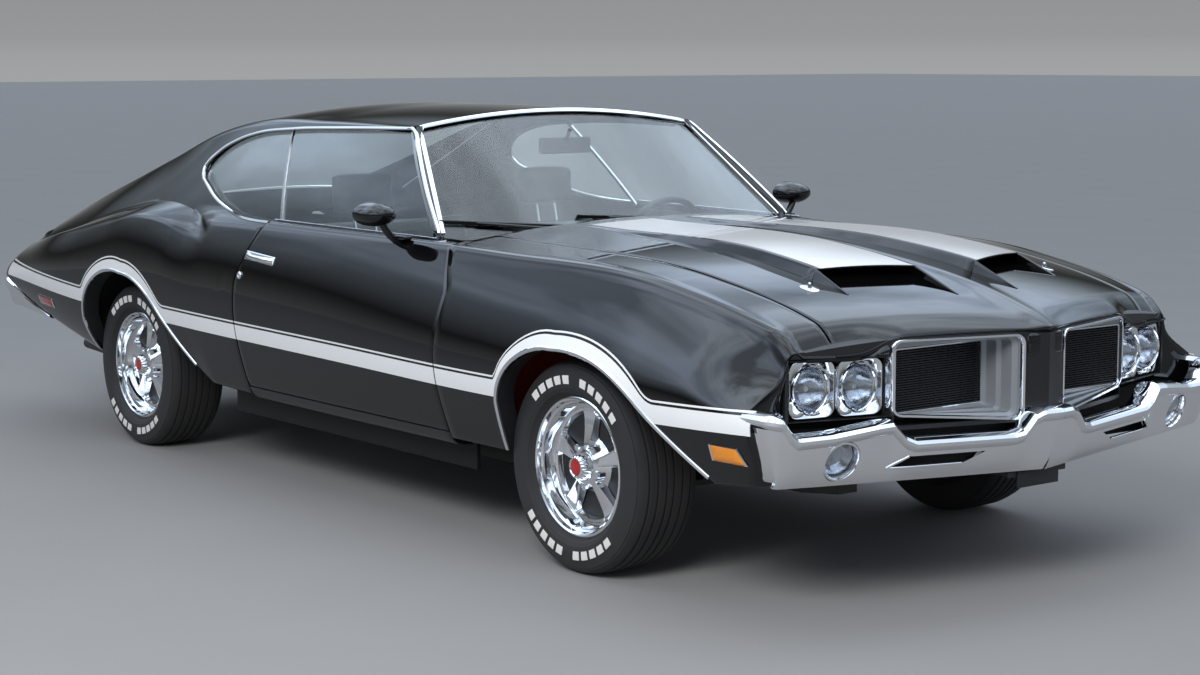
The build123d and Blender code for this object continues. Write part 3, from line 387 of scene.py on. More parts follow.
class Workbench:
    """Modelling steps that every sub-assembly uses."""

    @staticmethod
    def only(*pieces: bpy.types.Object) -> None:
        """Select these pieces and nothing else."""
        bpy.ops.object.select_all(action="DESELECT")
        for piece in pieces:
            piece.select_set(True)
        bpy.context.view_layer.objects.active = pieces[0]

    @staticmethod
    def edit(piece: bpy.types.Object, *steps: Callable[[], object]) -> bpy.types.Object:
        """Run edit-mode operators on a whole piece.

        Args:
            piece: The piece.
            *steps: Operators, run in turn.

        Returns:
            The same piece.
        """
        Workbench.only(piece)
        bpy.ops.object.mode_set(mode="EDIT")
        bpy.ops.mesh.select_all(action="SELECT")
        for step in steps:
            step()
        bpy.ops.object.mode_set(mode="OBJECT")
        return piece

    @staticmethod
    def grid(name: str, points: Points, inside: Sequence[float | None]) -> bpy.types.Object:
        """Shape a grid primitive to rows and columns of points.

        Args:
            name: The piece's name.
            points: Columns by rows by x, y, z.
            inside: A point that the faces look away from; None follows each face.

        Returns:
            The open sheet.
        """
        columns, rows = points.shape[:2]
        bpy.ops.object.select_all(action="DESELECT")
        bpy.ops.mesh.primitive_grid_add(x_subdivisions=columns - 1, y_subdivisions=rows - 1, size=1)
        piece = bpy.context.object
        piece.name = piece.data.name = name
        piece.data.vertices.foreach_set("co", points.transpose(1, 0, 2).astype(np.float32).ravel())
        piece.data.update()
        return Workbench.face_away(piece, inside)

    @staticmethod
    def face_away(piece: bpy.types.Object, inside: Sequence[float | None]) -> bpy.types.Object:
        """Turn a sheet's faces so that they look away from a point.

        Args:
            piece: The sheet.
            inside: A point behind the faces; None follows each face.

        Returns:
            The same sheet.
        """
        total = 0.0
        for face in piece.data.polygons:
            core = Vector([face.center[i] if v is None else v for i, v in enumerate(inside)])
            total += face.area * face.normal.dot((face.center - core).normalized())
        if total < 0:
            piece.data.flip_normals()
        return piece

    @staticmethod
    def apply(piece: bpy.types.Object, kind: str, **settings: object) -> bpy.types.Object:
        """Add a modifier with its settings and apply it.

        Args:
            piece: The piece.
            kind: Blender's name of the modifier.
            **settings: Its settings by name.

        Returns:
            The same piece.
        """
        Workbench.only(piece)
        modifier = piece.modifiers.new(kind.lower(), kind)
        for key, value in settings.items():
            setattr(modifier, key, value)
        bpy.ops.object.modifier_apply(modifier=modifier.name)
        return piece

    @staticmethod
    def smooth(piece: bpy.types.Object, angle: float = 38.0) -> bpy.types.Object:
        """Shade a piece smooth, with sharp edges past an angle in degrees."""
        Workbench.only(piece)
        bpy.ops.object.shade_smooth_by_angle(angle=math.radians(angle))
        return piece

    @staticmethod
    def sheet_metal(piece: bpy.types.Object, wall: float = 0.014, edge: float = 0.0022) -> bpy.types.Object:
        """Give a sheet its wall and rounded edges.

        Args:
            piece: The open sheet.
            wall: Its thickness.
            edge: Bevel of its edges, or 0.

        Returns:
            The same piece.
        """
        Workbench.apply(piece, "SOLIDIFY", thickness=wall, offset=-1.0, use_even_offset=False)
        if edge:
            Workbench.apply(piece, "BEVEL", width=edge, segments=2, limit_method="ANGLE",
                            angle_limit=math.radians(50))
        return Workbench.smooth(piece)

    @staticmethod
    def join(name: str, pieces: Sequence[bpy.types.Object], weld: float = 0.0) -> bpy.types.Object:
        """Join pieces into one.

        Args:
            name: The joined piece's name.
            pieces: What is joined.
            weld: Distance under which points become one, or 0 to keep all.

        Returns:
            The joined piece.
        """
        Workbench.only(*pieces)
        if len(pieces) > 1:
            bpy.ops.object.join()
        piece = bpy.context.view_layer.objects.active
        piece.name = piece.data.name = name
        if weld:
            Workbench.edit(piece, lambda: bpy.ops.mesh.remove_doubles(threshold=weld))
        return piece

    @staticmethod
    def mirrored(piece: bpy.types.Object, name: str) -> bpy.types.Object:
        """Return a copy of a piece on the other side of the car.

        Args:
            piece: The piece.
            name: The copy's name.

        Returns:
            The copy.
        """
        copy = piece.copy()
        copy.data = piece.data.copy()
        copy.name = copy.data.name = name
        bpy.context.scene.collection.objects.link(copy)
        copy.data.transform(Matrix.Scale(-1, 4, (0, 1, 0)))
        copy.data.flip_normals()
        return copy

    @staticmethod
    def from_rings(name: str, rings: Points, closed: bool = False, capped: bool = True) -> bpy.types.Object:
        """Skin a row of closed rings.

        Args:
            name: The piece's name.
            rings: Rings by points by x, y, z.
            closed: Whether the last ring meets the first.
            capped: Whether open ends get a flat cap.

        Returns:
            The closed piece, with its faces outward.
        """
        count, around = rings.shape[:2]
        loops = count if closed else count - 1
        faces = [
            (i * around + j, i * around + (j + 1) % around, (i + 1) % count * around + (j + 1) % around,
             (i + 1) % count * around + j)
            for i in range(loops) for j in range(around)]
        if capped and not closed:
            faces += [tuple(range(around)), tuple(range((count - 1) * around, count * around))]
        mesh = bpy.data.meshes.new(name)
        mesh.from_pydata(rings.reshape(-1, 3).tolist(), [], faces)
        piece = bpy.data.objects.new(name, mesh)
        bpy.context.scene.collection.objects.link(piece)
        return Workbench.edit(piece, lambda: bpy.ops.mesh.normals_make_consistent(inside=False))

    @staticmethod
    def sweep(name: str, path: Points, up: Points, section: Sequence[tuple[float, float]],
              closed: bool = False, angle: float = 38.0) -> bpy.types.Object:
        """Carry a closed section along a path.

        Args:
            name: The piece's name.
            path: Points of the path.
            up: The direction that the section's second value follows, one or one a point.
            section: Outline as sideways and upward offsets.
            closed: Whether the path is a loop.
            angle: Shading angle in degrees.

        Returns:
            The swept piece.
        """
        path = np.asarray(path, float)
        if closed:
            tangent = np.roll(path, -1, 0) - np.roll(path, 1, 0)
        else:
            tangent = np.gradient(path, axis=0)
        tangent /= np.linalg.norm(tangent, axis=1, keepdims=True)
        up = np.broadcast_to(np.asarray(up, float), path.shape)
        up = up - tangent * np.sum(up * tangent, 1, keepdims=True)
        up /= np.linalg.norm(up, axis=1, keepdims=True)
        side = np.cross(tangent, up)
        rings = np.stack([path + side * a + up * b for a, b in section], 1)
        return Workbench.smooth(Workbench.from_rings(name, rings, closed), angle)

    @staticmethod
    def turned(name: str, profile: Sequence[tuple[float, float]], centre: Sequence[float],
               axis: Sequence[float], steps: int = 96, angle: float = 32.0) -> bpy.types.Object:
        """Spin a closed profile about an axis.

        Args:
            name: The piece's name.
            profile: Radius and distance along the axis, a closed outline.
            centre: A point on the axis.
            axis: The axis direction.
            steps: How many steps make the full turn.
            angle: Shading angle in degrees.

        Returns:
            The turned piece.
        """
        centre, axis = Vector(centre), Vector(axis).normalized()
        out = axis.orthogonal().normalized()
        points = [centre + out * r + axis * a for r, a in profile]
        mesh = bpy.data.meshes.new(name)
        mesh.from_pydata(points, [(i, (i + 1) % len(points)) for i in range(len(points))], [])
        piece = bpy.data.objects.new(name, mesh)
        bpy.context.scene.collection.objects.link(piece)
        Workbench.edit(
            piece,
            lambda: bpy.ops.mesh.spin(steps=steps, angle=2 * math.pi, center=centre, axis=axis),
            lambda: bpy.ops.mesh.select_all(action="SELECT"),
            lambda: bpy.ops.mesh.remove_doubles(threshold=1e-5),
            lambda: bpy.ops.mesh.normals_make_consistent(inside=False))
        return Workbench.smooth(piece, angle)

    @staticmethod
    def block(name: str, low: Sequence[float], high: Sequence[float],
              edge: float = 0.003) -> bpy.types.Object:
        """Make a box by its corners, with rounded edges.

        Args:
            name: The piece's name.
            low: Its low corner.
            high: Its high corner.
            edge: Bevel of its edges, or 0.

        Returns:
            The box.
        """
        bpy.ops.object.select_all(action="DESELECT")
        bpy.ops.mesh.primitive_cube_add(size=1)
        piece = bpy.context.object
        piece.name = piece.data.name = name
        low, high = Vector(low), Vector(high)
        piece.data.transform(Matrix.Translation((low + high) / 2) @ Matrix.Diagonal((*(high - low), 1)))
        if edge:
            Workbench.apply(piece, "BEVEL", width=edge, segments=3, limit_method="ANGLE")
        return Workbench.smooth(piece)


def round_section(radius: float, count: int = 12, flatten: float = 1.0) -> list[tuple[float, float]]:
    """Return a round or flattened section for a sweep."""
    turns = np.linspace(0, 2 * math.pi, count, endpoint=False)
    return [(radius * math.cos(t), radius * flatten * math.sin(t)) for t in turns]


class SharedNodes:
    """Shader node groups that every finish shares; they give only colours, values and normals."""

    @staticmethod
    def group(name: str, inputs: Sequence[tuple[str, str, object]],
              outputs: Sequence[tuple[str, str]]) -> bpy.types.NodeTree:
        """Make an empty group with named sockets.

        Args:
            name: The group's name.
            inputs: Each input's label, kind and value.
            outputs: Each output's label and kind.

        Returns:
            The group's tree.
        """
        tree = bpy.data.node_groups.new(name, "ShaderNodeTree")
        for label, kind, value in inputs:
            socket = tree.interface.new_socket(label, in_out="INPUT", socket_type=kind)
            socket.default_value = value
        for label, kind in outputs:
            tree.interface.new_socket(label, in_out="OUTPUT", socket_type=kind)
        tree.nodes.new("NodeGroupInput").name = "in"
        tree.nodes.new("NodeGroupOutput").name = "out"
        return tree

    @staticmethod
    def noise(tree: bpy.types.NodeTree, detail: float) -> bpy.types.Node:
        """Add a noise texture that reads object coordinates.

        Args:
            tree: The tree that gets it.
            detail: The noise's detail.

        Returns:
            The noise node.
        """
        place = tree.nodes.new("ShaderNodeTexCoord")
        noise = tree.nodes.new("ShaderNodeTexNoise")
        noise.inputs["Detail"].default_value = detail
        tree.links.new(place.outputs["Object"], noise.inputs["Vector"])
        return noise

    @classmethod
    def tone(cls) -> bpy.types.NodeTree:
        """Return the group that varies a colour over the surface."""
        if tree := bpy.data.node_groups.get("surface_tone"):
            return tree
        tree = cls.group(
            "surface_tone",
            [("Color", "NodeSocketColor", (0.5, 0.5, 0.5, 1)), ("Variation", "NodeSocketFloat", 0.1),
             ("Scale", "NodeSocketFloat", 8.0)],
            [("Color", "NodeSocketColor"), ("Mask", "NodeSocketFloat")])
        noise = cls.noise(tree, 3.0)
        spread = tree.nodes.new("ShaderNodeMath")
        spread.operation = "MULTIPLY_ADD"
        spread.inputs[2].default_value = 1.0
        centred = tree.nodes.new("ShaderNodeMath")
        centred.operation = "SUBTRACT"
        centred.inputs[1].default_value = 0.5
        scaled = tree.nodes.new("ShaderNodeVectorMath")
        scaled.operation = "SCALE"
        source, out = tree.nodes["in"], tree.nodes["out"]
        link = tree.links.new
        link(source.outputs["Scale"], noise.inputs["Scale"])
        link(noise.outputs[0], centred.inputs[0])
        link(centred.outputs[0], spread.inputs[0])
        link(source.outputs["Variation"], spread.inputs[1])
        link(source.outputs["Color"], scaled.inputs[0])
        link(spread.outputs[0], scaled.inputs["Scale"])
        link(scaled.outputs[0], out.inputs["Color"])
        link(noise.outputs[0], out.inputs["Mask"])
        return tree

    @classmethod
    def relief(cls) -> bpy.types.NodeTree:
        """Return the group that gives a fine surface relief as a normal."""
        if tree := bpy.data.node_groups.get("surface_relief"):
            return tree
        tree = cls.group(
            "surface_relief",
            [("Scale", "NodeSocketFloat", 200.0), ("Strength", "NodeSocketFloat", 0.1)],
            [("Normal", "NodeSocketVector")])
        noise = cls.noise(tree, 2.0)
        bump = tree.nodes.new("ShaderNodeBump")
        bump.inputs["Distance"].default_value = 0.001
        source = tree.nodes["in"]
        tree.links.new(source.outputs["Scale"], noise.inputs["Scale"])
        tree.links.new(noise.outputs[0], bump.inputs["Height"])
        tree.links.new(source.outputs["Strength"], bump.inputs["Strength"])
        tree.links.new(bump.outputs[0], tree.nodes["out"].inputs["Normal"])
        return tree

    @classmethod
    def dust(cls) -> bpy.types.NodeTree:
        """Return the group that masks road dust, thickest near the ground."""
        if tree := bpy.data.node_groups.get("road_dust"):
            return tree
        tree = cls.group(
            "road_dust",
            [("Amount", "NodeSocketFloat", 0.2), ("Low", "NodeSocketFloat", 0.1),
             ("High", "NodeSocketFloat", 0.6)],
            [("Mask", "NodeSocketFloat")])
        noise = cls.noise(tree, 6.0)
        noise.inputs["Scale"].default_value = 9.0
        place = tree.nodes.new("ShaderNodeTexCoord")
        parts = tree.nodes.new("ShaderNodeSeparateXYZ")
        fade = tree.nodes.new("ShaderNodeMapRange")
        fade.inputs["To Min"].default_value = 1.0
        fade.inputs["To Max"].default_value = 0.12
        grain = tree.nodes.new("ShaderNodeMath")
        grain.operation = "MULTIPLY"
        total = tree.nodes.new("ShaderNodeMath")
        total.operation = "MULTIPLY"
        source, link = tree.nodes["in"], tree.links.new
        link(place.outputs["Object"], parts.inputs[0])
        link(parts.outputs["Z"], fade.inputs["Value"])
        link(source.outputs["Low"], fade.inputs["From Min"])
        link(source.outputs["High"], fade.inputs["From Max"])
        link(fade.outputs[0], grain.inputs[0])
        link(noise.outputs[0], grain.inputs[1])
        link(grain.outputs[0], total.inputs[0])
        link(source.outputs["Amount"], total.inputs[1])
        link(total.outputs[0], tree.nodes["out"].inputs["Mask"])
        return tree


@dataclass(frozen=True)
class Finish:
    """A painted, metal, rubber, cloth or plastic surface."""

    name: str
    color: tuple[float, float, float]
    roughness: float
    metallic: float = 0.0
    coat: float = 0.0
    variation: float = 0.15
    scale: float = 8.0
    relief: float = 0.0
    relief_scale: float = 200.0
    dust: float = 0.0
    dust_color: tuple[float, float, float] = (0.16, 0.145, 0.125)
    sheen: float = 0.0

    def material(self) -> bpy.types.Material:
        """Return the finish's material, made on first use."""
        if found := bpy.data.materials.get(f"{self.name}_finish"):
            return found
        material = bpy.data.materials.new(f"{self.name}_finish")
        material.use_nodes = True
        tree = material.node_tree
        shader = tree.nodes["Principled BSDF"]
        tone = self.add_group(tree, SharedNodes.tone(), Variation=self.variation, Scale=self.scale)
        tone.inputs["Color"].default_value = (*self.color, 1)
        dust = self.add_group(tree, SharedNodes.dust(), Amount=self.dust)
        mix = tree.nodes.new("ShaderNodeMix")
        mix.data_type = "RGBA"
        mix.inputs[7].default_value = (*self.dust_color, 1)
        rough = tree.nodes.new("ShaderNodeMath")
        rough.operation = "MULTIPLY_ADD"
        rough.inputs[1].default_value = 0.9
        rough.inputs[2].default_value = self.roughness
        link = tree.links.new
        link(dust.outputs["Mask"], mix.inputs[0])
        link(tone.outputs["Color"], mix.inputs[6])
        link(mix.outputs[2], shader.inputs["Base Color"])
        link(dust.outputs["Mask"], rough.inputs[0])
        link(rough.outputs[0], shader.inputs["Roughness"])
        shader.inputs["Metallic"].default_value = self.metallic
        shader.inputs["Coat Weight"].default_value = self.coat
        shader.inputs["Coat Roughness"].default_value = 0.03
        shader.inputs["Sheen Weight"].default_value = self.sheen
        if self.relief:
            relief = self.add_group(tree, SharedNodes.relief(), Scale=self.relief_scale, Strength=self.relief)
            link(relief.outputs["Normal"], shader.inputs["Normal"])
        return material

    @staticmethod
    def add_group(tree: bpy.types.NodeTree, group: bpy.types.NodeTree, **values: float) -> bpy.types.Node:
        """Add a shared group to a material with its values.

        Args:
            tree: The material's tree.
            group: The shared group.
            **values: The group's inputs by name.

        Returns:
            The group's node.
        """
        node = tree.nodes.new("ShaderNodeGroup")
        node.node_tree = group
        for key, value in values.items():
            node.inputs[key].default_value = value
        return node


@dataclass(frozen=True)
class GlassFinish:
    """A clear, tinted or fluted glass or lens that lets light through to what is behind it."""

    name: str
    color: tuple[float, float, float]
    roughness: float = 0.0
    relief: float = 0.0
    relief_scale: float = 60.0

    def material(self) -> bpy.types.Material:
        """Return the glass material, made on first use."""
        if found := bpy.data.materials.get(f"{self.name}_finish"):
            return found
        material = bpy.data.materials.new(f"{self.name}_finish")
        material.use_nodes = True
        tree = material.node_tree
        shader = tree.nodes["Principled BSDF"]
        tone = Finish.add_group(tree, SharedNodes.tone(), Variation=0.06, Scale=4.0)
        tone.inputs["Color"].default_value = (*self.color, 1)
        tree.links.new(tone.outputs["Color"], shader.inputs["Base Color"])
        shader.inputs["Roughness"].default_value = self.roughness
        shader.inputs["Transmission Weight"].default_value = 1.0
        shader.inputs["IOR"].default_value = 1.45
        if self.relief:
            relief = Finish.add_group(tree, SharedNodes.relief(), Scale=self.relief_scale,
                                      Strength=self.relief)
            tree.links.new(relief.outputs["Normal"], shader.inputs["Normal"])
        clear = tree.nodes.new("ShaderNodeBsdfTransparent")
        clear.inputs[0].default_value = (*self.color, 1)
        path = tree.nodes.new("ShaderNodeLightPath")
        mix = tree.nodes.new("ShaderNodeMixShader")
        tree.links.new(path.outputs["Is Shadow Ray"], mix.inputs[0])
        tree.links.new(shader.outputs[0], mix.inputs[1])
        tree.links.new(clear.outputs[0], mix.inputs[2])
        tree.links.new(mix.outputs[0], tree.nodes["Material Output"].inputs["Surface"])
        return material


BLACK_PAINT = Finish("black_paint", (0.0030, 0.0030, 0.0034), 0.03, coat=0.10, relief=0.010, relief_scale=320,
                     dust=0.004)
LOWER_BLACK = Finish("lower_black", (0.006, 0.006, 0.007), 0.34, coat=0.25, relief=0.05, relief_scale=420,
                     dust=0.05)
WHITE_PAINT = Finish("white_paint", (0.80, 0.82, 0.84), 0.24, coat=0.5, variation=0.03, relief=0.02,
                     relief_scale=320)
CHROME = Finish("chrome", (0.86, 0.87, 0.89), 0.045, metallic=1.0, variation=0.05, relief=0.02,
                relief_scale=30)
SATIN_CHROME = Finish("satin_chrome", (0.62, 0.63, 0.65), 0.26, metallic=1.0, variation=0.08)
ARGENT = Finish("argent", (0.30, 0.315, 0.335), 0.40, metallic=0.5, variation=0.1, relief=0.05,
                relief_scale=500)
SATIN_BLACK = Finish("satin_black", (0.011, 0.011, 0.012), 0.42, variation=0.2, relief=0.06, relief_scale=500)
MATT_BLACK = Finish("matt_black", (0.006, 0.006, 0.006), 0.72, variation=0.2, relief=0.1, relief_scale=300)
VINYL = Finish("vinyl", (0.016, 0.015, 0.015), 0.46, variation=0.12, relief=0.12, relief_scale=900)
PLASTIC = Finish("black_plastic", (0.013, 0.013, 0.014), 0.36, variation=0.15, relief=0.1, relief_scale=700)
TYRE_RUBBER = Finish("tyre_rubber", (0.019, 0.019, 0.020), 0.66, variation=0.3, scale=14, relief=0.25,
                     relief_scale=600, dust=0.10)
MARK_WHITE = Finish("mark_white", (0.72, 0.72, 0.70), 0.6, variation=0.12, scale=30, relief=0.1,
                    relief_scale=500, dust=0.08)
SEAL = Finish("seal_rubber", (0.010, 0.010, 0.010), 0.6, variation=0.2)
RED_LINER = Finish("red_liner", (0.20, 0.012, 0.010), 0.5, variation=0.25, relief=0.15, relief_scale=240,
                   dust=0.12)
FRAME_BLACK = Finish("frame_black", (0.012, 0.012, 0.012), 0.55, variation=0.3, relief=0.3, relief_scale=160,
                     dust=0.3)
CAST_IRON = Finish("cast_iron", (0.07, 0.065, 0.06), 0.62, metallic=0.6, variation=0.3, relief=0.5,
                   relief_scale=240, dust=0.2)
ENGINE_PAINT = Finish("engine_paint", (0.02, 0.06, 0.22), 0.42, variation=0.2, relief=0.2, relief_scale=200,
                      dust=0.15)
STEEL = Finish("steel", (0.10, 0.10, 0.10), 0.5, metallic=0.8, variation=0.2, relief=0.2, relief_scale=180,
               dust=0.2)
REFLECTOR = Finish("reflector", (0.80, 0.81, 0.82), 0.12, metallic=1.0, variation=0.04)
LAMP_BASE = Finish("lamp_base", (0.55, 0.55, 0.54), 0.35, metallic=0.6, variation=0.1)
CLEAR_GLASS = GlassFinish("clear_glass", (0.86, 0.90, 0.88))
LAMP_GLASS = GlassFinish("lamp_glass", (0.95, 0.96, 0.97), roughness=0.0, relief=0.03, relief_scale=70)
LAMP_BOWL = Finish("lamp_bowl", (0.46, 0.49, 0.54), 0.16, metallic=1.0, variation=0.5, scale=34, relief=0.8,
                   relief_scale=75)
RED_LENS = Finish("red_lens", (0.34, 0.006, 0.005), 0.16, coat=0.8, variation=0.25, scale=60, relief=0.3,
                  relief_scale=200)
AMBER_LENS = Finish("amber_lens", (0.80, 0.27, 0.012), 0.22, coat=0.6, variation=0.25, scale=90, relief=0.3,
                    relief_scale=220)


def dress(piece: bpy.types.Object, body: str, finish: Finish | GlassFinish,
          replaces: Sequence[str] = ()) -> bpy.types.Object:
    """Give a piece its finish and tie it to the construction frame.

    Args:
        piece: The piece.
        body: The frame body that it rides on.
        finish: What its surface is made of.
        replaces: Frame nodes that it stands for.

    Returns:
        The same piece.
    """
    piece.data.materials.clear()
    piece.data.materials.append(finish.material())
    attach(piece, body)
    if replaces:
        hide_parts(*replaces)
    return piece


class Side(Enum):
    """The two sides of the car, with the sign of their Y."""

    LEFT = 1
    RIGHT = -1

    @property
    def label(self) -> str:
        """Return the side's name in node names."""
        return self.name.lower()


def both_sides(piece: bpy.types.Object, stem: str) -> dict[Side, bpy.types.Object]:
    """Name a left piece and make its right counterpart."""
    piece.name = piece.data.name = f"{stem}_left"
    return {Side.LEFT: piece, Side.RIGHT: Workbench.mirrored(piece, f"{stem}_right")}


def dress_both(piece: bpy.types.Object, stem: str, body: str,
               finish: Finish | GlassFinish, node: str = "") -> None:
    """Mirror a piece to the other side and dress both. A star in a body or node is each side's own name.

    Args:
        piece: The piece on the left side.
        stem: The stem of the two pieces' names.
        body: The frame body that they ride on.
        finish: What their surface is made of.
        node: The frame node that they stand for. One without a star is given to the left piece alone.
    """
    for side, made in both_sides(piece, stem).items():
        mine = bool(node) and ("*" in node or side is Side.LEFT)
        nodes = [node.replace("*", side.label)] if mine else []
        dress(made, body.replace("*", side.label), finish, nodes)


def outlined(corners: Points, count: int) -> Points:
    """Return points along the sides of a closed outline, a count on each side."""
    pairs = zip(corners, np.roll(corners, -1, 0))
    return np.concatenate([np.linspace(a, b, count, endpoint=False) for a, b in pairs])


@dataclass
class Fenders:
    """Front fenders from the door seam to the lamp bezels."""

    seam_x: float = 0.868 + SEAM
    bottom_z: float = 0.330
    arch_back: tuple[float, float] = (1.183, 0.478)
    arch_turn: tuple[float, float] = (1.260, 0.602)
    arch_crown: tuple[float, float] = (1.450, 0.668)
    arch_ahead: tuple[float, float] = (1.670, 0.648)
    arch_front: tuple[float, float] = (1.845, 0.572)
    sweep_end: tuple[float, float] = (2.135, 0.372)
    front: tuple[float, float] = (2.325, 0.388)
    lip_front_x: float = 2.303
    guide_drop: float = 0.104
    hood_seam: float = HOOD_HALF + SEAM

    def arch(self) -> Points:
        """Return the wheel opening's side-view line, rear to front."""
        return np.concatenate([
            straight((1.172, self.bottom_z), self.arch_back, 8),
            arc(self.arch_back, self.arch_turn, self.arch_crown, 16),
            arc(self.arch_crown, self.arch_ahead, self.arch_front, 16),
            straight(self.arch_front, self.sweep_end, 18)])

    def bottom(self) -> Points:
        """Return the lower edge's side-view line, rear to front."""
        return np.concatenate([
            straight((self.seam_x, self.bottom_z), (1.172, self.bottom_z), 8), self.arch(),
            straight(self.sweep_end, self.front, 20), [self.front]])

    def column(self, x: float, z: float, top_x: float, share: float) -> Points:
        """Return one column of points from the lower edge up and over to the hood seam.

        Args:
            x: The lower end's x.
            z: The lower end's z.
            top_x: Where the column crosses the lip.
            share: How far along the fender the column stands, 0 to 1.

        Returns:
            The column's points.
        """
        _, lip_z = BODY.lip(np.array(top_x))
        rear = max(0.0, 1 - share * 6)
        slant = (DOOR_FRONT[2][0] - DOOR_FRONT[1][0]) / (DOOR_FRONT[2][1] - DOOR_FRONT[1][1])
        guide = (top_x - rear * slant * self.guide_drop, float(lip_z) - self.guide_drop)
        low = draped((x, z), guide, 26, BODY.flank)
        high = draped(guide, (top_x, float(lip_z)), 8, BODY.flank)
        half = float(BODY.flank(np.array(top_x), lip_z))
        end = float(BODY.row["shoulder"](top_x)) - BODY.top_in
        end_z = float(BODY.top(np.array(top_x), np.array(end)))
        t = np.linspace(0, 1, 9)
        corner = (half + end) / 2 + 0.012, (float(lip_z) + end_z) / 2 + 0.019
        y = (1 - t) ** 2 * half + 2 * t * (1 - t) * corner[0] + t**2 * end
        z_over = (1 - t) ** 2 * float(lip_z) + 2 * t * (1 - t) * corner[1] + t**2 * end_z
        over = np.stack([np.full(9, top_x) + rear * slant * (z_over - float(lip_z)), y, z_over], 1)
        flat_y = np.linspace(end, self.hood_seam, 8)
        flat = np.stack([np.full(8, over[-1, 0]), flat_y, np.zeros(8)], 1)
        front = ease(share, 0.80, 1.0)
        for run in (over, flat):
            run[:, 0] += front * (nose_x(run[:, 1]) - nose_x(half)) * (half - run[:, 1] > 0)
        flat[:, 2] = BODY.top(flat[:, 0], flat_y)
        return stacked(low, high, over, flat)

    def build(self) -> None:
        """Build and dress both fenders."""
        bottom = self.bottom()
        run = np.concatenate([[0], np.cumsum(np.linalg.norm(np.diff(bottom, axis=0), axis=1))])
        along = (bottom[:, 0] - bottom[0, 0]) / (bottom[-1, 0] - bottom[0, 0])
        share = 0.35 * run / run[-1] + 0.65 * along
        first = float(line_x(DOOR_FRONT, 0.905)) + SEAM
        tops = first + (self.lip_front_x - first) * share
        columns = np.stack([self.column(*b, t, s) for b, t, s in zip(bottom, tops, share)])
        piece = Workbench.grid("fender", columns, (None, 0.0, 0.45))
        dress_both(
            Workbench.sheet_metal(piece), "front_fender", "root", BLACK_PAINT, "fender_*")


@dataclass
class Doors:
    """Outer door skins between the two seams."""

    columns: int = 60
    low_rows: int = 30
    bottom_z: float = DOOR_BOTTOM_Z
    belt_in: float = 0.038

    def build(self) -> None:
        """Build and dress both doors."""
        u = np.linspace(0, 1, self.columns)[:, None]

        def across(z: np.ndarray) -> np.ndarray:
            """Return x between the seams at each height."""
            rear, front = line_x(DOOR_REAR, z) + SEAM, line_x(DOOR_FRONT, z) - SEAM
            return rear + (front - rear) * u

        v = np.linspace(0, 1, self.low_rows)[None, :]
        z = self.bottom_z + v * 0.55 + 0 * u
        for _ in range(4):
            x = across(z)
            z = self.bottom_z + v * (BODY.lip(x)[1] - self.bottom_z)
        low = np.stack([x, BODY.flank(x, z), z], -1)
        t = np.linspace(0, 1, 10)[None, :]
        over_z = z[:, -1:] + 0.02 * t
        for _ in range(4):
            x = across(over_z)
            half, lip_z = BODY.lip(x)
            end = BODY.row["shoulder"](x) - self.belt_in
            end_z = BODY.top(x, end) + 0.001
            over_z = (1 - t) ** 2 * lip_z + 2 * t * (1 - t) * ((lip_z + end_z) / 2 + 0.017) + t**2 * end_z
        y = (1 - t) ** 2 * half + 2 * t * (1 - t) * ((half + end) / 2 + 0.010) + t**2 * end
        over = np.stack([x, y, over_z], -1)
        points = np.concatenate([low, over[:, 1:]], 1)
        piece = Workbench.grid("door", points, (None, 0.0, 0.5))
        panel = Workbench.sheet_metal(piece, wall=0.026)
        dress_both(panel, "door_skin", "door_*", BLACK_PAINT, "door_*")


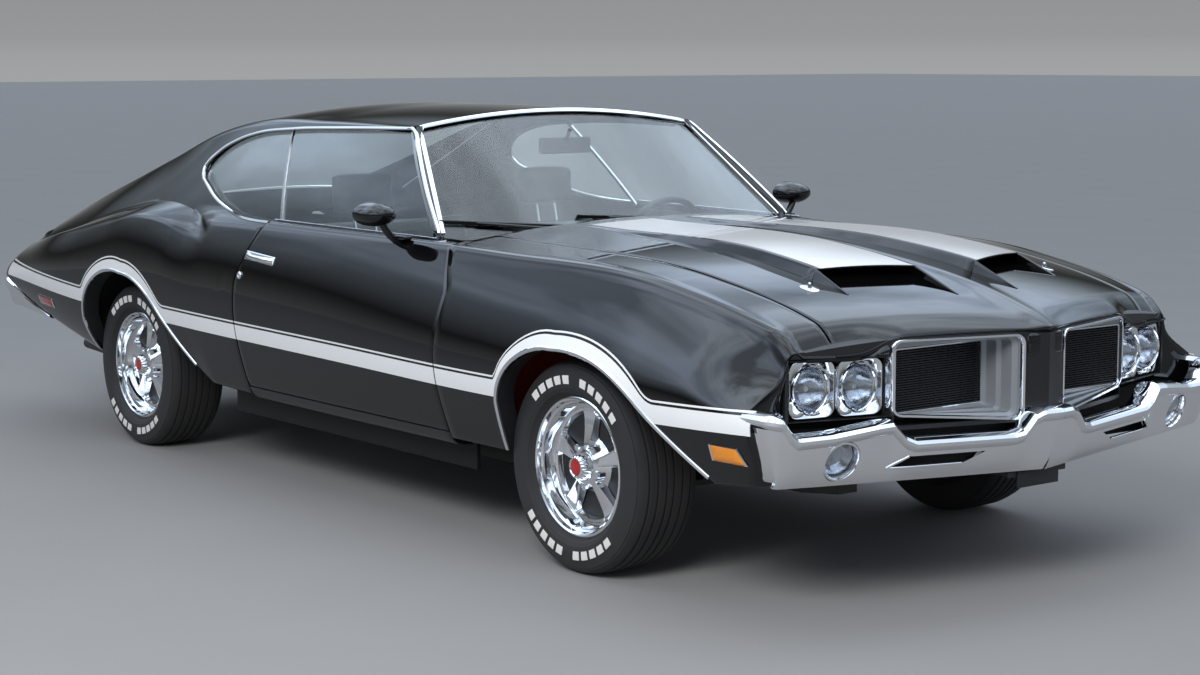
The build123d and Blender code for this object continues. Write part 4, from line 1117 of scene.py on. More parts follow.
@dataclass
class Shell:
    """Rear quarters, sails and roof as one welded shell."""

    seam_bottom: tuple[float, float] = (-0.404 - SEAM, 0.322)
    bottom_z: float = 0.322
    window_low: tuple[tuple[float, float], ...] = (
        (-0.330, 0.936), (-0.457, 0.938), (-0.573, 0.945), (-0.700, 0.965), (-0.819, 0.995), (-0.931, 1.038),
        (-1.023, 1.081))
    window_tip: tuple[float, float] = (-1.034, 1.101)
    window_high: tuple[tuple[float, float], ...] = (
        (-1.025, 1.120), (-0.973, 1.165), (-0.863, 1.211), (-0.747, 1.237), (-0.506, 1.258), (-0.200, 1.268),
        (0.246, 1.276))
    arch: tuple[tuple[float, float], ...] = (
        (-0.750, 0.330), (-0.990, 0.560), (-1.120, 0.655), (-1.280, 0.690), (-1.550, 0.635), (-1.688, 0.470),
        (-1.705, 0.335))
    tail_edge: tuple[tuple[float, float], ...] = (
        (-2.475, 0.592), (-2.400, 0.560), (-2.140, 0.466), (-2.090, 0.452), (-2.000, 0.430), (-1.705, 0.335))
    tail_x: float = TAIL_X + 0.003
    inner_half: float = 0.575
    rail_drop: float = 0.032
    roof_rear_x: float = -0.930
    rows: tuple[int, int, int, int, int] = (28, 8, 14, 12, 10)

    def arch_line(self) -> Points:
        """Return the rear wheel opening's side-view line, front to rear."""
        a = self.arch
        return np.concatenate([
            straight(a[0], a[1], 14), arc(a[1], a[2], a[3], 14), arc(a[3], a[4], a[5], 18),
            straight(a[5], a[6], 8)])

    def bottom(self) -> Points:
        """Return the lower edge's side-view line, front to rear."""
        rear = np.linspace(self.arch[-1][0], self.tail_x, 26)
        edge = np.array(self.tail_edge)
        sill = np.interp(rear, edge[:, 0], edge[:, 1])
        return np.concatenate([
            straight(self.seam_bottom, self.arch[0], 12), self.arch_line(), np.stack([rear, sill], 1)])

    def crease(self, x: float) -> tuple[float, float]:
        """Return the heights of the haunch's edge and root, carried forward to the seam.

        Args:
            x: The station.

        Returns:
            The edge's and the root's height.
        """
        edge, root = float(BODY.haunch["edge_z"](x)), float(BODY.haunch["root_z"](x))
        if x > HAUNCH_TIP_X:
            run = (x - HAUNCH_TIP_X) / (-0.36 - HAUNCH_TIP_X)
            edge, root = 0.822 - 0.045 * run, 0.874 - 0.029 * run
        return edge, max(root, edge + 0.004)

    def low_column(self, x: float, z: float, top: tuple[float, float], seam: float) -> Points:
        """Return points from the lower edge to the foot of the window or its level behind it.

        Args:
            x: The lower end's x.
            z: The lower end's z.
            top: The upper end's x and z.
            seam: 1 on the door's seam, falling to 0 behind it.

        Returns:
            The column's points.
        """
        top_x = top[0]
        edge, root = self.crease(top_x)
        clear = SEAM + 0.070 * (1 - seam)
        edge_x, root_x = (
            min(top_x + seam * (float(line_x(DOOR_REAR, h)) - SEAM - top_x),
                float(line_x(DOOR_REAR, h)) - clear)
            for h in (edge, root))
        a, b, c = self.rows[:3]
        if seam > 0:
            knee = (x, 0.742) if seam == 1 else (min(x + (edge_x - x) * 0.9, DOOR_REAR[1][0] - clear), 0.742)
            rise = draped((x, z), knee, a - 5, BODY.quarter)
            low = stacked(rise, draped(knee, (edge_x, edge), 6, BODY.quarter))
        else:
            low = draped((x, z), (edge_x, edge), a, BODY.quarter)
        return stacked(
            low, draped((edge_x, edge), (root_x, root), b, BODY.quarter),
            draped((root_x, root), (top_x, top[1]), c, BODY.quarter))

    def high_column(self, x: float, z: float) -> Points:
        """Return points from the window's level up and over the rail to the sail's inner edge.

        Args:
            x: The lower end's x.
            z: The lower end's z.

        Returns:
            The column's points.
        """
        rail, rail_z = float(BODY.cabin["rail"](x)), float(BODY.cabin["rail_z"](x))
        start_z = max(min(rail_z - self.rail_drop, z + 0.9 * (rail_z - z)), z + 0.004)
        up = draped((x, z), (x, start_z), self.rows[3], BODY.quarter)
        end_z = float(BODY.roof(np.array(x), np.array(self.inner_half)))
        t = np.linspace(0, 1, self.rows[4])
        corner = rail + 0.004, rail_z + 0.002
        y = (1 - t) ** 2 * up[-1, 1] + 2 * t * (1 - t) * corner[0] + t**2 * self.inner_half
        over_z = (1 - t) ** 2 * start_z + 2 * t * (1 - t) * corner[1] + t**2 * end_z
        return stacked(up, np.stack([np.full(self.rows[4], x), y, over_z], 1))

    def build(self) -> bpy.types.Object:
        """Build and dress the shell."""
        bottom = self.bottom()
        run = np.concatenate([[0], np.cumsum(np.linalg.norm(np.diff(bottom, axis=0), axis=1))])
        share = 0.3 * run / run[-1] + 0.7 * (bottom[:, 0] - bottom[0, 0]) / (bottom[-1, 0] - bottom[0, 0])
        first, last = self.window_low[0][0], self.tail_x
        tops = first + (last - first) * share
        tip = int(np.argmin(np.abs(tops - self.window_tip[0])))
        shift = self.window_tip[0] - tops[tip]
        tops += np.interp(np.arange(len(tops)), (0, tip, len(tops) - 1), (0, shift, 0))
        low_line = smooth_line([*self.window_low, self.window_tip], 200)[::-1]
        under = []
        for i in range(tip + 1):
            level = (tops[i], float(np.interp(tops[i], low_line[:, 0], low_line[:, 1])))
            under.append(self.low_column(*bottom[i], level, max(0.0, 1 - i / 6)))
        rear = []
        for i in range(tip, len(tops)):
            fade = (tops[i] - self.window_tip[0]) / (self.tail_x - self.window_tip[0])
            rail_z = float(BODY.cabin["rail_z"](tops[i]))
            root = self.crease(tops[i])[1]
            level = (1 - fade) * self.window_tip[1] + fade * (root + 0.5 * (rail_z - root))
            level = min(level, root + 0.72 * (rail_z - root))
            low = self.low_column(*bottom[i], (tops[i], level), 0.0)
            rear.append(stacked(low, self.high_column(tops[i], level)))
        behind = np.linspace(self.window_tip[0], self.roof_rear_x, 9)
        xs = np.concatenate([behind, np.linspace(self.roof_rear_x, 0.246, 44)[1:]])
        high_line = smooth_line([self.window_tip, *self.window_high], 300)
        strip = [self.high_column(x, float(np.interp(x, high_line[:, 0], high_line[:, 1]))) for x in xs]
        inside = (None, 0.0, 0.6)
        parts = [Workbench.grid("quarter_low", np.stack(under), inside),
                 Workbench.grid("quarter_rear", np.stack(rear), inside),
                 Workbench.grid("rail_strip", np.stack(strip), inside)]
        tops_line = np.concatenate([np.stack(strip)[8::-1, -1], np.stack(rear)[1:, -1]])
        floor = self.wall_foot(tops_line[:, 0])
        t = np.linspace(0, 1, 6)[None, :, None]
        foot = np.stack([tops_line[:, 0], tops_line[:, 1] - 0.003,
                         np.minimum(floor, tops_line[:, 2] - 0.001)], 1)
        wall = tops_line[:, None] * (1 - t) + foot[:, None] * t
        parts.append(Workbench.grid("sail_wall", wall, (None, 2.0, 1.0)))
        half = Workbench.join("shell_half", parts, weld=0.0004)
        other = Workbench.mirrored(half, "shell_other")
        y = np.linspace(self.inner_half, -self.inner_half, 37)
        grid_x = xs[8:, None] + 0 * y
        roof = np.stack([grid_x, y + 0 * grid_x, BODY.roof(grid_x, y)], -1)
        top = Workbench.grid("roof_top", roof, (None, None, -9.0))
        shell = Workbench.join("body_shell", [half, other, top], weld=0.0004)
        Workbench.sheet_metal(shell, wall=0.012, edge=0.002)
        return dress(shell, "root", BLACK_PAINT, ["quarter_left", "quarter_right", "roof"])

    def wall_foot(self, x: np.ndarray) -> np.ndarray:
        """Return the foot of the sail's inner wall.

        Args:
            x: Places along the body.

        Returns:
            Its height at each place.
        """
        stations = np.array([self.tail_x, DECK_REAR_X, DECK_FRONT_X, -1.642, self.roof_rear_x])
        heights = np.array([0.815, float(BODY.top(np.array(DECK_REAR_X), np.array(0.575))) - 0.02, 0.935,
                            0.965, 1.300])
        return np.interp(x, stations, heights)


@dataclass
class Hood:
    """Hood panel with its two scoops."""

    half: float = HOOD_HALF - SEAM
    rear_x: float = COWL_X + 0.006
    columns: int = 84
    rows: int = 97
    scoop_rear_x: float = 0.850
    scoop_rear: tuple[float, float] = (0.070, 0.345)
    scoop_front: tuple[float, float] = (0.124, 0.422)
    top_front_x: tuple[float, float] = (2.130, 2.030)
    mouth_x: tuple[float, float] = (2.295, 2.170)
    mouth_z: tuple[float, float] = (0.849, 0.847)
    rise: float = 0.034
    bevel: float = 0.020

    def surface(self, x: np.ndarray, y: np.ndarray) -> np.ndarray:
        """Return the hood's height, with a faint centre ridge."""
        ridge = 0.006 * np.exp(-((np.abs(y) / 0.035) ** 2)) * ease(x, 0.9, 1.4)
        return BODY.top(x, y) + ridge

    def panel(self) -> bpy.types.Object:
        """Make the hood skin."""
        y = np.linspace(-self.half, self.half, self.rows)[None, :]
        front = nose_x(y) + 0.002
        u = np.linspace(0, 1, self.columns)[:, None]
        u = np.where(u < 0.7, u / 0.7 * 0.86, 0.86 + (u - 0.7) / 0.3 * 0.14)
        x = self.rear_x + (front - self.rear_x) * u
        points = np.stack([x, y + 0 * x, self.surface(x, y + 0 * x)], -1)
        return Workbench.sheet_metal(Workbench.grid("hood_skin", points, (None, None, -9.0)), wall=0.016)

    def scoop(self) -> tuple[bpy.types.Object, bpy.types.Object, bpy.types.Object]:
        """Make the left scoop's black shell, its white top and its dark mouth."""
        s = np.linspace(0, 1, 40)[:, None]
        inner_x = self.scoop_rear_x + (self.top_front_x[0] - self.scoop_rear_x) * s
        outer_x = self.scoop_rear_x + (self.top_front_x[1] - self.scoop_rear_x) * s
        inner = self.scoop_rear[0] + (self.scoop_front[0] - self.scoop_rear[0]) * s
        outer = self.scoop_rear[1] + (self.scoop_front[1] - self.scoop_rear[1]) * s
        v = np.linspace(0, 1, 19)[None, :]
        x, y = inner_x + (outer_x - inner_x) * v, inner + (outer - inner) * v
        lift = self.rise * ease(s, -0.1, 1.05) * (0.92 + 0.32 * v * (1 - v))
        z = self.surface(x, y) + lift + 0.0015
        top = np.stack([x, y, z], -1)

        def skirt(edge: Points, out: float) -> Points:
            """Return a bevelled wall from an edge of the top down into the hood.

            Args:
                edge: The edge of the top.
                out: How far the wall's foot stands out.

            Returns:
                The wall's points.
            """
            low = edge + np.array([0.0, out, 0.0])
            low[:, 2] = self.surface(low[:, 0], low[:, 1]) - 0.004
            t = np.linspace(0, 1, 5)[None, :, None]
            return edge[:, None] * (1 - t) + low[:, None] * t

        spread = self.bevel
        parts = [Workbench.grid("top", top, (None, None, -9.0)),
                 Workbench.grid("in", skirt(top[:, 0], -spread), (None, 0.26, 0.5)),
                 Workbench.grid("out", skirt(top[:, -1], spread), (None, 0.26, 0.5))]
        lip_low = np.array([[self.mouth_x[0], self.scoop_front[0] - spread * 0.2, self.mouth_z[0]],
                            [self.mouth_x[1], self.scoop_front[1] + spread * 0.6, self.mouth_z[1]]])
        shell = Workbench.join("scoop", parts, weld=0.0003)
        Workbench.sheet_metal(shell, wall=0.006, edge=0.0015)
        cheeks = []
        for edge, foot in ((top[-1, 0], lip_low[0]), (top[-1, -1], lip_low[1])):
            foot_z = float(self.surface(foot[0], foot[1])) - 0.004
            base = np.array([edge[0] - 0.05, edge[1] + (spread if foot[1] > 0.3 else -spread), 0.0])
            base[2] = float(self.surface(base[0], base[1])) - 0.004
            tip = np.array([foot[0], foot[1], foot_z])
            u = np.linspace(0, 1, 14)[:, None, None]
            w = np.linspace(0, 1, 5)[None, :, None]
            upper = edge * (1 - u) + (tip + [0, 0, 0.006]) * u
            lower = base * (1 - u) + (tip + [0.004, 0, -0.002]) * u
            cheeks.append(Workbench.grid("cheek", upper * (1 - w) + lower * w, (None, 0.26, 0.5)))
        for cheek in cheeks:
            Workbench.sheet_metal(cheek, wall=0.007, edge=0.0012)
        u = np.linspace(0, 1, 12)[:, None, None]
        w = np.linspace(0, 1, 15)[None, :, None]
        low_edge = lip_low[0] * (1 - w) + lip_low[1] * w
        back_edge = top[-1, 0] * (1 - w) + top[-1, -1] * w + np.array([-0.11, 0, -0.024])
        floor = Workbench.grid("floor", low_edge * (1 - u) + back_edge * u, (None, None, -9.0))
        Workbench.sheet_metal(floor, wall=0.006, edge=0)
        shell = Workbench.join("scoop_shell", [shell, *cheeks])
        inset = 0.012
        keep = top[1:, :].copy()
        width = keep[:, -1, 1] - keep[:, 0, 1]
        margin = inset / width[:, None]
        fraction = np.linspace(0, 1, keep.shape[1])[None, :] * (1 - 2 * margin) + margin
        lines = []
        for row, at in zip(keep, fraction):
            lines.append(np.stack([
                np.interp(at, np.linspace(0, 1, len(row)), row[:, i]) for i in range(3)], 1))
        stripe = np.stack(lines)
        stripe[..., 2] += 0.0008
        white = Workbench.grid("scoop_white", stripe, (None, None, -9.0))
        Workbench.apply(white, "SOLIDIFY", thickness=0.0012, offset=-1.0)
        Workbench.smooth(white)
        return shell, white, floor

    def build(self) -> None:
        """Build and dress the hood."""
        dress(self.panel(), "hood", BLACK_PAINT, ["hood"])
        names = ("hood_scoop", "hood_stripe", "scoop_mouth")
        finishes = (BLACK_PAINT, WHITE_PAINT, MATT_BLACK)
        slots = ("body_paint", "body_paint", "satin_black")
        for piece, name, finish, slot in zip(self.scoop(), names, finishes, slots):
            dress_both(piece, name, "hood", finish)


@dataclass
class DeckLid:
    """Trunk lid between the sails."""

    half: float = DECK_HALF - 0.003
    front_x: float = DECK_FRONT_X - 0.005
    rear_x: float = DECK_REAR_X

    def build(self) -> None:
        """Build and dress the lid."""
        x = np.linspace(self.front_x, self.rear_x, 44)[:, None]
        y = np.linspace(-self.half, self.half, 61)[None, :]
        grid_x, grid_y = x + 0 * y, y + 0 * x
        roll = 0.020 * ease(-grid_x, 2.36, 2.44) ** 2
        points = np.stack([grid_x, grid_y, BODY.top(grid_x, grid_y) - roll], -1)
        lid = Workbench.sheet_metal(Workbench.grid("trunk_lid", points, (None, None, -9.0)), wall=0.014)
        dress(lid, "deck_lid", BLACK_PAINT, ["deck_lid"])


@dataclass
class Wheel:
    """One wheel: tyre, stepped rim, spokes, cap and nuts."""

    name: str
    centre: tuple[float, float, float]
    side: Side
    radius: float = TYRE_RADIUS
    width: float = TYRE_WIDTH
    lip: float = RIM_LIP_RADIUS
    rim_half: float = RIM_WIDTH / 2
    dish: float = 0.042
    spokes: int = 5
    marks: int = 11

    def axis(self) -> Vector:
        """Return the outward axle direction."""
        return Vector((0, self.side.value, 0))

    def tyre(self) -> bpy.types.Object:
        """Make the tyre with its tread grooves and sidewall ribs."""
        r, w, lip = self.radius, self.width / 2, self.lip
        half = [(r, 0.0), (r, 0.008), (r - 0.007, 0.010), (r - 0.007, 0.016), (r, 0.018), (r - 0.0005, 0.040),
                (r - 0.007, 0.042), (r - 0.007, 0.048), (r - 0.001, 0.050), (r - 0.002, 0.070),
                (r - 0.009, 0.072), (r - 0.009, 0.078), (r - 0.004, 0.080), (r - 0.008, 0.096),
                (r - 0.016, 0.106), (r - 0.020, 0.1065), (r - 0.021, 0.1095), (r - 0.040, 0.1150),
                (r - 0.056, w - 0.0008), (r - 0.070, w), (r - 0.086, w - 0.002), (r - 0.088, w - 0.0035),
                (r - 0.096, w - 0.007), (lip + 0.010, 0.101), (lip + 0.004, 0.094), (lip - 0.006, 0.090),
                (lip - 0.014, 0.080)]
        profile = half + [(a, -b) for a, b in reversed(half[1:])]
        piece = Workbench.turned(f"{self.name}_tyre", profile, self.centre, self.axis(), 128, 28)
        return piece

    def lettering(self) -> bpy.types.Object:
        """Make the raised white marks on the outer sidewall, plain bars with no letters."""
        blocks = []
        for start in (math.radians(38), math.radians(38) + math.pi):
            for i in range(self.marks):
                if i == self.marks // 2:
                    continue
                turn = start + i * math.radians(9.0)
                wide = math.radians(6.2)
                cells = []
                for a in np.linspace(turn, turn + wide, 5):
                    for rr, out in ((0.2475, 0.1168), (0.2640, 0.1188), (0.2730, 0.1183)):
                        cells.append((rr, out, a))
                blocks.append(np.array(cells).reshape(5, 3, 3))
        pieces = []
        for block in blocks:
            rr, out, a = block[..., 0], block[..., 1], block[..., 2]
            points = np.stack([self.centre[0] + rr * np.cos(a), self.centre[1] + self.side.value * out,
                               self.centre[2] + rr * np.sin(a)], -1)
            pieces.append(Workbench.grid("mark", points, (self.centre[0], 0.0, self.centre[2])))
        piece = Workbench.join(f"{self.name}_marks", pieces)
        Workbench.apply(piece, "SOLIDIFY", thickness=0.0025, offset=0.2)
        Workbench.apply(piece, "BEVEL", width=0.0004, segments=1, limit_method="ANGLE")
        return Workbench.smooth(piece)

    def rim(self) -> bpy.types.Object:
        """Make the stepped outer rim and barrel."""
        lip, w = self.lip, self.rim_half
        profile = [
            (lip, w), (lip + 0.0035, w - 0.003), (lip + 0.0035, w - 0.010), (lip - 0.006, w - 0.012),
            (lip - 0.008, w - 0.03), (lip - 0.030, w - 0.05), (lip - 0.032, -w + 0.05),
            (lip - 0.008, -w + 0.03), (lip - 0.006, -w + 0.012), (lip + 0.0035, -w + 0.010),
            (lip + 0.0035, -w + 0.003), (lip, -w), (lip - 0.004, -w + 0.002), (lip - 0.012, -w + 0.02),
            (lip - 0.014, -w + 0.03), (lip - 0.037, -w + 0.052), (lip - 0.036, w - 0.060),
            (lip - 0.033, w - 0.056), (lip - 0.022, w - 0.034), (lip - 0.020, w - 0.018),
            (lip - 0.014, w - 0.014), (lip - 0.011, w - 0.002), (lip - 0.006, w + 0.001)]
        return Workbench.turned(f"{self.name}_rim", profile, self.centre, self.axis(), 112, 34)

    def spoke_face(self) -> tuple[bpy.types.Object, bpy.types.Object]:
        """Make the five-spoke face and the dark pockets between the spokes."""
        out = self.rim_half
        around = np.linspace(0, 2 * math.pi, self.spokes * 36, endpoint=False)
        phase = (around * self.spokes / (2 * math.pi)) % 1.0
        spoke = np.minimum(phase, 1 - phase) * 2
        wide = 1 - ease(spoke, 0.27, 0.36)
        radii = np.array([0.036, 0.052, 0.060, 0.068, 0.090, 0.115, 0.138, 0.152, 0.162, 0.170, 0.1755])
        rise = np.array([0.014, 0.012, 0.006, 0.004, 0.000, -0.004, -0.007, -0.008, -0.006, -0.010, -0.022])
        pocket = np.array([0.014, 0.012, 0.004, -0.014, -0.034, -0.040, -0.042, -0.038, -0.012, -0.010,
                           -0.022])
        depth = rise[None, :] * wide[:, None] + pocket[None, :] * (1 - wide[:, None]) + out - self.dish
        rings = []
        for i, r in enumerate(radii):
            rings.append(np.stack([
                self.centre[0] + r * np.cos(around + math.pi / 2),
                self.centre[1] + self.side.value * depth[:, i],
                self.centre[2] + r * np.sin(around + math.pi / 2)], 1))
        points = np.stack(rings)
        piece = Workbench.from_rings(f"{self.name}_face", points, capped=False)
        inner = (self.centre[0], self.centre[1] - self.side.value * 3, self.centre[2])
        Workbench.face_away(piece, inner)
        Workbench.apply(piece, "SOLIDIFY", thickness=0.010, offset=-1.0)
        Workbench.smooth(piece, 30)
        dark = []
        for i in range(self.spokes):
            centre_turn = (i + 0.5) / self.spokes * 2 * math.pi + math.pi / 2
            half = math.radians(24.0)
            a = np.linspace(centre_turn - half, centre_turn + half, 15)[:, None]
            r = np.linspace(0.066, 0.157, 9)[None, :]
            a = centre_turn + (a - centre_turn) * (0.78 + 0.22 * (r - 0.066) / 0.091)
            points = np.stack([
                self.centre[0] + r * np.cos(a), self.centre[1] + self.side.value * (out - self.dish - 0.026)
                + 0 * r * a, self.centre[2] + r * np.sin(a)], -1)
            dark.append(Workbench.grid("pocket", points, inner))
        pockets = Workbench.join(f"{self.name}_pockets", dark)
        Workbench.apply(pockets, "SOLIDIFY", thickness=0.006, offset=-1.0)
        return piece, Workbench.smooth(pockets)

    def cap(self) -> tuple[bpy.types.Object, bpy.types.Object]:
        """Make the fluted centre cap and its plain red middle."""
        out = self.rim_half - self.dish
        around = np.linspace(0, 2 * math.pi, 160, endpoint=False)
        flute = 0.5 + 0.5 * np.cos(around * 20)
        rings = []
        for r, a, depth in ((0.044, 0.010, 0.0), (0.044, 0.020, 0.0), (0.041, 0.030, 0.0028),
                            (0.036, 0.040, 0.003), (0.031, 0.046, 0.002), (0.027, 0.047, 0.0),
                            (0.024, 0.044, 0.0)):
            rr = r - depth * flute
            rings.append(np.stack([
                self.centre[0] + rr * np.cos(around),
                np.full_like(around, self.centre[1] + self.side.value * (out + a)),
                self.centre[2] + rr * np.sin(around)], 1))
        cap = Workbench.smooth(Workbench.from_rings(f"{self.name}_cap", np.stack(rings)), 40)
        middle = Workbench.turned(
            f"{self.name}_cap_middle", [(0.0, out + 0.043), (0.0238, out + 0.043), (0.0238, out + 0.0455),
                                        (0.014, out + 0.048),
                                        (0.0, out + 0.049)], self.centre, self.axis(), 48)
        return cap, middle

    def nuts(self) -> bpy.types.Object:
        """Make the wheel nuts in the pockets."""
        pieces = []
        for i in range(self.spokes):
            turn = (i + 0.5) / self.spokes * 2 * math.pi + math.pi / 2
            bpy.ops.object.select_all(action="DESELECT")
            bpy.ops.mesh.primitive_cylinder_add(vertices=6, radius=0.0115, depth=0.030)
            nut = bpy.context.object
            nut.data.transform(Matrix.Rotation(math.pi / 2, 4, "X"))
            nut.data.transform(Matrix.Translation((
                self.centre[0] + 0.062 * math.cos(turn),
                self.centre[1] + self.side.value * (self.rim_half - self.dish),
                self.centre[2] + 0.062 * math.sin(turn))))
            pieces.append(Workbench.apply(nut, "BEVEL", width=0.002, segments=2, limit_method="ANGLE"))
        return Workbench.smooth(Workbench.join(f"{self.name}_nuts", pieces))

    def build(self) -> None:
        """Build and dress the wheel."""
        body = f"wheel_{self.name}"
        dress(self.tyre(), body, TYRE_RUBBER, [f"tyre_{self.name}"])
        dress(self.lettering(), body, MARK_WHITE)
        dress(self.rim(), body, CHROME, [f"rim_{self.name}"])
        face, pockets = self.spoke_face()
        dress(face, body, CHROME)
        dress(pockets, body, SATIN_BLACK)
        cap, middle = self.cap()
        dress(cap, body, CHROME)
        dress(middle, body, Finish("cap_red", (0.35, 0.01, 0.012), 0.25, coat=0.6))
        dress(self.nuts(), body, CHROME)


def on_skin(x: np.ndarray, z: np.ndarray, skin: Callable[..., np.ndarray], out: float = 0.0) -> Points:
    """Return points on the left side of a skin, moved outward a little."""
    x, z = np.broadcast_arrays(np.asarray(x, float), np.asarray(z, float))
    return np.stack([x, skin(x, z) + out, z], -1)


@dataclass
class SideTrim:
    """Rockers, side stripes with their pinstripes, and the wheel opening mouldings."""

    top_line: tuple[tuple[float, float], ...] = (
        (-2.45, 0.652), (-2.306, 0.646), (-1.627, 0.604), (-0.861, 0.583), (0.30, 0.566), (1.172, 0.556),
        (2.019, 0.573), (2.33, 0.584))
    band: float = 0.053
    over_arch: float = 0.046
    gap: float = 0.0075
    pin: float = 0.0055
    out: float = 0.0014
    rows: int = 5

    def heights(self, x: np.ndarray) -> tuple[np.ndarray, np.ndarray]:
        """Return the lower and upper edge of the white band.

        Args:
            x: Places along the body.

        Returns:
            Lower and upper height at each place.
        """
        line = np.array(self.top_line)
        top = curve_through(line[:, 0], line[:, 1])(x)
        low = top - self.band
        fender, shell = Fenders(), Shell()
        for arch in (fender.arch()[8:], np.concatenate([shell.arch_line(), [shell.arch[-1]]])[:-8][::-1]):
            arch = arch[np.argsort(arch[:, 0])]
            opening = np.interp(x, arch[:, 0], arch[:, 1], left=-1, right=-1)
            low = np.maximum(low, opening + 0.004)
            top = -soft_min(-top, -(opening + self.over_arch), 0.02)
        return low, top

    def strip(self, name: str, x: np.ndarray, low: np.ndarray, high: np.ndarray,
              skin: Callable) -> bpy.types.Object:
        """Lay one thin strip of paint on the skin.

        Args:
            name: The strip's name.
            x: Places along the body.
            low: Its lower edge.
            high: Its upper edge.
            skin: Half width from x and z.

        Returns:
            The strip.
        """
        v = np.linspace(0, 1, self.rows)[None, :]
        z = low[:, None] + (high - low)[:, None] * v
        grid = Workbench.grid(name, on_skin(x[:, None] + 0 * v, z, skin, self.out), (None, 0.0, 0.5))
        Workbench.apply(grid, "SOLIDIFY", thickness=self.out + 0.001, offset=-1.0)
        return Workbench.smooth(grid)

    def stripes(self) -> None:
        """Lay the band and the pinstripe on fender, door and quarter."""
        spans = (
            ("fender", "root", 0.868 + SEAM + 0.001, 2.322, BODY.flank),
            ("door", "door_*", -0.404 + SEAM + 0.001, 0.868 - SEAM - 0.001, BODY.flank),
            ("quarter", "root", TAIL_X + 0.03, -0.404 - SEAM - 0.001, BODY.quarter))
        for name, body, start, end, skin in spans:
            x = np.linspace(start, end, max(24, int((end - start) / 0.012)))
            low, high = self.heights(x)
            base = high + self.gap
            band = self.strip("band", x, low, high, skin)
            parts = (band, self.strip("pin", x, base, base + self.pin, skin))
            piece = Workbench.join(f"{name}_stripe", parts)
            dress_both(piece, f"{name}_stripe", body, WHITE_PAINT)

    def rocker(self) -> None:
        """Make the rocker panels under the doors."""
        x = np.linspace(-0.4035, 0.8675, 40)[:, None]
        drop = np.array([0.3475, 0.338, 0.326, 0.315, 0.307, 0.302, 0.300])[None, :]
        inward = np.array([0.0, 0.0, 0.001, 0.006, 0.016, 0.034, 0.075])[None, :]
        z = drop + 0 * x
        points = np.stack([x + 0 * drop, BODY.flank(x + 0 * drop, np.maximum(z, 0.312)) - inward, z], -1)
        piece = Workbench.sheet_metal(Workbench.grid("rocker", points, (None, 0.0, 0.6)), wall=0.008)
        dress_both(piece, "rocker", "root", LOWER_BLACK)

    def mouldings(self) -> None:
        """Make the bright mouldings round the wheel openings."""
        lines = {
            "front": (Fenders().arch(), BODY.flank), "rear": (Shell().arch_line()[3:], BODY.quarter)}
        section = [(-0.0065, -0.004), (0.0065, -0.004), (0.0065, 0.002), (0.004, 0.0045), (-0.004, 0.0045),
                   (-0.0065, 0.002)]
        for name, (line, skin) in lines.items():
            smooth = spaced(line, 90)
            path = on_skin(smooth[:, 0], smooth[:, 1] + 0.005, skin, 0.001)
            strip = Workbench.sweep("moulding", path, (0, 1, 0), section)
            dress_both(strip, f"{name}_arch_moulding", "root", CHROME)
        for name, (line, skin) in lines.items():
            edge = spaced(line, 70)
            t = np.linspace(0, 1, 6)[None, :, None]
            outer = on_skin(edge[:, 0], edge[:, 1], skin, -0.006)
            inner = outer - np.array([0.0, 0.060, 0.0])
            lip = Workbench.grid("lip", outer[:, None] * (1 - t) + inner[:, None] * t, (None, None, 9.0))
            Workbench.sheet_metal(lip, wall=0.003, edge=0)
            dress_both(lip, f"{name}_arch_lip", "root", SATIN_BLACK)

    def build(self) -> None:
        """Build and dress all the side trim."""
        self.stripes()
        self.rocker()
        self.mouldings()


def rounded_loop(y: tuple[float, float], z: tuple[float, float], radius: float, slope: float = 0.0,
                 per_corner: int = 6, per_side: int = 8) -> Points:
    """Return a rounded rectangle as (y, z) points, from the low inner corner on.

    Args:
        y: Low and high half width.
        z: Low and high height at mid width.
        radius: Corner radius.
        slope: Rise of the lower edge with y.
        per_corner: Points in each corner.
        per_side: Points on each straight side.

    Returns:
        The loop's points.
    """
    mid = (y[0] + y[1]) / 2
    corners = [(y[0], z[0], math.pi), (y[1], z[0], 1.5 * math.pi), (y[1], z[1], 0.0),
               (y[0], z[1], 0.5 * math.pi)]
    points = []
    for i, (cy, cz, start) in enumerate(corners):
        oy, oz = cy + (radius if i in (0, 3) else -radius), cz + (radius if i < 2 else -radius)
        turns = start + np.linspace(0, math.pi / 2, per_corner)
        corner = np.stack([oy + radius * np.cos(turns), oz + radius * np.sin(turns)], 1)
        points.append(corner)
    loop = []
    for i, corner in enumerate(points):
        following = points[(i + 1) % 4][0]
        loop.append(corner)
        loop.append(np.linspace(corner[-1], following, per_side + 2)[1:-1])
    loop = np.concatenate(loop)
    low = np.clip((z[1] - loop[:, 1]) / (z[1] - z[0]), 0, 1)
    loop[:, 1] += slope * (loop[:, 0] - mid) * low
    return loop


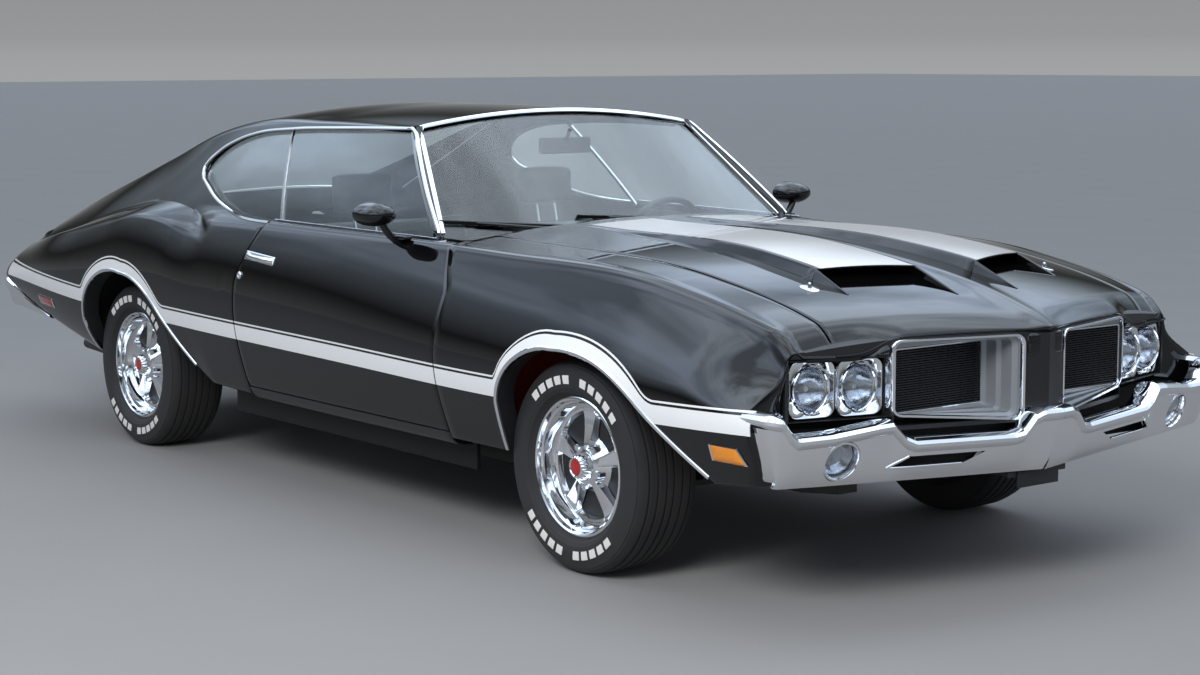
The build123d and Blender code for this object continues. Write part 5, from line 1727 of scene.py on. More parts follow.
@dataclass
class FrontEnd:
    """Grilles, centre divider, headlamps and their bezels."""

    grille_y: tuple[float, float] = (0.078, 0.482)
    grille_z: tuple[float, float] = (0.528, 0.757)
    grille_slope: float = 0.085
    bars_x: float = 2.386
    bars_y: tuple[float, float] = (0.124, 0.466)
    bars_z: tuple[float, float] = (0.552, 0.730)
    bar_count: int = 26
    lamp_centres: tuple[tuple[float, float], ...] = ((2.308, 0.6965), (2.348, 0.5570))
    lamp_z: float = 0.631
    plate_half: tuple[float, float] = (0.0685, 0.0775)
    lamp_radius: float = 0.0635
    lamp_sweep: float = 0.24
    cheek_z: tuple[float, float] = (0.445, 0.704)
    cheek_end: tuple[float, float] = (2.284, 0.768)

    def loop3(self, loop: Points, x: np.ndarray | float) -> Points:
        """Return a (y, z) loop as 3-D points at x."""
        return np.stack([np.broadcast_to(x, loop[:, 0].shape), loop[:, 0], loop[:, 1]], 1)

    def inset(self, amount: float) -> Points:
        """Return the grille opening's loop, drawn in by an amount.

        Args:
            amount: How far it is drawn in.

        Returns:
            The loop's points.
        """
        y, z = self.grille_y, self.grille_z
        return rounded_loop((y[0] + amount, y[1] - amount), (z[0] + amount, z[1] - amount),
                            0.030 - amount * 0.7, self.grille_slope)

    def grille(self) -> None:
        """Build the grilles: bright frame, stepped surround, bright inner line, thin bars and a dark plate of
        painted shade behind them.
        """
        rings = []
        for amount, forward in ((0.0, -0.040), (0.0, 0.003), (0.002, 0.007), (0.008, 0.007), (0.010, 0.003),
                                (0.010, -0.040)):
            loop = self.inset(amount)
            rings.append(self.loop3(loop, nose_x(loop[:, 0]) + forward))
        bright = Workbench.smooth(Workbench.from_rings("frame", np.stack(rings), closed=True), 50)
        dress_both(bright, "grille_frame", "root", CHROME)
        start = self.inset(0.010)
        last = rounded_loop(self.bars_y, self.bars_z, 0.006)
        rings = []
        for t, depth in ((0.0, 0.015), (0.015, 0.10), (0.36, 0.16), (0.375, 0.50), (0.70, 0.56),
                         (0.715, 0.90), (0.98, 0.96), (1.0, 1.0)):
            loop = start * (1 - t) + last * t
            front = nose_x(loop[:, 0]) - 0.002
            rings.append(self.loop3(loop, front * (1 - depth) + self.bars_x * depth))
        surround = Workbench.from_rings("surround", np.stack(rings), capped=False)
        Workbench.face_away(surround, (2.0, 0.28, 0.64))
        if self.faces_in(surround):
            surround.data.flip_normals()
        Workbench.apply(surround, "SOLIDIFY", thickness=0.004, offset=-1.0)
        Workbench.smooth(surround, 35)
        dress_both(surround, "grille_surround", "root", ARGENT, "grilles")
        rings = []
        for grow, forward in ((0.0, -0.004), (0.0, 0.003), (-0.0035, 0.003), (-0.0035, -0.004)):
            loop = rounded_loop((self.bars_y[0] - grow, self.bars_y[1] + grow),
                                (self.bars_z[0] - grow, self.bars_z[1] + grow), 0.006)
            rings.append(self.loop3(loop, self.bars_x + forward))
        line = Workbench.smooth(Workbench.from_rings("line", np.stack(rings), closed=True), 50)
        dress_both(line, "grille_line", "root", CHROME)
        low, high = self.bars_z
        parts = []
        for z in np.linspace(low + 0.005, high - 0.005, self.bar_count):
            parts.append(Workbench.block("bar", (self.bars_x - 0.012, self.bars_y[0], z - 0.0016),
                                         (self.bars_x - 0.003, self.bars_y[1], z + 0.0016), 0))
        for y in np.linspace(self.bars_y[0] + 0.012, self.bars_y[1] - 0.012, 13):
            parts.append(Workbench.block("web", (self.bars_x - 0.016, y - 0.0010, low),
                                         (self.bars_x - 0.008, y + 0.0010, high), 0))
        bars = Workbench.join("bars", parts)
        dress_both(bars, "grille_bars", "root", SATIN_BLACK)
        # The matt black plate behind the bars is painted shade: it stands in for the dark space behind the
        # grille.
        back = Workbench.block("back", (self.bars_x - 0.024, self.bars_y[0] - 0.02, low - 0.02),
                               (self.bars_x - 0.020, self.bars_y[1] + 0.02, high + 0.02), 0)
        dress_both(back, "grille_back", "root", MATT_BLACK)

    @staticmethod
    def faces_in(piece: bpy.types.Object) -> bool:
        """Tell whether a recessed tray's faces look backward."""
        return sum(face.normal.x * face.area for face in piece.data.polygons) < 0

    def divider(self) -> None:
        """Build the ribbed black divider between the grilles and its cap under the hood's tip."""
        cap = Workbench.block("divider_cap", (2.430, -0.070, 0.690), (2.520, 0.070, 0.757), 0.012)
        dress(cap, "root", BLACK_PAINT)
        parts = [Workbench.block("core", (2.430, -0.068, 0.500), (2.492, 0.068, 0.692), 0.002)]
        for y in (-0.056, -0.018, 0.018, 0.056):
            parts.append(Workbench.block("rib", (2.470, y - 0.011, 0.502), (2.506, y + 0.011, 0.690), 0.004))
        dress(Workbench.join("divider_ribs", parts), "root", BLACK_PAINT)
        latch = Workbench.block("hood_latch", (2.500, -0.009, 0.572), (2.511, 0.009, 0.664), 0.003)
        dress(latch, "root", CHROME)

    def lamps(self) -> None:
        """Build the four headlamps and their bright square bezels."""
        bezels, rings_out, lenses, bowls, bases = [], [], [], [], []
        half_y, half_z = self.plate_half
        for x, y in self.lamp_centres:
            outer = rounded_loop(
                (y - half_y, y + half_y), (self.lamp_z - half_z, self.lamp_z + half_z), 0.026)
            angle = np.arctan2(outer[:, 1] - self.lamp_z, outer[:, 0] - y)
            circle = np.stack([np.cos(angle), np.sin(angle)], 1)
            centre = np.array([y, self.lamp_z])
            swept = x - self.lamp_sweep * (outer[:, 0] - y)
            rings = [self.loop3(outer, x - 0.050), self.loop3(outer, swept - 0.003),
                     self.loop3(centre + (outer - centre) * 0.985, swept),
                     self.loop3(centre + (outer - centre) * 0.95, swept - 0.001)]
            for t, back in ((0.5, -0.006), (1.0, -0.010)):
                mouth = centre + circle * (self.lamp_radius + 0.002)
                blend = (centre + (outer - centre) * 0.95) * (1 - t) + mouth * t
                rings.append(self.loop3(blend, t * x + (1 - t) * swept + back))
            rings.append(self.loop3(centre + circle * (self.lamp_radius + 0.002), x - 0.050))
            piece = Workbench.from_rings("bezel", np.stack(rings), closed=True)
            bezels.append(Workbench.smooth(piece, 40))
            r = self.lamp_radius
            spot = (x, y, self.lamp_z)
            rings_out.append(Workbench.turned("ring", [(r + 0.0025, -0.014), (r + 0.0025, -0.004),
                                                       (r, -0.001), (r - 0.003, -0.004),
                                                       (r - 0.003, -0.014)], spot, (1, 0, 0), 72))
            lens = [(0.0, 0.010), (r * 0.35, 0.0088), (r * 0.65, 0.0052), (r * 0.88, -0.001),
                    (r - 0.003, -0.007), (r - 0.003, -0.012), (r * 0.88, -0.006), (r * 0.65, 0.0008),
                    (r * 0.35, 0.0048), (0.0, 0.006)]
            lenses.append(Workbench.turned("lens", lens, spot, (1, 0, 0), 72))
            bowl = [(r - 0.003, -0.014), (r * 0.85, -0.030), (r * 0.6, -0.044), (r * 0.3, -0.053),
                    (0.0, -0.056), (0.0, -0.059), (r * 0.32, -0.056), (r * 0.63, -0.047), (r * 0.9, -0.031),
                    (r, -0.016)]
            bowls.append(Workbench.turned("bowl", bowl, spot, (1, 0, 0), 72))
            bases.append(Workbench.turned("bulb", [(0.0, -0.054), (0.011, -0.054), (0.011, -0.030),
                                                   (0.007, -0.022), (0.0, -0.020)],
                                          spot, (1, 0, 0), 32))
        sets = (("headlamp_bezel", bezels, "chrome", CHROME, "headlamp_bezels"),
                ("headlamp_ring", rings_out, "chrome", CHROME, ""),
                ("headlamp_lens", lenses, "lamp_glass", LAMP_GLASS, "headlamps"),
                ("headlamp_bowl", bowls, "chrome", LAMP_BOWL, ""),
                ("headlamp_bulb", bases, "lamp_glass", LAMP_BASE, ""))
        for name, parts, slot, finish, node in sets:
            dress_both(Workbench.join(name, parts), name, "root", finish, node)

    def fillers(self) -> None:
        """Close the nose behind the lamps and under the grilles with dark panels."""
        y = np.linspace(-0.800, 0.800, 61)[:, None]
        low = np.array([(0.060, 0.395), (0.052, 0.470), (0.050, 0.520), (0.075, 0.536)])[None]
        points = np.stack([nose_x(y) - low[..., 0], y + 0 * low[..., 1], low[..., 1] + 0 * y], -1)
        parts = [Workbench.sheet_metal(Workbench.grid("low", points, (0.0, None, 0.5)), 0.004, 0)]
        for s in (1, -1):
            y = s * np.linspace(0.462, 0.800, 21)[:, None]
            z = np.linspace(0.530, 0.745, 9)[None, :]
            points = np.stack([nose_x(y) - 0.082 + 0 * z, y + 0 * z, z + 0 * y], -1)
            parts.append(Workbench.sheet_metal(
                Workbench.grid("lamp_wall", points, (0.0, None, None)), 0.004, 0))
        dress(Workbench.join("nose_filler", parts), "root", MATT_BLACK)

    def brows(self) -> None:
        """Build the glossy rolled face between the hood's edge and the lamp bezels."""
        y = np.linspace(0.492, 0.784, 31)[:, None]
        top = BODY.top(nose_x(y), y) - 0.010
        t = np.linspace(0, 1, 9)[None, :]
        z = top + (0.7105 - top) * t
        points = np.stack([nose_x(y) - 0.012 + 0.024 * np.sin(math.pi * (0.15 + 0.80 * t)), y + 0 * t, z], -1)
        piece = Workbench.sheet_metal(Workbench.grid("brow", points, (0.0, 0.6, None)), 0.006, 0)
        dress_both(piece, "headlamp_brow", "root", BLACK_PAINT)

    def cheeks(self) -> None:
        """Build the painted faces that turn in from the fenders' front edges to the lamp bezels."""
        fenders = Fenders()
        z = np.linspace(*self.cheek_z, 16)[:, None]
        t = np.linspace(0, 1, 9)[None, :]
        (low_x, low_z), high_x = fenders.front, fenders.lip_front_x
        edge_x = low_x + (high_x - low_x) * (z - low_z) / (self.cheek_z[1] - low_z) - 0.004
        edge_y = BODY.flank(edge_x, z) - 0.003
        x = edge_x + (self.cheek_end[0] - edge_x) * t**1.6 + 0.006 * np.sin(math.pi * t)
        y = edge_y + (self.cheek_end[1] - edge_y) * t
        piece = Workbench.sheet_metal(Workbench.grid("cheek", np.stack([x, y, z + 0 * t], -1),
                                                     (0.0, None, None)), 0.004, 0)
        dress_both(piece, "fender_cheek", "root", BLACK_PAINT)

    def build(self) -> None:
        """Build and dress the front end."""
        self.brows()
        self.cheeks()
        self.fillers()
        self.grille()
        self.divider()
        self.lamps()


@dataclass
class FrontBumper:
    """Bright front bumper with its lamps, slots and plate bracket."""

    tip_x: float = 2.5850
    sweep: float = 0.19
    corner_y: float = 0.888
    corner_radius: float = 0.052
    return_length: float = 0.085
    lamp_y: float = 0.695
    lamp_z: float = 0.452
    lamp_bore: float = 0.056
    slot_points: tuple[tuple[float, float], ...] = ((0.245, 0.446), (0.492, 0.451), (0.548, 0.420),
                                                    (0.312, 0.416))
    top_line: tuple[tuple[float, float], ...] = (
        (0.000, 0.553), (0.060, 0.552), (0.088, 0.542), (0.125, 0.500), (0.160, 0.494), (0.480, 0.501),
        (0.512, 0.515), (0.552, 0.556), (0.600, 0.553), (0.740, 0.538), (0.845, 0.536), (0.868, 0.556),
        (0.890, 0.588), (0.93, 0.594))

    def path(self) -> tuple[Points, Points, Points]:
        """Return the front line in plan, its outward normals and the half width that sets the heights."""
        ys = np.unique(np.concatenate([np.linspace(0, self.corner_y, 70), np.linspace(0.055, 0.165, 16),
                                       np.linspace(0.47, 0.60, 18), np.linspace(0.84, self.corner_y, 10)]))
        line = np.stack([self.tip_x - self.sweep * ys, ys], 1)
        length = math.hypot(1, self.sweep)
        normal = np.array([1 / length, self.sweep / length])
        start = math.atan2(normal[1], normal[0])
        turns = np.linspace(start, math.radians(88), 12)[1:]
        centre = line[-1] - normal * self.corner_radius
        bend = centre + self.corner_radius * np.stack([np.cos(turns), np.sin(turns)], 1)
        back = bend[-1] - np.outer(np.linspace(0, self.return_length, 7)[1:], [1.0, -0.02])
        points = np.concatenate([line, bend, back])
        normals = np.concatenate([
            np.tile(normal, (len(line), 1)), np.stack([np.cos(turns), np.sin(turns)], 1),
            np.tile([math.cos(turns[-1]), math.sin(turns[-1])], (6, 1))])
        return points, normals, np.minimum(points[:, 1], 0.93)

    def bar(self) -> bpy.types.Object:
        """Make the bar as one closed skin."""
        points, normals, half = self.path()
        top = np.array(self.top_line)
        crest = np.interp(half, top[:, 0], top[:, 1])
        low = np.interp(half, (0, 0.30, 0.75, 0.88, 0.93), (0.366, 0.372, 0.382, 0.386, 0.402))
        face = crest - 0.040
        # inward offset and height of each point of the section, from the top's rear round to the foot's rear
        rows = [(0.078, crest - 0.010), (0.060, crest - 0.002), (0.040, crest), (0.020, crest - 0.002),
                (0.007, crest - 0.008), (0.001, crest - 0.017), (0.001, crest - 0.026),
                (0.006, crest - 0.034), (0.013, face), (0.020, face * 0.75 + low * 0.25),
                (0.030, face * 0.5 + low * 0.5), (0.042, face * 0.25 + low * 0.75), (0.054, low + 0.010),
                (0.060, low + 0.002), (0.068, low), (0.074, low + 0.003)]
        inner = [(0.070, low + 0.012), (0.060, face * 0.25 + low * 0.75), (0.048, face * 0.5 + low * 0.5),
                 (0.036, face * 0.8 + low * 0.2), (0.024, crest - 0.030), (0.030, crest - 0.014),
                 (0.060, crest - 0.012), (0.076, crest - 0.018)]
        rings = []
        for back, z in rows + inner:
            at = points - normals * back
            rings.append(np.stack([at[:, 0], at[:, 1], z], 1))
        rings = np.stack(rings, 1)
        other = rings[:0:-1] * np.array([1.0, -1.0, 1.0])
        piece = Workbench.from_rings("front_bumper_bar", np.concatenate([other, rings]))
        return piece

    def build(self) -> None:
        """Build and dress the bumper and what it carries."""
        bar = self.bar()
        cutters = []
        for s in (1, -1):
            bpy.ops.object.select_all(action="DESELECT")
            bpy.ops.mesh.primitive_cylinder_add(vertices=64, radius=self.lamp_bore, depth=0.30)
            tool = bpy.context.object
            tool.data.transform(Matrix.Rotation(math.pi / 2, 4, "Y"))
            tool.data.transform(Matrix.Translation((self.tip_x - 0.15, s * self.lamp_y, self.lamp_z)))
            cutters.append(tool)
            rings = np.stack([[[x, s * y, z] for y, z in self.slot_points] for x in (2.30, 2.62)])
            cutters.append(Workbench.from_rings("slot", rings))
        tool = Workbench.join("bumper_cutter", cutters)
        Workbench.apply(bar, "BOOLEAN", operation="DIFFERENCE", object=tool, solver="EXACT")
        bpy.data.objects.remove(tool)
        Workbench.smooth(bar, 30)
        dress(bar, "root", CHROME, ["front_bumper"])
        x = self.tip_x - self.sweep * self.lamp_y - 0.029
        r = self.lamp_bore
        spot = (x, self.lamp_y, self.lamp_z)
        axis = (1, 0.16, -0.34)
        ring = Workbench.turned("ring", [(r - 0.006, -0.050), (r - 0.006, -0.004), (r - 0.003, 0.002),
                                         (r + 0.002, 0.001), (r + 0.002, -0.010),
                                         (r - 0.001, -0.050)], spot, axis, 72)
        lens = Workbench.turned("lens", [(0.0, -0.012), (r * 0.5, -0.014), (r - 0.007, -0.021),
                                         (r - 0.007, -0.026), (r * 0.5, -0.019),
                                         (0.0, -0.017)], spot, axis, 72)
        bowl = Workbench.turned("bowl", [(r - 0.006, -0.030), (r * 0.6, -0.046), (0.0, -0.052), (0.0, -0.056),
                                         (r * 0.62, -0.050), (r - 0.002, -0.034)], spot, axis, 72)
        dress_both(ring, "bumper_lamp_ring", "root", CHROME)
        dress_both(lens, "bumper_lamp_lens", "root", LAMP_GLASS, "bumper_lamps")
        dress_both(bowl, "bumper_lamp_bowl", "root", LAMP_BOWL)
        backing = []
        for s in (1, -1):
            backing.append(Workbench.block("backing", (2.36, min(s * 0.20, s * 0.60), 0.405),
                                           (2.40, max(s * 0.20, s * 0.60), 0.462), 0.002))
        dress(Workbench.join("bumper_slot_backing", backing), "root", MATT_BLACK)
        parts = [Workbench.block("plate", (2.486, -0.120, 0.350), (2.492, 0.120, 0.366), 0.001),
                 Workbench.block("tab", (2.492, -0.085, 0.318), (2.497, 0.085, 0.364), 0.001),
                 Workbench.block("arm", (2.42, -0.110, 0.352), (2.490, -0.085, 0.362), 0.001),
                 Workbench.block("arm", (2.42, 0.085, 0.352), (2.490, 0.110, 0.362), 0.001)]
        lips = []
        for a, b in ((3, 2), (2, 1)):
            (ya, za), (yb, zb) = self.slot_points[a], self.slot_points[b]
            run = np.linspace((ya, za), (yb, zb), 12)
            crest = np.interp(run[:, 0], *np.array(self.top_line).T) - 0.040
            foot = np.interp(run[:, 0], (0, 0.30, 0.75, 0.88, 0.93), (0.366, 0.372, 0.382, 0.386, 0.402))
            down = np.clip((crest - run[:, 1]) / (crest - foot), 0, 1)
            back = 0.013 + 0.041 * down
            line = np.stack([self.tip_x - self.sweep * run[:, 0] - back + 0.001, run[:, 0], run[:, 1]], 1)
            lips.append(Workbench.sweep("lip", line, (1, 0.19, 0.3), round_section(0.0042, 10)))
        dress_both(Workbench.join("slot_lip", lips), "bumper_slot_lip", "root", CHROME)
        dress(Workbench.join("plate_bracket", parts), "root", SATIN_BLACK)


@dataclass
class RearEnd:
    """Rear bumper and the bright frames of the tail lamps."""

    def build(self) -> None:
        """Build and dress the rear end."""
        points, normals = self.path()
        run = np.clip((points[:, 0] + 2.535) / 0.440, 0, 1)
        top = np.interp(run, (0, 0.05, 0.15, 1.0), (0.592, 0.592, 0.572, 0.452))
        low = np.interp(run, (0, 0.15, 1.0), (0.456, 0.462, 0.438))
        rows = [(0.085, 0.97), (0.050, 1.0), (0.020, 0.97), (0.004, 0.88), (0.000, 0.73), (0.004, 0.59),
                (0.014, 0.49), (0.018, 0.34), (0.026, 0.15), (0.038, 0.03), (0.055, 0.0), (0.065, 0.04),
                (0.058, 0.17), (0.040, 0.39), (0.030, 0.62), (0.035, 0.84), (0.058, 0.90), (0.083, 0.88)]
        slim = 1 - 0.62 * run
        rings = []
        for inward, share in rows:
            at = points - normals * (inward * slim)[:, None]
            rings.append(np.stack([at[:, 0], at[:, 1], low + (top - low) * share], 1))
        rings = np.stack(rings, 1)
        other = rings[:0:-1] * np.array([1.0, -1.0, 1.0])
        bar = Workbench.smooth(Workbench.from_rings("rear_bumper_bar", np.concatenate([other, rings])), 30)
        dress(bar, "root", CHROME, ["rear_bumper"])
        for s in Side:
            loops = []
            for grow, back in ((0.007, 0.0), (0.007, -0.006), (0.003, -0.008), (0.0, -0.006), (0.0, 0.0)):
                loop = rounded_loop((0.330 - grow, 0.700 + grow), (0.650 - grow, 0.740 + grow), 0.022)
                loops.append(np.stack([
                    np.full(len(loop), TAIL_X + back), s.value * loop[:, 0], loop[:, 1]], 1))
            ring = Workbench.from_rings(f"tail_lamp_frame_{s.label}", np.stack(loops), closed=True)
            frame_ring = Workbench.smooth(ring, 40)
            dress(frame_ring, "root", CHROME)

    @staticmethod
    def path() -> tuple[Points, Points]:
        """Return the rear line in plan, with its outward normals."""
        y = np.linspace(0, 0.835, 40)
        line = np.stack([-2.5845 + 0.020 * (y / 0.835) ** 2, y], 1)
        x = np.linspace(-2.500, -2.095, 26)
        side = np.stack([x, BODY.quarter(x, np.interp(x, (-2.5, -2.095), (0.560, 0.452))) + 0.004], 1)
        t = np.linspace(0, 1, 12)[1:-1, None]
        corner = np.array([-2.566, side[0, 1] - 0.012])
        bend = (1 - t) ** 2 * line[-1] + 2 * t * (1 - t) * corner + t**2 * side[0]
        points = np.concatenate([line, bend, side])
        tangent = np.gradient(points, axis=0)
        tangent /= np.linalg.norm(tangent, axis=1, keepdims=True)
        return points, np.stack([-tangent[:, 1], tangent[:, 0]], 1)


@dataclass
class Markers:
    """Amber front and red rear side markers in bright frames."""

    def lens(self, name: str, corners: Sequence[tuple[float, float]], skin: Callable,
             finish: Finish | GlassFinish, slot: str) -> None:
        """Make one marker from its side-view corners, on both sides of the car.

        Args:
            name: The stem of the pieces' names.
            corners: The lens's corners as x and z.
            skin: Half width from x and z.
            finish: What the lens is made of.
            slot: Not used.
        """
        corners = np.array(corners)
        centre = corners.mean(0)

        def loop(scale: float) -> Points:
            """Return the outline scaled about its centre."""
            return centre + (outlined(corners, 8) - centre) * scale

        rings = [on_skin(*loop(k).T, skin, out) for k, out in (
            (1.12, -0.004), (1.12, 0.003), (1.06, 0.006), (1.0, 0.004), (1.0, -0.004))]
        frame_ring = Workbench.smooth(Workbench.from_rings("marker_frame", np.stack(rings), closed=True), 40)
        dress_both(frame_ring, f"{name}_marker_frame", "root", CHROME)
        steps = ((1.0, -0.003), (1.0, 0.003), (0.9, 0.005), (0.3, 0.006))
        rings = [on_skin(*loop(k).T, skin, out) for k, out in steps]
        body = Workbench.smooth(Workbench.from_rings("marker", np.stack(rings)), 40)
        dress_both(body, f"{name}_marker", "root", finish)

    def build(self) -> None:
        """Build and dress the four markers."""
        self.lens("front", ((2.165, 0.446), (2.285, 0.446), (2.262, 0.488), (2.165, 0.488)), BODY.flank,
                  AMBER_LENS, "lamp_glass")
        self.lens("rear", ((-2.10, 0.505), (-1.97, 0.497), (-1.97, 0.532), (-2.10, 0.540)), BODY.quarter,
                  RED_LENS, "red_lens")


@dataclass
class Glazing:
    """Windshield, side glass, rear window surround, pillars and bright trim of the greenhouse."""

    screen_base_x: float = 0.693
    screen_bow: float = 0.096
    screen_base_z: float = 0.948
    screen_rake: float = 1.1733
    screen_low: tuple[float, float] = (0.731, 0.948)
    screen_high: tuple[float, float] = (0.585, 1.277)
    glass: float = 0.005
    side_in: float = 0.014

    def screen_x(self, y: np.ndarray, z: np.ndarray) -> np.ndarray:
        """Return the windshield's x."""
        bow = self.screen_bow * (y / self.screen_low[0]) ** 2
        return self.screen_base_x - bow - self.screen_rake * (z - self.screen_base_z)

    def screen_edge(self, z: np.ndarray) -> np.ndarray:
        """Return the windshield's half width at each height."""
        return np.interp(z, (self.screen_low[1], self.screen_high[1]),
                         (self.screen_low[0], self.screen_high[0]))

    def top_z(self, y: np.ndarray) -> np.ndarray:
        """Return the windshield's top edge, crowned like the roof."""
        return self.screen_high[1] + 0.050 * (1 - (np.abs(y) / self.screen_high[0]) ** 2)

    def windshield(self) -> None:
        """Build the windshield and its bright surround."""
        v = np.linspace(0, 1, 25)[None, :]
        u = np.linspace(-1, 1, 41)[:, None]
        z = 0.925 + v * (self.top_z(u * self.screen_high[0]) - 0.925)
        y = u * (self.screen_edge(z) + 0.002)
        points = np.stack([self.screen_x(y, z) - 0.006, y, z], -1)
        pane = Workbench.grid("windshield_pane", points, (-1.0, 0.0, 0.6))
        Workbench.apply(pane, "SOLIDIFY", thickness=self.glass, offset=-1.0)
        dress(Workbench.smooth(pane), "root", CLEAR_GLASS, ["windshield"])
        side_z = np.linspace(0.945, self.screen_high[1] - 0.012, 30)
        up = np.stack([self.screen_x(self.screen_edge(side_z), side_z), self.screen_edge(side_z), side_z], 1)
        top_y = np.linspace(self.screen_high[0] - 0.012, -self.screen_high[0] + 0.012, 41)
        over = np.stack([self.screen_x(top_y, self.top_z(top_y)), top_y, self.top_z(top_y)], 1)
        path = np.concatenate([up, over, up[::-1] * np.array([1.0, -1.0, 1.0])])
        section = [(-0.009, -0.004), (0.009, -0.004), (0.009, 0.001), (0.005, 0.004), (-0.005, 0.004),
                   (-0.009, 0.001)]
        path = spaced(path, 120)
        flat = np.clip(path[:, 1:2] / 0.56, -1, 1)
        up = np.concatenate([np.full_like(flat, 0.62), 0.42 * flat, np.full_like(flat, 0.70)], 1)
        trim = Workbench.sweep("windshield_trim", path + 0.004 * up, up, section)
        dress(trim, "root", CHROME)

    def pillars(self) -> None:
        """Build the windshield pillars."""
        t = np.linspace(0, 1, 34)[:, None]
        z_in = 0.935 + (1.279 - 0.935) * t
        inner = np.concatenate([
            self.screen_x(self.screen_edge(z_in), z_in) + 0.001, self.screen_edge(z_in), z_in], 1)
        z_out = 0.935 + (1.284 - 0.935) * t
        x_out = np.interp(z_out, (0.956, 1.283), (0.612, 0.246))
        outer = np.concatenate([x_out, BODY.cabin_side(x_out, z_out) - 0.001, z_out], 1)
        s = np.linspace(0, 1, 9)[None, :, None]
        bulge = np.array([0.004, 0.006, 0.004])[None, None, :] * (4 * s * (1 - s))
        skin = inner[:, None] * (1 - s) + outer[:, None] * s + bulge
        piece = Workbench.sheet_metal(Workbench.grid("pillar", skin, (0.2, 0.3, 0.9)), wall=0.022)
        dress_both(piece, "windshield_pillar", "root", BLACK_PAINT)

    def side_pane(self, name: str, low: Points, high: Points) -> bpy.types.Object:
        """Make a side pane between a lower and an upper side-view line.

        Args:
            name: The pane's name.
            low: Its lower line.
            high: Its upper line.

        Returns:
            The pane.
        """
        t = np.linspace(0, 1, 15)[None, :, None]
        flat = low[:, None] * (1 - t) + high[:, None] * t
        points = on_skin(flat[..., 0], flat[..., 1], BODY.cabin_side, -self.side_in)
        pane = Workbench.grid(name, points, (None, 0.0, 0.9))
        Workbench.apply(pane, "SOLIDIFY", thickness=self.glass, offset=-1.0)
        return Workbench.smooth(pane)

    def side_glass(self) -> None:
        """Build the door and quarter glass with their dividers."""
        u = np.linspace(0, 1, 30)
        low = np.stack([-0.303 + u * 0.915, np.full(30, 0.925)], 1)
        high = np.stack([-0.520 + u * 0.752, 1.262 + 0 * u], 1)
        low[-1] = (0.606, 0.930)
        high[-1] = (0.232, 1.262)
        pane = self.side_pane("door_pane", low, high)
        dress_both(pane, "door_pane", "door_*", CLEAR_GLASS, "door_glass_*")
        shell = Shell()
        foot = smooth_line([*shell.window_low, shell.window_tip], 200)[::-1]
        head = smooth_line([shell.window_tip, *shell.window_high], 200)
        x_low = -0.312 - u * (1.026 - 0.312)
        x_high = -0.529 - u * (1.026 - 0.529)
        low = np.stack([x_low, np.interp(x_low, foot[:, 0], foot[:, 1]) - 0.012 * (1 - u)], 1)
        high = np.stack([x_high, np.interp(x_high, head[:, 0], head[:, 1]) + 0.010 * (1 - u)], 1)
        pane = self.side_pane("quarter_pane", low, high)
        dress_both(pane, "quarter_pane", "root", CLEAR_GLASS, "quarter_glass")
        t = np.linspace(0, 1, 16)
        bar = np.stack([-0.306 - 0.217 * t, 0.925 + 0.333 * t], 1)
        path = on_skin(bar[:, 0], bar[:, 1], BODY.cabin_side, -0.012)
        section = [(-0.007, -0.008), (0.007, -0.008), (0.007, 0.003), (-0.007, 0.003)]
        divider = Workbench.sweep("divider", path, (0, 1, 0.3), section)
        dress_both(divider, "window_divider", "root", CHROME)
        bar = np.stack([0.606 - 0.374 * t, 0.935 + 0.330 * t], 1)
        path = on_skin(bar[:, 0], bar[:, 1], BODY.cabin_side, -0.010)
        edge = Workbench.sweep("edge", path, (0, 1, 0.3), section)
        dress_both(edge, "door_glass_edge", "door_*", CHROME)

    def bright_lines(self) -> None:
        """Build the drip mouldings, window reveals, belt trim and rear window surround."""
        shell = Shell()
        flat = [(-0.003, -0.003), (0.0045, -0.003), (0.0045, 0.004), (0.002, 0.006), (-0.003, 0.006)]
        head = smooth_line([shell.window_tip, *shell.window_high], 80)
        foot = smooth_line([*shell.window_low, shell.window_tip], 50)
        line = np.concatenate([foot[:-1], head])
        path = on_skin(line[:, 0], line[:, 1], BODY.quarter, 0.0)
        pillar_z = np.linspace(1.276, 0.950, 24)[1:]
        pillar_x = np.interp(pillar_z, (0.956, 1.283), (0.614, 0.248))
        path = np.concatenate([path, on_skin(pillar_x, pillar_z, BODY.cabin_side, 0.001)])
        round_trim = [(-0.006, -0.004), (0.006, -0.004), (0.006, 0.002), (0.003, 0.005), (-0.003, 0.005),
                      (-0.006, 0.002)]
        path = spaced(path, 190)
        kernel = np.ones(9) / 9
        path[4:-4, 1] = np.convolve(path[:, 1], kernel, "valid")
        dress_both(Workbench.sweep("reveal", path, (0, 0.8, 0.4), round_trim), "window_reveal", "root",
                   CHROME)
        edge = spaced(line, 120)
        t = np.linspace(0, 1, 4)[None, :, None]
        outer = on_skin(edge[:, 0], edge[:, 1], BODY.quarter, -0.003)
        inner = on_skin(edge[:, 0], edge[:, 1], BODY.cabin_side, -0.030)
        channel = Workbench.grid("channel", outer[:, None] * (1 - t) + inner[:, None] * t, (-0.4, None, 1.05))
        Workbench.sheet_metal(channel, wall=0.003, edge=0)
        dress_both(channel, "window_channel", "root", SEAL)
        x = np.linspace(-0.322, 0.655, 40)
        half = BODY.row["shoulder"](x) - Doors().belt_in + 0.002
        belt = np.stack([x, half, BODY.top(x, half) + 0.002], 1)
        trim = Workbench.sweep("belt", belt, (0, 0.3, 1), flat)
        dress_both(trim, "belt_trim", "door_*", SATIN_CHROME)
        low_line = belt - np.array([0.0, 0.010, 0.001])
        seal = Workbench.sweep("seal", low_line, (0, 0, 1), round_section(0.006, 8))
        dress_both(seal, "belt_seal", "door_*", SEAL)
        t = np.linspace(0, 1, 30)[:, None]
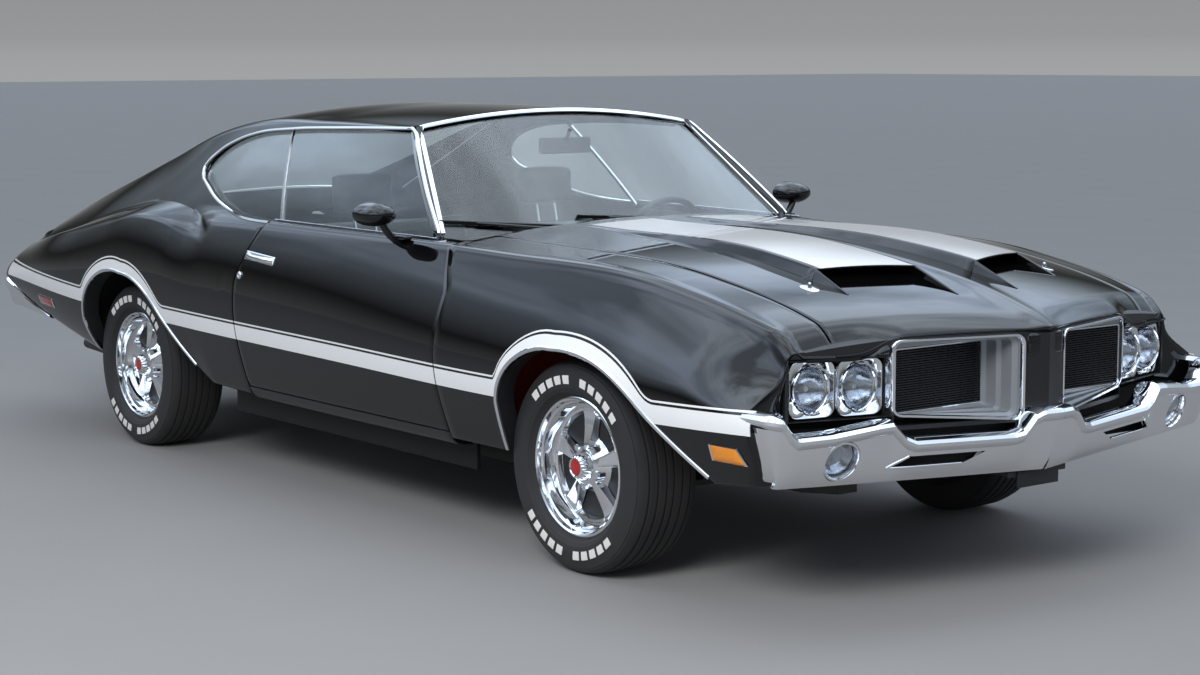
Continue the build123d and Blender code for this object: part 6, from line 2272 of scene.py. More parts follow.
        side = np.array([-0.935, 0.570, 1.262]) * (1 - t) + np.array([-1.640, 0.570, 0.955]) * t
        y = np.linspace(0.570, -0.570, 31)[:, None]
        top = np.concatenate([np.full_like(y, -0.935), y, 1.302 - 0.040 * (y / 0.575) ** 2], 1)
        ring = np.concatenate([side[::-1], top[1:-1], side * np.array([1.0, -1.0, 1.0])])
        trim = Workbench.sweep("rear_window_trim", spaced(ring, 110), (-0.4, 0.0, 0.9), round_trim)
        dress(trim, "root", CHROME)

    def build(self) -> None:
        """Build and dress the glazing."""
        self.windshield()
        self.pillars()
        self.side_glass()
        self.bright_lines()


@dataclass
class Fittings:
    """Door handles, locks, mirrors, hood pins and wipers."""

    def handles(self) -> None:
        """Build the door handles and locks."""
        x = np.linspace(-0.415 + 0.06, -0.180, 28)
        z = 0.829 - 0.015 * (x + 0.42) / 0.25
        out = 0.024 * np.sin(np.clip((x - x[0]) / (x[-1] - x[0]), 0, 1) * math.pi) ** 0.35
        path = np.stack([x, BODY.flank(x, z) + out - 0.004, z], 1)
        bar = Workbench.sweep("bar", path, (0, 1, 0.2), round_section(0.0105, 14, 0.62))
        plate_x = np.linspace(x[0] - 0.012, x[-1] + 0.012, 16)[:, None]
        rise = np.linspace(-0.015, 0.015, 6)[None, :]
        pz = 0.829 - 0.015 * (plate_x + 0.42) / 0.25 + rise
        plate = Workbench.grid("plate", on_skin(plate_x + 0 * rise, pz, BODY.flank, 0.003), (None, 0.0, 0.8))
        Workbench.apply(plate, "SOLIDIFY", thickness=0.005, offset=-1.0)
        Workbench.apply(plate, "BEVEL", width=0.0015, segments=2, limit_method="ANGLE")
        y = float(BODY.flank(np.array(-0.372), np.array(0.752)))
        lock = Workbench.turned("lock", [(0.0, -0.004), (0.0135, -0.004), (0.0135, 0.003), (0.011, 0.006),
                                         (0.005, 0.006), (0.004, 0.004),
                                         (0.0, 0.004)], (-0.372, y, 0.752), (0, 1, 0.1), 40)
        handle = Workbench.join("door_handle", [Workbench.smooth(bar), Workbench.smooth(plate), lock])
        dress_both(handle, "door_handle", "door_*", CHROME)

    def mirrors(self) -> None:
        """Build the bullet mirrors on their stalks."""
        spot = Vector((0.490, 0.912, 1.012))
        rings = []
        for along, scale in ((-0.046, 0.90), (-0.046, 0.985), (-0.040, 1.0), (-0.010, 0.985), (0.020, 0.90),
                             (0.042, 0.72), (0.056, 0.48), (0.062, 0.20)):
            turns = np.linspace(0, 2 * math.pi, 48, endpoint=False)
            rings.append(np.stack([
                np.full(48, spot.x + along),
                spot.y + 0.062 * scale * np.cos(turns) * (1 + 0.06 * np.cos(2 * turns)),
                spot.z + 0.040 * scale * np.sin(turns)], 1))
        shell = Workbench.smooth(Workbench.from_rings("mirror_shell", np.stack(rings)), 40)
        t = np.linspace(0, 1, 10)[:, None]
        low_end, high_end, bow = np.array([(0.508, 0.838, 0.918), (0.500, 0.900, 0.985), (0, 0.006, -0.004)])
        foot = low_end * (1 - t) + high_end * t + bow * 4 * t * (1 - t)
        stalk = Workbench.sweep("stalk", foot, (1, 0, 0), round_section(0.012, 14))
        base = Workbench.block("base", (0.455, 0.822, 0.930), (0.560, 0.856, 0.942), 0.004)
        head = Workbench.join("mirror_head", [shell, stalk, base])
        dress_both(head, "mirror_head", "door_*", BLACK_PAINT, "mirror_*")
        turns = np.linspace(0, 2 * math.pi, 48, endpoint=False)
        rings = [np.stack([np.full(48, spot.x - 0.046 + dx), spot.y + 0.055 * k * np.cos(turns),
                           spot.z + 0.0345 * k * np.sin(turns)], 1)
                 for dx, k in ((0.002, 1.0), (-0.0015, 1.0), (-0.002, 0.97))]
        face = Workbench.smooth(Workbench.from_rings("mirror_face", np.stack(rings)), 40)
        dress_both(face, "mirror_face", "door_*", REFLECTOR)

    def pins(self) -> None:
        """Build the hood pins on their oval plates."""
        x, y = 2.076, 0.490
        z = float(BODY.top(np.array(x), np.array(y)))
        turns = np.linspace(0, 2 * math.pi, 40, endpoint=False)
        rings = []
        for a, b, lift in ((0.034, 0.021, -0.002), (0.034, 0.021, 0.0015), (0.031, 0.018, 0.003),
                           (0.020, 0.010, 0.0022)):
            px, py = x + a * np.cos(turns), y + b * np.sin(turns)
            rings.append(np.stack([px, py, BODY.top(px, py) + lift], 1))
        plate = Workbench.smooth(Workbench.from_rings("pin_plate", np.stack(rings)), 40)
        pin = Workbench.turned("pin", [(0.0, -0.004), (0.006, -0.004), (0.006, 0.012), (0.004, 0.017),
                                       (0.0, 0.018)], (x, y, z), (0, 0, 1), 24)
        dress_both(Workbench.join("hood_pin", [plate, pin]), "hood_pin", "hood", CHROME)

    def wipers(self) -> None:
        """Build the two wipers at the foot of the windshield."""
        glazing = Glazing()
        parts = []
        for root_y, tip_y in ((0.36, -0.10), (-0.22, -0.60)):
            t = np.linspace(0, 1, 16)
            y = root_y + (tip_y - root_y) * t
            z = 0.940 + 0.038 * t
            arm = np.stack([glazing.screen_x(y, z) + 0.012, y, z], 1)
            arm[0] = (glazing.screen_x(root_y, 0.925) + 0.04, root_y, 0.925)
            parts.append(Workbench.sweep("arm", smooth_line(arm, 24), (0.6, 0, 0.8),
                                         round_section(0.0045, 8, 0.5)))
            z = 0.955 + 0.030 * t
            y = root_y - 0.06 + (tip_y - root_y - 0.06) * t
            blade = np.stack([glazing.screen_x(y, z) + 0.006, y, z], 1)
            section = [(-0.003, -0.007), (0.003, -0.007), (0.002, 0.006), (-0.002, 0.006)]
            parts.append(Workbench.sweep("blade", blade, (0.6, 0, 0.8), section))
        dress(Workbench.join("wipers", parts), "root", SATIN_BLACK)

    def build(self) -> None:
        """Build and dress the fittings."""
        self.handles()
        self.mirrors()
        self.pins()
        self.wipers()


@dataclass
class Underbody:
    """Wheelhouse liners, inner sills and the frame without its horns."""

    front_line: tuple[tuple[float, float], ...] = (
        (1.078, 0.345), (1.090, 0.500), (1.184, 0.660), (1.430, 0.735), (1.700, 0.724), (1.900, 0.622),
        (2.120, 0.430))
    rear_line: tuple[tuple[float, float], ...] = (
        (-0.720, 0.350), (-0.955, 0.600), (-1.100, 0.700), (-1.290, 0.735), (-1.580, 0.682), (-1.735, 0.490),
        (-1.745, 0.400))
    wall_foot_z: float = 0.400
    horn_cut_x: float = 2.140
    pillar_x: float = 0.876
    pillar_y: float = 0.480
    pillar_z: tuple[float, float] = (0.335, 0.858)

    def liner(self, name: str, line: Sequence[tuple[float, float]], inner: float, outer: float,
              skin: Callable, finish: Finish) -> None:
        """Build the liners over one axle's wheels.

        Args:
            name: The stem of the pieces' names.
            line: Side-view line of the liner.
            inner: Half width of its inner wall.
            outer: Greatest half width of its open edge.
            skin: Half width of the body from x and z, that it stays inside.
            finish: What it is painted with.
        """
        path = smooth_line(line, 44)
        edge = np.minimum(skin(path[:, 0], path[:, 1]) - 0.022, outer)[:, None]
        across = inner + (edge - inner) * np.linspace(0, 1, 7)
        sheet = np.stack([path[:, :1] + 0 * across, across, path[:, 1:] + 0 * across], -1)
        centre = (float(path[:, 0].mean()), None, 0.30)
        parts = [Workbench.grid("arch", sheet, centre)]
        high = path[path[:, 1] > self.wall_foot_z + 0.01]
        t = np.linspace(0, 1, 6)[None, :]
        z = high[:, 1:] + (self.wall_foot_z - high[:, 1:]) * t
        wall = np.stack([high[:, :1] + 0 * t, np.full_like(z, inner), z], -1)
        parts.append(Workbench.grid("wall", wall, (None, 0.9, None)))
        piece = Workbench.join("liner", parts, weld=0.0005)
        Workbench.sheet_metal(piece, wall=-0.004, edge=0)
        dress_both(piece, name, "root", finish)

    def hinge_pillars(self) -> None:
        """Build the walls that close the body ahead of each door."""
        z = np.linspace(*self.pillar_z, 16)[:, None]
        t = np.linspace(0, 1, 12)[None, :]
        edge = BODY.flank(np.full_like(z, self.pillar_x), z) - 0.018
        y = self.pillar_y + (edge - self.pillar_y) * t
        wall = np.stack([np.full_like(y, self.pillar_x), y, z + 0 * t], -1)
        piece = Workbench.sheet_metal(Workbench.grid("pillar", wall, (1.5, None, None)), 0.004, 0)
        dress_both(piece, "hinge_pillar", "root", BLACK_PAINT)

    def build(self) -> None:
        """Build and dress the underbody."""
        self.hinge_pillars()
        self.liner("front_wheelhouse", self.front_line, 0.468, 0.915, BODY.flank, RED_LINER)
        self.liner("rear_wheelhouse", self.rear_line, 0.605, 0.920, BODY.quarter, MATT_BLACK)
        sill = Workbench.block("sill", (-0.700, 0.770, 0.215), (0.860, 0.784, 0.350), 0.002)
        dress_both(sill, "inner_sill", "root", MATT_BLACK)
        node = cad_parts["chassis_frame"]
        copy = bpy.data.objects.new("frame_rails", node.data.copy())
        copy.data.transform(node.matrix_world)
        bpy.context.scene.collection.objects.link(copy)
        Workbench.edit(copy, lambda: bpy.ops.mesh.remove_doubles(threshold=1e-5))
        tool = Workbench.block("horn_cutter", (self.horn_cut_x, -0.8, 0.1), (2.7, 0.8, 0.6), 0)
        Workbench.apply(copy, "BOOLEAN", operation="DIFFERENCE", object=tool, solver="EXACT")
        bpy.data.objects.remove(tool)
        dress(Workbench.smooth(copy), "root", FRAME_BLACK, ["chassis_frame"])


@dataclass
class Engine:
    """Engine with its valve covers, air cleaner and radiator."""

    block_low: tuple[float, float, float] = (1.085, -0.200, 0.330)
    block_high: tuple[float, float, float] = (1.760, 0.200, 0.560)
    cover_centre: tuple[float, float, float] = (1.420, 0.195, 0.640)
    cleaner: tuple[float, float, float] = (1.420, 0.0, 0.700)

    def build(self) -> None:
        """Build and dress the engine and what stands round it."""
        parts = [Workbench.block("block", self.block_low, self.block_high, 0.020),
                 Workbench.block("manifold", (1.140, -0.110, 0.540), (1.690, 0.110, 0.650), 0.030)]
        covers = []
        x, y, z = self.cover_centre
        for s in (1, -1):
            head = Workbench.block("head", (-0.290, -0.085, -0.160), (0.290, 0.085, -0.030), 0.012)
            cover = Workbench.block("cover", (-0.275, -0.070, -0.032), (0.275, 0.070, 0.045), 0.026)
            for piece in (head, cover):
                piece.data.transform(Matrix.Translation((x, s * y, z))
                                     @ Matrix.Rotation(-s * math.radians(35), 4, "X"))
            parts.append(head)
            covers.append(cover)
        dress(Workbench.join("engine_castings", parts), "root", ENGINE_PAINT,
              ["engine_block"])
        dress(Workbench.join("valve_covers", covers), "root", SATIN_CHROME)
        profile = [(0.0, -0.060), (0.090, -0.060), (0.095, -0.020), (0.175, -0.018), (0.180, -0.012),
                   (0.180, 0.040), (0.172, 0.046), (0.040, 0.052), (0.0, 0.052)]
        dress(Workbench.turned("air_cleaner", profile, self.cleaner, (0, 0, 1), 64), "root",
              SATIN_BLACK)
        lid = [(0.0, 0.052), (0.110, 0.050), (0.116, 0.055), (0.030, 0.060), (0.012, 0.078), (0.0, 0.080)]
        dress(Workbench.turned("air_cleaner_lid", lid, self.cleaner, (0, 0, 1), 64), "root", CHROME)
        radiator = [Workbench.block("core", (2.060, -0.330, 0.330), (2.110, 0.330, 0.700), 0.004),
                    Workbench.block("tank", (2.045, -0.335, 0.690), (2.125, 0.335, 0.745), 0.018),
                    Workbench.turned("cap", [(0.0, 0.0), (0.030, 0.0), (0.030, 0.012), (0.0, 0.014)],
                                     (2.085, 0.180, 0.744), (0, 0, 1), 32)]
        dress(Workbench.join("radiator", radiator), "root", SATIN_BLACK)
        turns = np.linspace(0, 2 * math.pi, 5, endpoint=False)
        fan = [Workbench.turned("pulley", [(0.0, -0.02), (0.070, -0.02), (0.070, 0.02), (0.0, 0.02)],
                                (1.790, 0, 0.470), (1, 0, 0), 40)]
        for turn in turns:
            blade = Workbench.block("blade", (1.825, 0.030, -0.040), (1.832, 0.190, 0.040), 0.002)
            blade.data.transform(Matrix.Translation((0, 0, 0.470)) @ Matrix.Rotation(float(turn), 4, "X"))
            fan.append(blade)
        fan.append(Workbench.sweep("shaft", np.linspace((1.755, 0, 0.470), (1.835, 0, 0.470), 4), (0, 0, 1),
                                   round_section(0.020, 16)))
        dress(Workbench.join("cooling_fan", fan), "root", SATIN_BLACK)
        battery = Workbench.block("battery", (1.930, 0.340, 0.560), (2.040, 0.450, 0.700), 0.006)
        dress(battery, "root", PLASTIC)


@dataclass(frozen=True)
class Cushion:
    """One padded piece: its side outline, its width and how it swells."""

    name: str
    outline: tuple[tuple[float, float], ...]
    low_y: float
    high_y: float
    axis: tuple[float, float]
    channels: tuple[float, ...] = ()
    cross_channels: tuple[float, ...] = ()
    voxel: float = 0.012
    cap: float = 0.024
    depth: float = 0.007
    width: float = 0.007

    def block(self) -> bpy.types.Object:
        """Return the plain closed form that the cushion starts from."""
        outline = outlined(np.array(self.outline), 6)
        rings = np.stack([np.stack([outline[:, 0], np.full(len(outline), y), outline[:, 1]], 1)
                          for y in np.linspace(self.low_y, self.high_y, 7)])
        return Workbench.from_rings(self.name, rings)

    def build(self) -> bpy.types.Object:
        """Return the padded cushion, swollen by cloth simulation."""
        piece = self.block()
        Workbench.apply(piece, "REMESH", mode="VOXEL", voxel_size=self.voxel, use_smooth_shade=True)
        count = len(piece.data.vertices)
        start = np.empty(count * 3, np.float32)
        piece.data.vertices.foreach_get("co", start)
        Workbench.only(piece)
        cloth = piece.modifiers.new("swell", "CLOTH")
        cloth.settings.quality = 4
        cloth.settings.use_pressure = True
        cloth.settings.uniform_pressure_force = 4.0
        cloth.settings.effector_weights.gravity = 0.0
        cloth.settings.tension_stiffness = 15.0
        cloth.settings.compression_stiffness = 15.0
        cloth.collision_settings.use_collision = False
        for step in range(1, 21):
            bpy.context.scene.frame_set(step)
        bpy.ops.object.modifier_apply(modifier="swell")
        bpy.context.scene.frame_set(1)
        swollen = np.empty(count * 3, np.float32)
        piece.data.vertices.foreach_get("co", swollen)
        move = (swollen - start).reshape(-1, 3)
        length = np.linalg.norm(move, axis=1, keepdims=True)
        move *= np.minimum(1.0, self.cap / np.maximum(length, 1e-9))
        piece.data.vertices.foreach_set("co", (start.reshape(-1, 3) + move).ravel())
        piece.data.update()
        Workbench.apply(piece, "SMOOTH", factor=0.5, iterations=2)
        Workbench.apply(piece, "SUBSURF", levels=1, render_levels=1)
        self.sew(piece)
        Workbench.only(piece)
        bpy.ops.object.shade_smooth()
        return piece

    def sew(self, piece: bpy.types.Object) -> None:
        """Press the sewn channels into the face of the cushion.

        Args:
            piece: The cushion.
        """
        count = len(piece.data.vertices)
        co, normal = np.empty(count * 3, np.float32), np.empty(count * 3, np.float32)
        piece.data.vertices.foreach_get("co", co)
        piece.data.vertices.foreach_get("normal", normal)
        co, normal = co.reshape(-1, 3), normal.reshape(-1, 3)
        face = np.array([-self.axis[1], 0.0, self.axis[0]])
        along = co[:, 0] * self.axis[0] + co[:, 2] * self.axis[1]
        faced = ease(normal @ face, 0.25, 0.75)
        first, last = self.span()
        reach = ease(along, first, first + 0.03) * (1 - ease(along, last - 0.03, last))
        press = np.zeros(count)
        for y in self.channels:
            press = np.maximum(press, np.exp(-(((co[:, 1] - y) / self.width) ** 2)) * reach)
        inside = ease(co[:, 1], self.low_y + 0.03, self.low_y + 0.06)
        inside *= 1 - ease(co[:, 1], self.high_y - 0.06, self.high_y - 0.03)
        for place in self.cross_channels:
            press = np.maximum(press,
                               np.exp(-(((along - place) / self.width) ** 2)) * np.maximum(inside, 0.6))
        co -= normal * (press * faced * self.depth)[:, None]
        piece.data.vertices.foreach_set("co", co.ravel())
        piece.data.update()

    def span(self) -> tuple[float, float]:
        """Return where the cushion's face starts and ends along its own direction, past its borders."""
        along = [x * self.axis[0] + z * self.axis[1] for x, z in self.outline]
        return min(along) + 0.06, max(along) - 0.06


@dataclass
class Interior:
    """Seats, dashboard, steering wheel, trim panels and headliner."""

    back_lean: tuple[float, float] = (-0.265, 0.964)

    def cushions(self) -> None:
        """Build the padded seats."""
        pleats = (0.300, 0.356, 0.4125, 0.469, 0.525)
        wide = (0.185, 0.255, 0.325, 0.395, 0.465)
        seat = Cushion("seat", ((-0.190, 0.340), (0.205, 0.345), (0.232, 0.385), (0.222, 0.440),
                                (-0.185, 0.420)), 0.182, 0.643,
                       (1.0, 0.06), pleats, (0.165,))
        back = Cushion("back", ((-0.245, 0.405), (-0.190, 0.440), (-0.322, 0.885), (-0.350, 0.902),
                                (-0.400, 0.895), (-0.335, 0.560)),
                       0.190, 0.635, self.back_lean, pleats, (0.905,))
        rest = Cushion("rest", ((-0.352, 0.955), (-0.366, 1.078), (-0.398, 1.090), (-0.440, 1.080),
                                (-0.428, 0.950)), 0.298, 0.527,
                       self.back_lean, voxel=0.010, cap=0.012)
        for name, cushion in (("front_seat_cushion", seat), ("front_seat_back", back),
                              ("front_headrest", rest)):
            for side, made in both_sides(cushion.build(), name).items():
                node = ["front_seats"] if cushion is seat and side is Side.LEFT else []
                dress(made, "root", VINYL, node)
        bench = Cushion("bench", ((-0.570, 0.340), (-0.860, 0.455), (-1.000, 0.455), (-0.985, 0.500),
                                  (-0.565, 0.462)), -0.535, 0.535, (-1.0, -0.10), voxel=0.014)
        bench_back = Cushion("bench_back", ((-1.020, 0.480), (-0.965, 0.520), (-1.102, 0.872),
                                            (-1.130, 0.882), (-1.170, 0.865)), -0.535, 0.535,
                             (-0.34, 0.94), tuple(s * v for v in wide for s in (-1, 1)), voxel=0.014)
        for name, cushion in (("rear_seat_cushion", bench), ("rear_seat_back", bench_back)):
            made = cushion.build()
            made.name = made.data.name = name
            node = ["rear_seat"] if cushion is bench else []
            dress(made, "root", VINYL, node)
        posts = []
        for y in (0.370, 0.455):
            posts.append(Workbench.sweep("post", np.linspace((-0.372, y, 0.880), (-0.398, y, 0.985), 6),
                                         (0, 1, 0), round_section(0.006, 12)))
        dress_both(Workbench.join("posts", posts), "headrest_posts", "root", CHROME)
        bases = Workbench.block("base", (-0.165, 0.200, 0.180), (0.195, 0.625, 0.345), 0.012)
        dress_both(bases, "seat_base", "root", PLASTIC)

    def dashboard(self) -> None:
        """Build the padded dashboard with its gauges."""
        section = np.array([(0.690, 0.905), (0.560, 0.912), (0.465, 0.902), (0.432, 0.882), (0.428, 0.858),
                            (0.446, 0.838), (0.470, 0.815), (0.480, 0.740), (0.470, 0.705), (0.478, 0.665),
                            (0.520, 0.645), (0.690, 0.660)])
        section = smooth_line(np.concatenate([section, section[:1]]), 61)[:-1]
        rings = []
        for y in np.linspace(-0.690, 0.690, 24):
            ring = np.stack([section[:, 0] + 0.018 * (abs(y) / 0.69) ** 3, np.full(len(section), y),
                             section[:, 1]], 1)
            rings.append(ring)
        pad = Workbench.smooth(Workbench.from_rings("dash_pad", np.stack(rings)), 40)
        dress(pad, "root", VINYL, ["dashboard"])
        face = Workbench.block("face", (0.462, 0.170, 0.722), (0.476, 0.590, 0.822), 0.006)
        dress(face, "root", SATIN_CHROME)
        face.name = face.data.name = "dash_face"
        dials, rims = [], []
        for y in (0.250, 0.380, 0.510):
            spot = (0.462, y, 0.772)
            dials.append(Workbench.turned("dial", [(0.0, 0.0), (0.040, 0.0), (0.040, 0.004), (0.0, 0.004)],
                                          spot, (-1, 0, 0), 40))
            rims.append(Workbench.turned("rim", [(0.040, 0.0), (0.045, 0.0), (0.044, 0.008), (0.040, 0.006)],
                                         spot, (-1, 0, 0), 40))
        dress(Workbench.join("gauge_faces", dials), "root", MATT_BLACK)
        dress(Workbench.join("gauge_rims", rims), "root", CHROME)
        column = Workbench.sweep("column", np.linspace((0.345, 0.380, 0.832), (0.600, 0.380, 0.690), 8),
                                 (0, 0, 1), round_section(0.026, 20))
        dress(column, "root", PLASTIC)
        column.name = column.data.name = "steering_column"

    def wheel(self) -> None:
        """Build the steering wheel."""
        hub, axis = Vector((0.330, 0.380, 0.840)), Vector((-0.883, 0, 0.469))
        turns = np.linspace(0, 2 * math.pi, 14, endpoint=False)
        rim = Workbench.turned("rim", [(0.184 + 0.012 * math.cos(t), 0.012 * math.sin(t)) for t in turns],
                               hub, axis, 72, 60)
        boss = Workbench.turned("boss", [(0.0, -0.035), (0.040, -0.035), (0.046, -0.006), (0.036, 0.010),
                                         (0.0, 0.016)], hub, axis, 40, 40)
        up = Vector((0.469, 0, 0.883))
        spokes = []
        for angle in (math.radians(-100), math.radians(100), math.radians(180)):
            way = up * math.cos(angle) + Vector((0, 1, 0)) * math.sin(angle)
            path = [hub + way * r + axis * (-0.012 * (1 - r / 0.18)) for r in np.linspace(0.030, 0.180, 8)]
            spokes.append(Workbench.sweep("spoke", np.array(path), tuple(axis),
                                          [(-0.018, -0.002), (0.018, -0.002), (0.018, 0.002),
                                           (-0.018, 0.002)]))
        dress(Workbench.join("steering_rim", [rim, boss]), "root", PLASTIC,
              ["steering_wheel"])
        dress(Workbench.join("steering_spokes", spokes), "root", SATIN_CHROME)

    def panels(self) -> None:
        """Build the door cards, quarter trim, headliner, console and rear-view mirror."""
        v = np.linspace(0, 1, 20)[None, :]
        u = np.linspace(0, 1, 30)[:, None]
        z = 0.385 + 0.525 * v + 0 * u
        x = line_x(DOOR_REAR, z) + 0.030 + (line_x(DOOR_FRONT, z) - line_x(DOOR_REAR, z) - 0.060) * u
        card = Workbench.grid("card", np.stack([x, np.minimum(BODY.flank(x, z), 0.9) - 0.062, z], -1),
                              (None, 2.0, None))
        Workbench.sheet_metal(card, wall=0.014, edge=0.003)
        rest = Workbench.block("armrest", (-0.150, 0.735, 0.610), (0.330, 0.800, 0.665), 0.018)
        dress_both(Workbench.join("door_card", [card, rest]), "door_card", "door_*", VINYL)
        line = np.array(Shell.window_low)
        x = -0.440 - 0.640 * u + 0 * v
        top = np.interp(-x, -line[:, 0], line[:, 1]) - 0.006
        z = 0.400 + (top - 0.400) * v
        trim = Workbench.grid("trim", np.stack([x, np.minimum(BODY.quarter(x, z) - 0.055, 0.780), z], -1),
                              (None, 2.0, None))
        Workbench.sheet_metal(trim, wall=0.010, edge=0.002)
        dress_both(trim, "quarter_trim", "root", VINYL)
        y = np.linspace(-0.555, 0.555, 25)[None, :]
        x = np.linspace(-0.925, 0.225, 30)[:, None]
        liner = Workbench.grid("headliner", np.stack([x + 0 * y, y + 0 * x, BODY.roof(x, y) - 0.030], -1),
                               (None, None, 9.0))
        dress(Workbench.sheet_metal(liner, wall=0.006, edge=0), "root", MATT_BLACK)
        console = Workbench.block("console", (-0.420, -0.105, 0.300), (0.420, 0.105, 0.500), 0.020)
        dress(console, "root", PLASTIC)
        shell = Workbench.block("mirror", (0.275, -0.110, 1.175), (0.297, 0.110, 1.232), 0.008)
        stem = Workbench.sweep("stem", np.linspace((0.290, 0, 1.215), (0.318, 0, 1.262), 6), (0, 1, 0),
                               round_section(0.007, 12))
        dress(Workbench.join("cabin_mirror", [shell, stem]), "root", PLASTIC)

    def build(self) -> None:
        """Build and dress the interior."""
        self.cushions()
        self.dashboard()
        self.wheel()
        self.panels()


FRAME_FINISHES: dict[str, Finish | GlassFinish] = {
    "nose_panel": SATIN_BLACK, "cowl": BLACK_PAINT, "rear_shelf": BLACK_PAINT, "tail_panel": BLACK_PAINT,
    "tail_lamps": RED_LENS, "windshield": CLEAR_GLASS, "rear_window": CLEAR_GLASS,
    "door_glass_right": CLEAR_GLASS, "door_glass_left": CLEAR_GLASS, "quarter_glass": CLEAR_GLASS,
    "mirror_right": PLASTIC, "mirror_left": PLASTIC, "headlamps": LAMP_GLASS, "headlamp_bezels": CHROME,
    "grilles": ARGENT, "front_bumper": CHROME, "bumper_lamps": LAMP_GLASS, "rear_bumper": CHROME,
    "floor_pan": FRAME_BLACK, "chassis_frame": FRAME_BLACK, "engine_block": ENGINE_PAINT,
    "driveline": CAST_IRON, "rear_axle": CAST_IRON, "fuel_tank": STEEL, "exhaust": STEEL,
    "front_arms": FRAME_BLACK, "front_seats": VINYL, "rear_seat": VINYL, "dashboard": PLASTIC,
    "steering_wheel": PLASTIC, "knuckle_left": CAST_IRON, "knuckle_right": CAST_IRON,
}


def dress_frame() -> None:
    """Give every frame node that stays in view its finish."""
    for name, finish in FRAME_FINISHES.items():
        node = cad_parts[name]
        node.data.materials.clear()
        node.data.materials.append(finish.material())


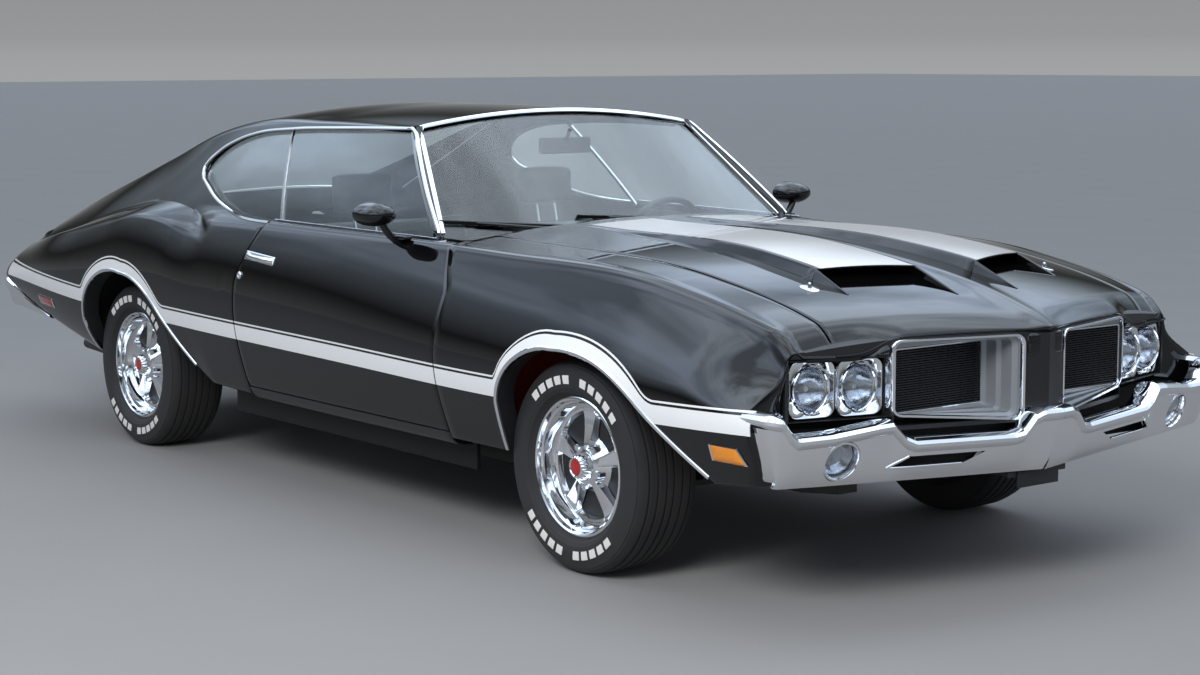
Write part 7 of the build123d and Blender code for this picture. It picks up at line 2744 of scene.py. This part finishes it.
@dataclass
class Studio:
    """Pale floor, soft lamps, plain surroundings and the camera."""

    camera_place: tuple[float, float, float] = (6.6915, -4.8175, 1.5229)
    azimuth: float = 52.168
    elevation: float = 7.128
    roll: float = -0.134
    lens: float = 67.88
    floor_size: float = 240.0
    surround: tuple[tuple[float, tuple[float, float, float]], ...] = (
        (0.499, (0.36, 0.365, 0.37)), (0.503, (0.31, 0.315, 0.32)), (0.545, (0.22, 0.225, 0.23)),
        (0.60, (0.045, 0.048, 0.046)), (0.655, (0.28, 0.33, 0.38)), (0.74, (0.58, 0.70, 0.88)),
        (1.0, (0.80, 0.89, 1.0)))

    def world(self) -> None:
        """Light the scene softly and show a pale surround."""
        world = bpy.data.worlds.new("surround")
        bpy.context.scene.world = world
        world.use_nodes = True
        tree = world.node_tree
        soft = tree.nodes["Background"]
        soft.inputs[0].default_value = (0.80, 0.86, 0.95, 1)
        soft.inputs[1].default_value = 0.55
        place = self.node(tree, "TexCoord")
        parts = self.node(tree, "SeparateXYZ")
        ramp = self.node(tree, "ValToRGB")
        while len(ramp.color_ramp.elements) < len(self.surround):
            ramp.color_ramp.elements.new(0.5)
        for element, (position, color) in zip(ramp.color_ramp.elements, self.surround):
            element.position, element.color = position, (*color, 1)
        shift = self.node(tree, "MapRange", {"From Min": -1.0})
        shown = self.node(tree, "Background")
        noise = self.node(tree, "TexNoise", {"Scale": 3.2, "Detail": 5.0})
        cloud = self.node(
            tree, "MapRange", {"From Min": 0.40, "From Max": 0.62, "To Min": 1.3, "To Max": 3.4})
        above = self.node(tree, "MapRange", {"From Min": 0.18, "From Max": 0.42})
        strength = self.node(tree, "Mix", {2: 1.0})
        path = self.node(tree, "LightPath")
        seen, reflected = self.node(tree, "Math"), self.node(tree, "Math")
        seen.operation = reflected.operation = "MAXIMUM"
        mix = self.node(tree, "MixShader")
        links = (
            (place.outputs["Generated"], parts.inputs[0]), (parts.outputs["Z"], shift.inputs["Value"]),
            (shift.outputs[0], ramp.inputs[0]), (ramp.outputs[0], shown.inputs[0]),
            (place.outputs["Generated"], noise.inputs["Vector"]), (noise.outputs[0], cloud.inputs["Value"]),
            (parts.outputs["Z"], above.inputs["Value"]), (above.outputs[0], strength.inputs[0]),
            (cloud.outputs[0], strength.inputs[3]), (strength.outputs[0], shown.inputs[1]),
            (path.outputs["Is Camera Ray"], seen.inputs[0]), (path.outputs["Is Glossy Ray"], seen.inputs[1]),
            (seen.outputs[0], reflected.inputs[0]),
            (path.outputs["Is Transmission Ray"], reflected.inputs[1]), (reflected.outputs[0], mix.inputs[0]),
            (soft.outputs[0], mix.inputs[1]), (shown.outputs[0], mix.inputs[2]),
            (mix.outputs[0], tree.nodes["World Output"].inputs["Surface"]))
        for output, socket in links:
            tree.links.new(output, socket)

    @staticmethod
    def node(tree: bpy.types.NodeTree, kind: str,
             values: dict[str | int, float] | None = None) -> bpy.types.Node:
        """Add a node and set some of its inputs.

        Args:
            tree: The node tree.
            kind: The node's type, without its prefix.
            values: Input values by input name or place.

        Returns:
            The node.
        """
        made = tree.nodes.new(f"ShaderNode{kind}")
        for key, value in (values or {}).items():
            made.inputs[key].default_value = value
        return made

    def floor(self) -> None:
        """Lay the floor."""
        bpy.ops.object.select_all(action="DESELECT")
        bpy.ops.mesh.primitive_plane_add(size=self.floor_size)
        floor = bpy.context.object
        floor.name = "floor"
        floor.data.materials.append(
            Finish("floor_pale", (0.300, 0.300, 0.300), 0.80, variation=0.10, scale=1.4, relief=0.3,
                   relief_scale=120).material())

    def lamp(self, name: str, place: Sequence[float], aim: Sequence[float], size: tuple[float, float],
             power: float) -> None:
        """Hang one soft rectangular lamp.

        Args:
            name: The lamp's name.
            place: Where it hangs.
            aim: The point that it faces.
            size: Its two sides.
            power: Its power in watts.
        """
        data = bpy.data.lights.new(name, "AREA")
        data.shape, data.size, data.size_y, data.energy = "RECTANGLE", size[0], size[1], power
        lamp = bpy.data.objects.new(name, data)
        bpy.context.scene.collection.objects.link(lamp)
        lamp.visible_glossy = lamp.visible_transmission = False
        lamp.location = place
        lamp.rotation_euler = (Vector(aim) - Vector(place)).to_track_quat("-Z", "Y").to_euler()

    def camera(self) -> None:
        """Set up the camera."""
        a, e, roll = (math.radians(v) for v in (self.azimuth, self.elevation, self.roll))
        back = Vector((math.sin(a) * math.cos(e), -math.cos(a) * math.cos(e), math.sin(e)))
        right = Vector((0, 0, 1)).cross(back).normalized()
        up = back.cross(right)
        turn = Matrix.Rotation(roll, 3, back)
        right, up = turn @ right, turn @ up
        data = bpy.data.cameras.new("camera")
        data.lens, data.sensor_width = self.lens, 36.0
        camera = bpy.data.objects.new("camera", data)
        bpy.context.scene.collection.objects.link(camera)
        pose = Matrix((right, up, back)).transposed().to_4x4()
        camera.matrix_world = Matrix.Translation(self.camera_place) @ pose
        bpy.context.scene.camera = camera

    def build(self) -> None:
        """Build the whole studio."""
        self.world()
        self.floor()
        self.lamp("key", (5.5, -7.0, 5.5), (0.3, 0, 0.5), (4.0, 3.0), 680)
        self.lamp("overhead", (0.5, 0.0, 6.5), (0, 0, 0.5), (6.0, 3.0), 60)
        self.camera()
        bpy.context.scene.view_settings.view_transform = "Standard"


def main() -> None:
    steps = {
        "fenders": Fenders().build, "doors": Doors().build, "shell": Shell().build, "hood": Hood().build,
        "deck lid": DeckLid().build, "side trim": SideTrim().build, "front end": FrontEnd().build,
        "front bumper": FrontBumper().build, "rear end": RearEnd().build, "markers": Markers().build,
        "glazing": Glazing().build, "fittings": Fittings().build, "underbody": Underbody().build,
        "engine": Engine().build, "interior": Interior().build,
    }
    for name, build in steps.items():
        build()
        LOG.info("built %s", name)
    for end, x, track in (("front", FRONT_AXLE_X, FRONT_TRACK), ("rear", REAR_AXLE_X, REAR_TRACK)):
        for side in Side:
            Wheel(f"{end}_{side.label}", (x, side.value * track / 2, TYRE_RADIUS), side).build()
    dress_frame()
    Studio().build()


if __name__ == "__main__":
    logging.basicConfig(level=logging.INFO, format="%(name)s: %(message)s")
    main()
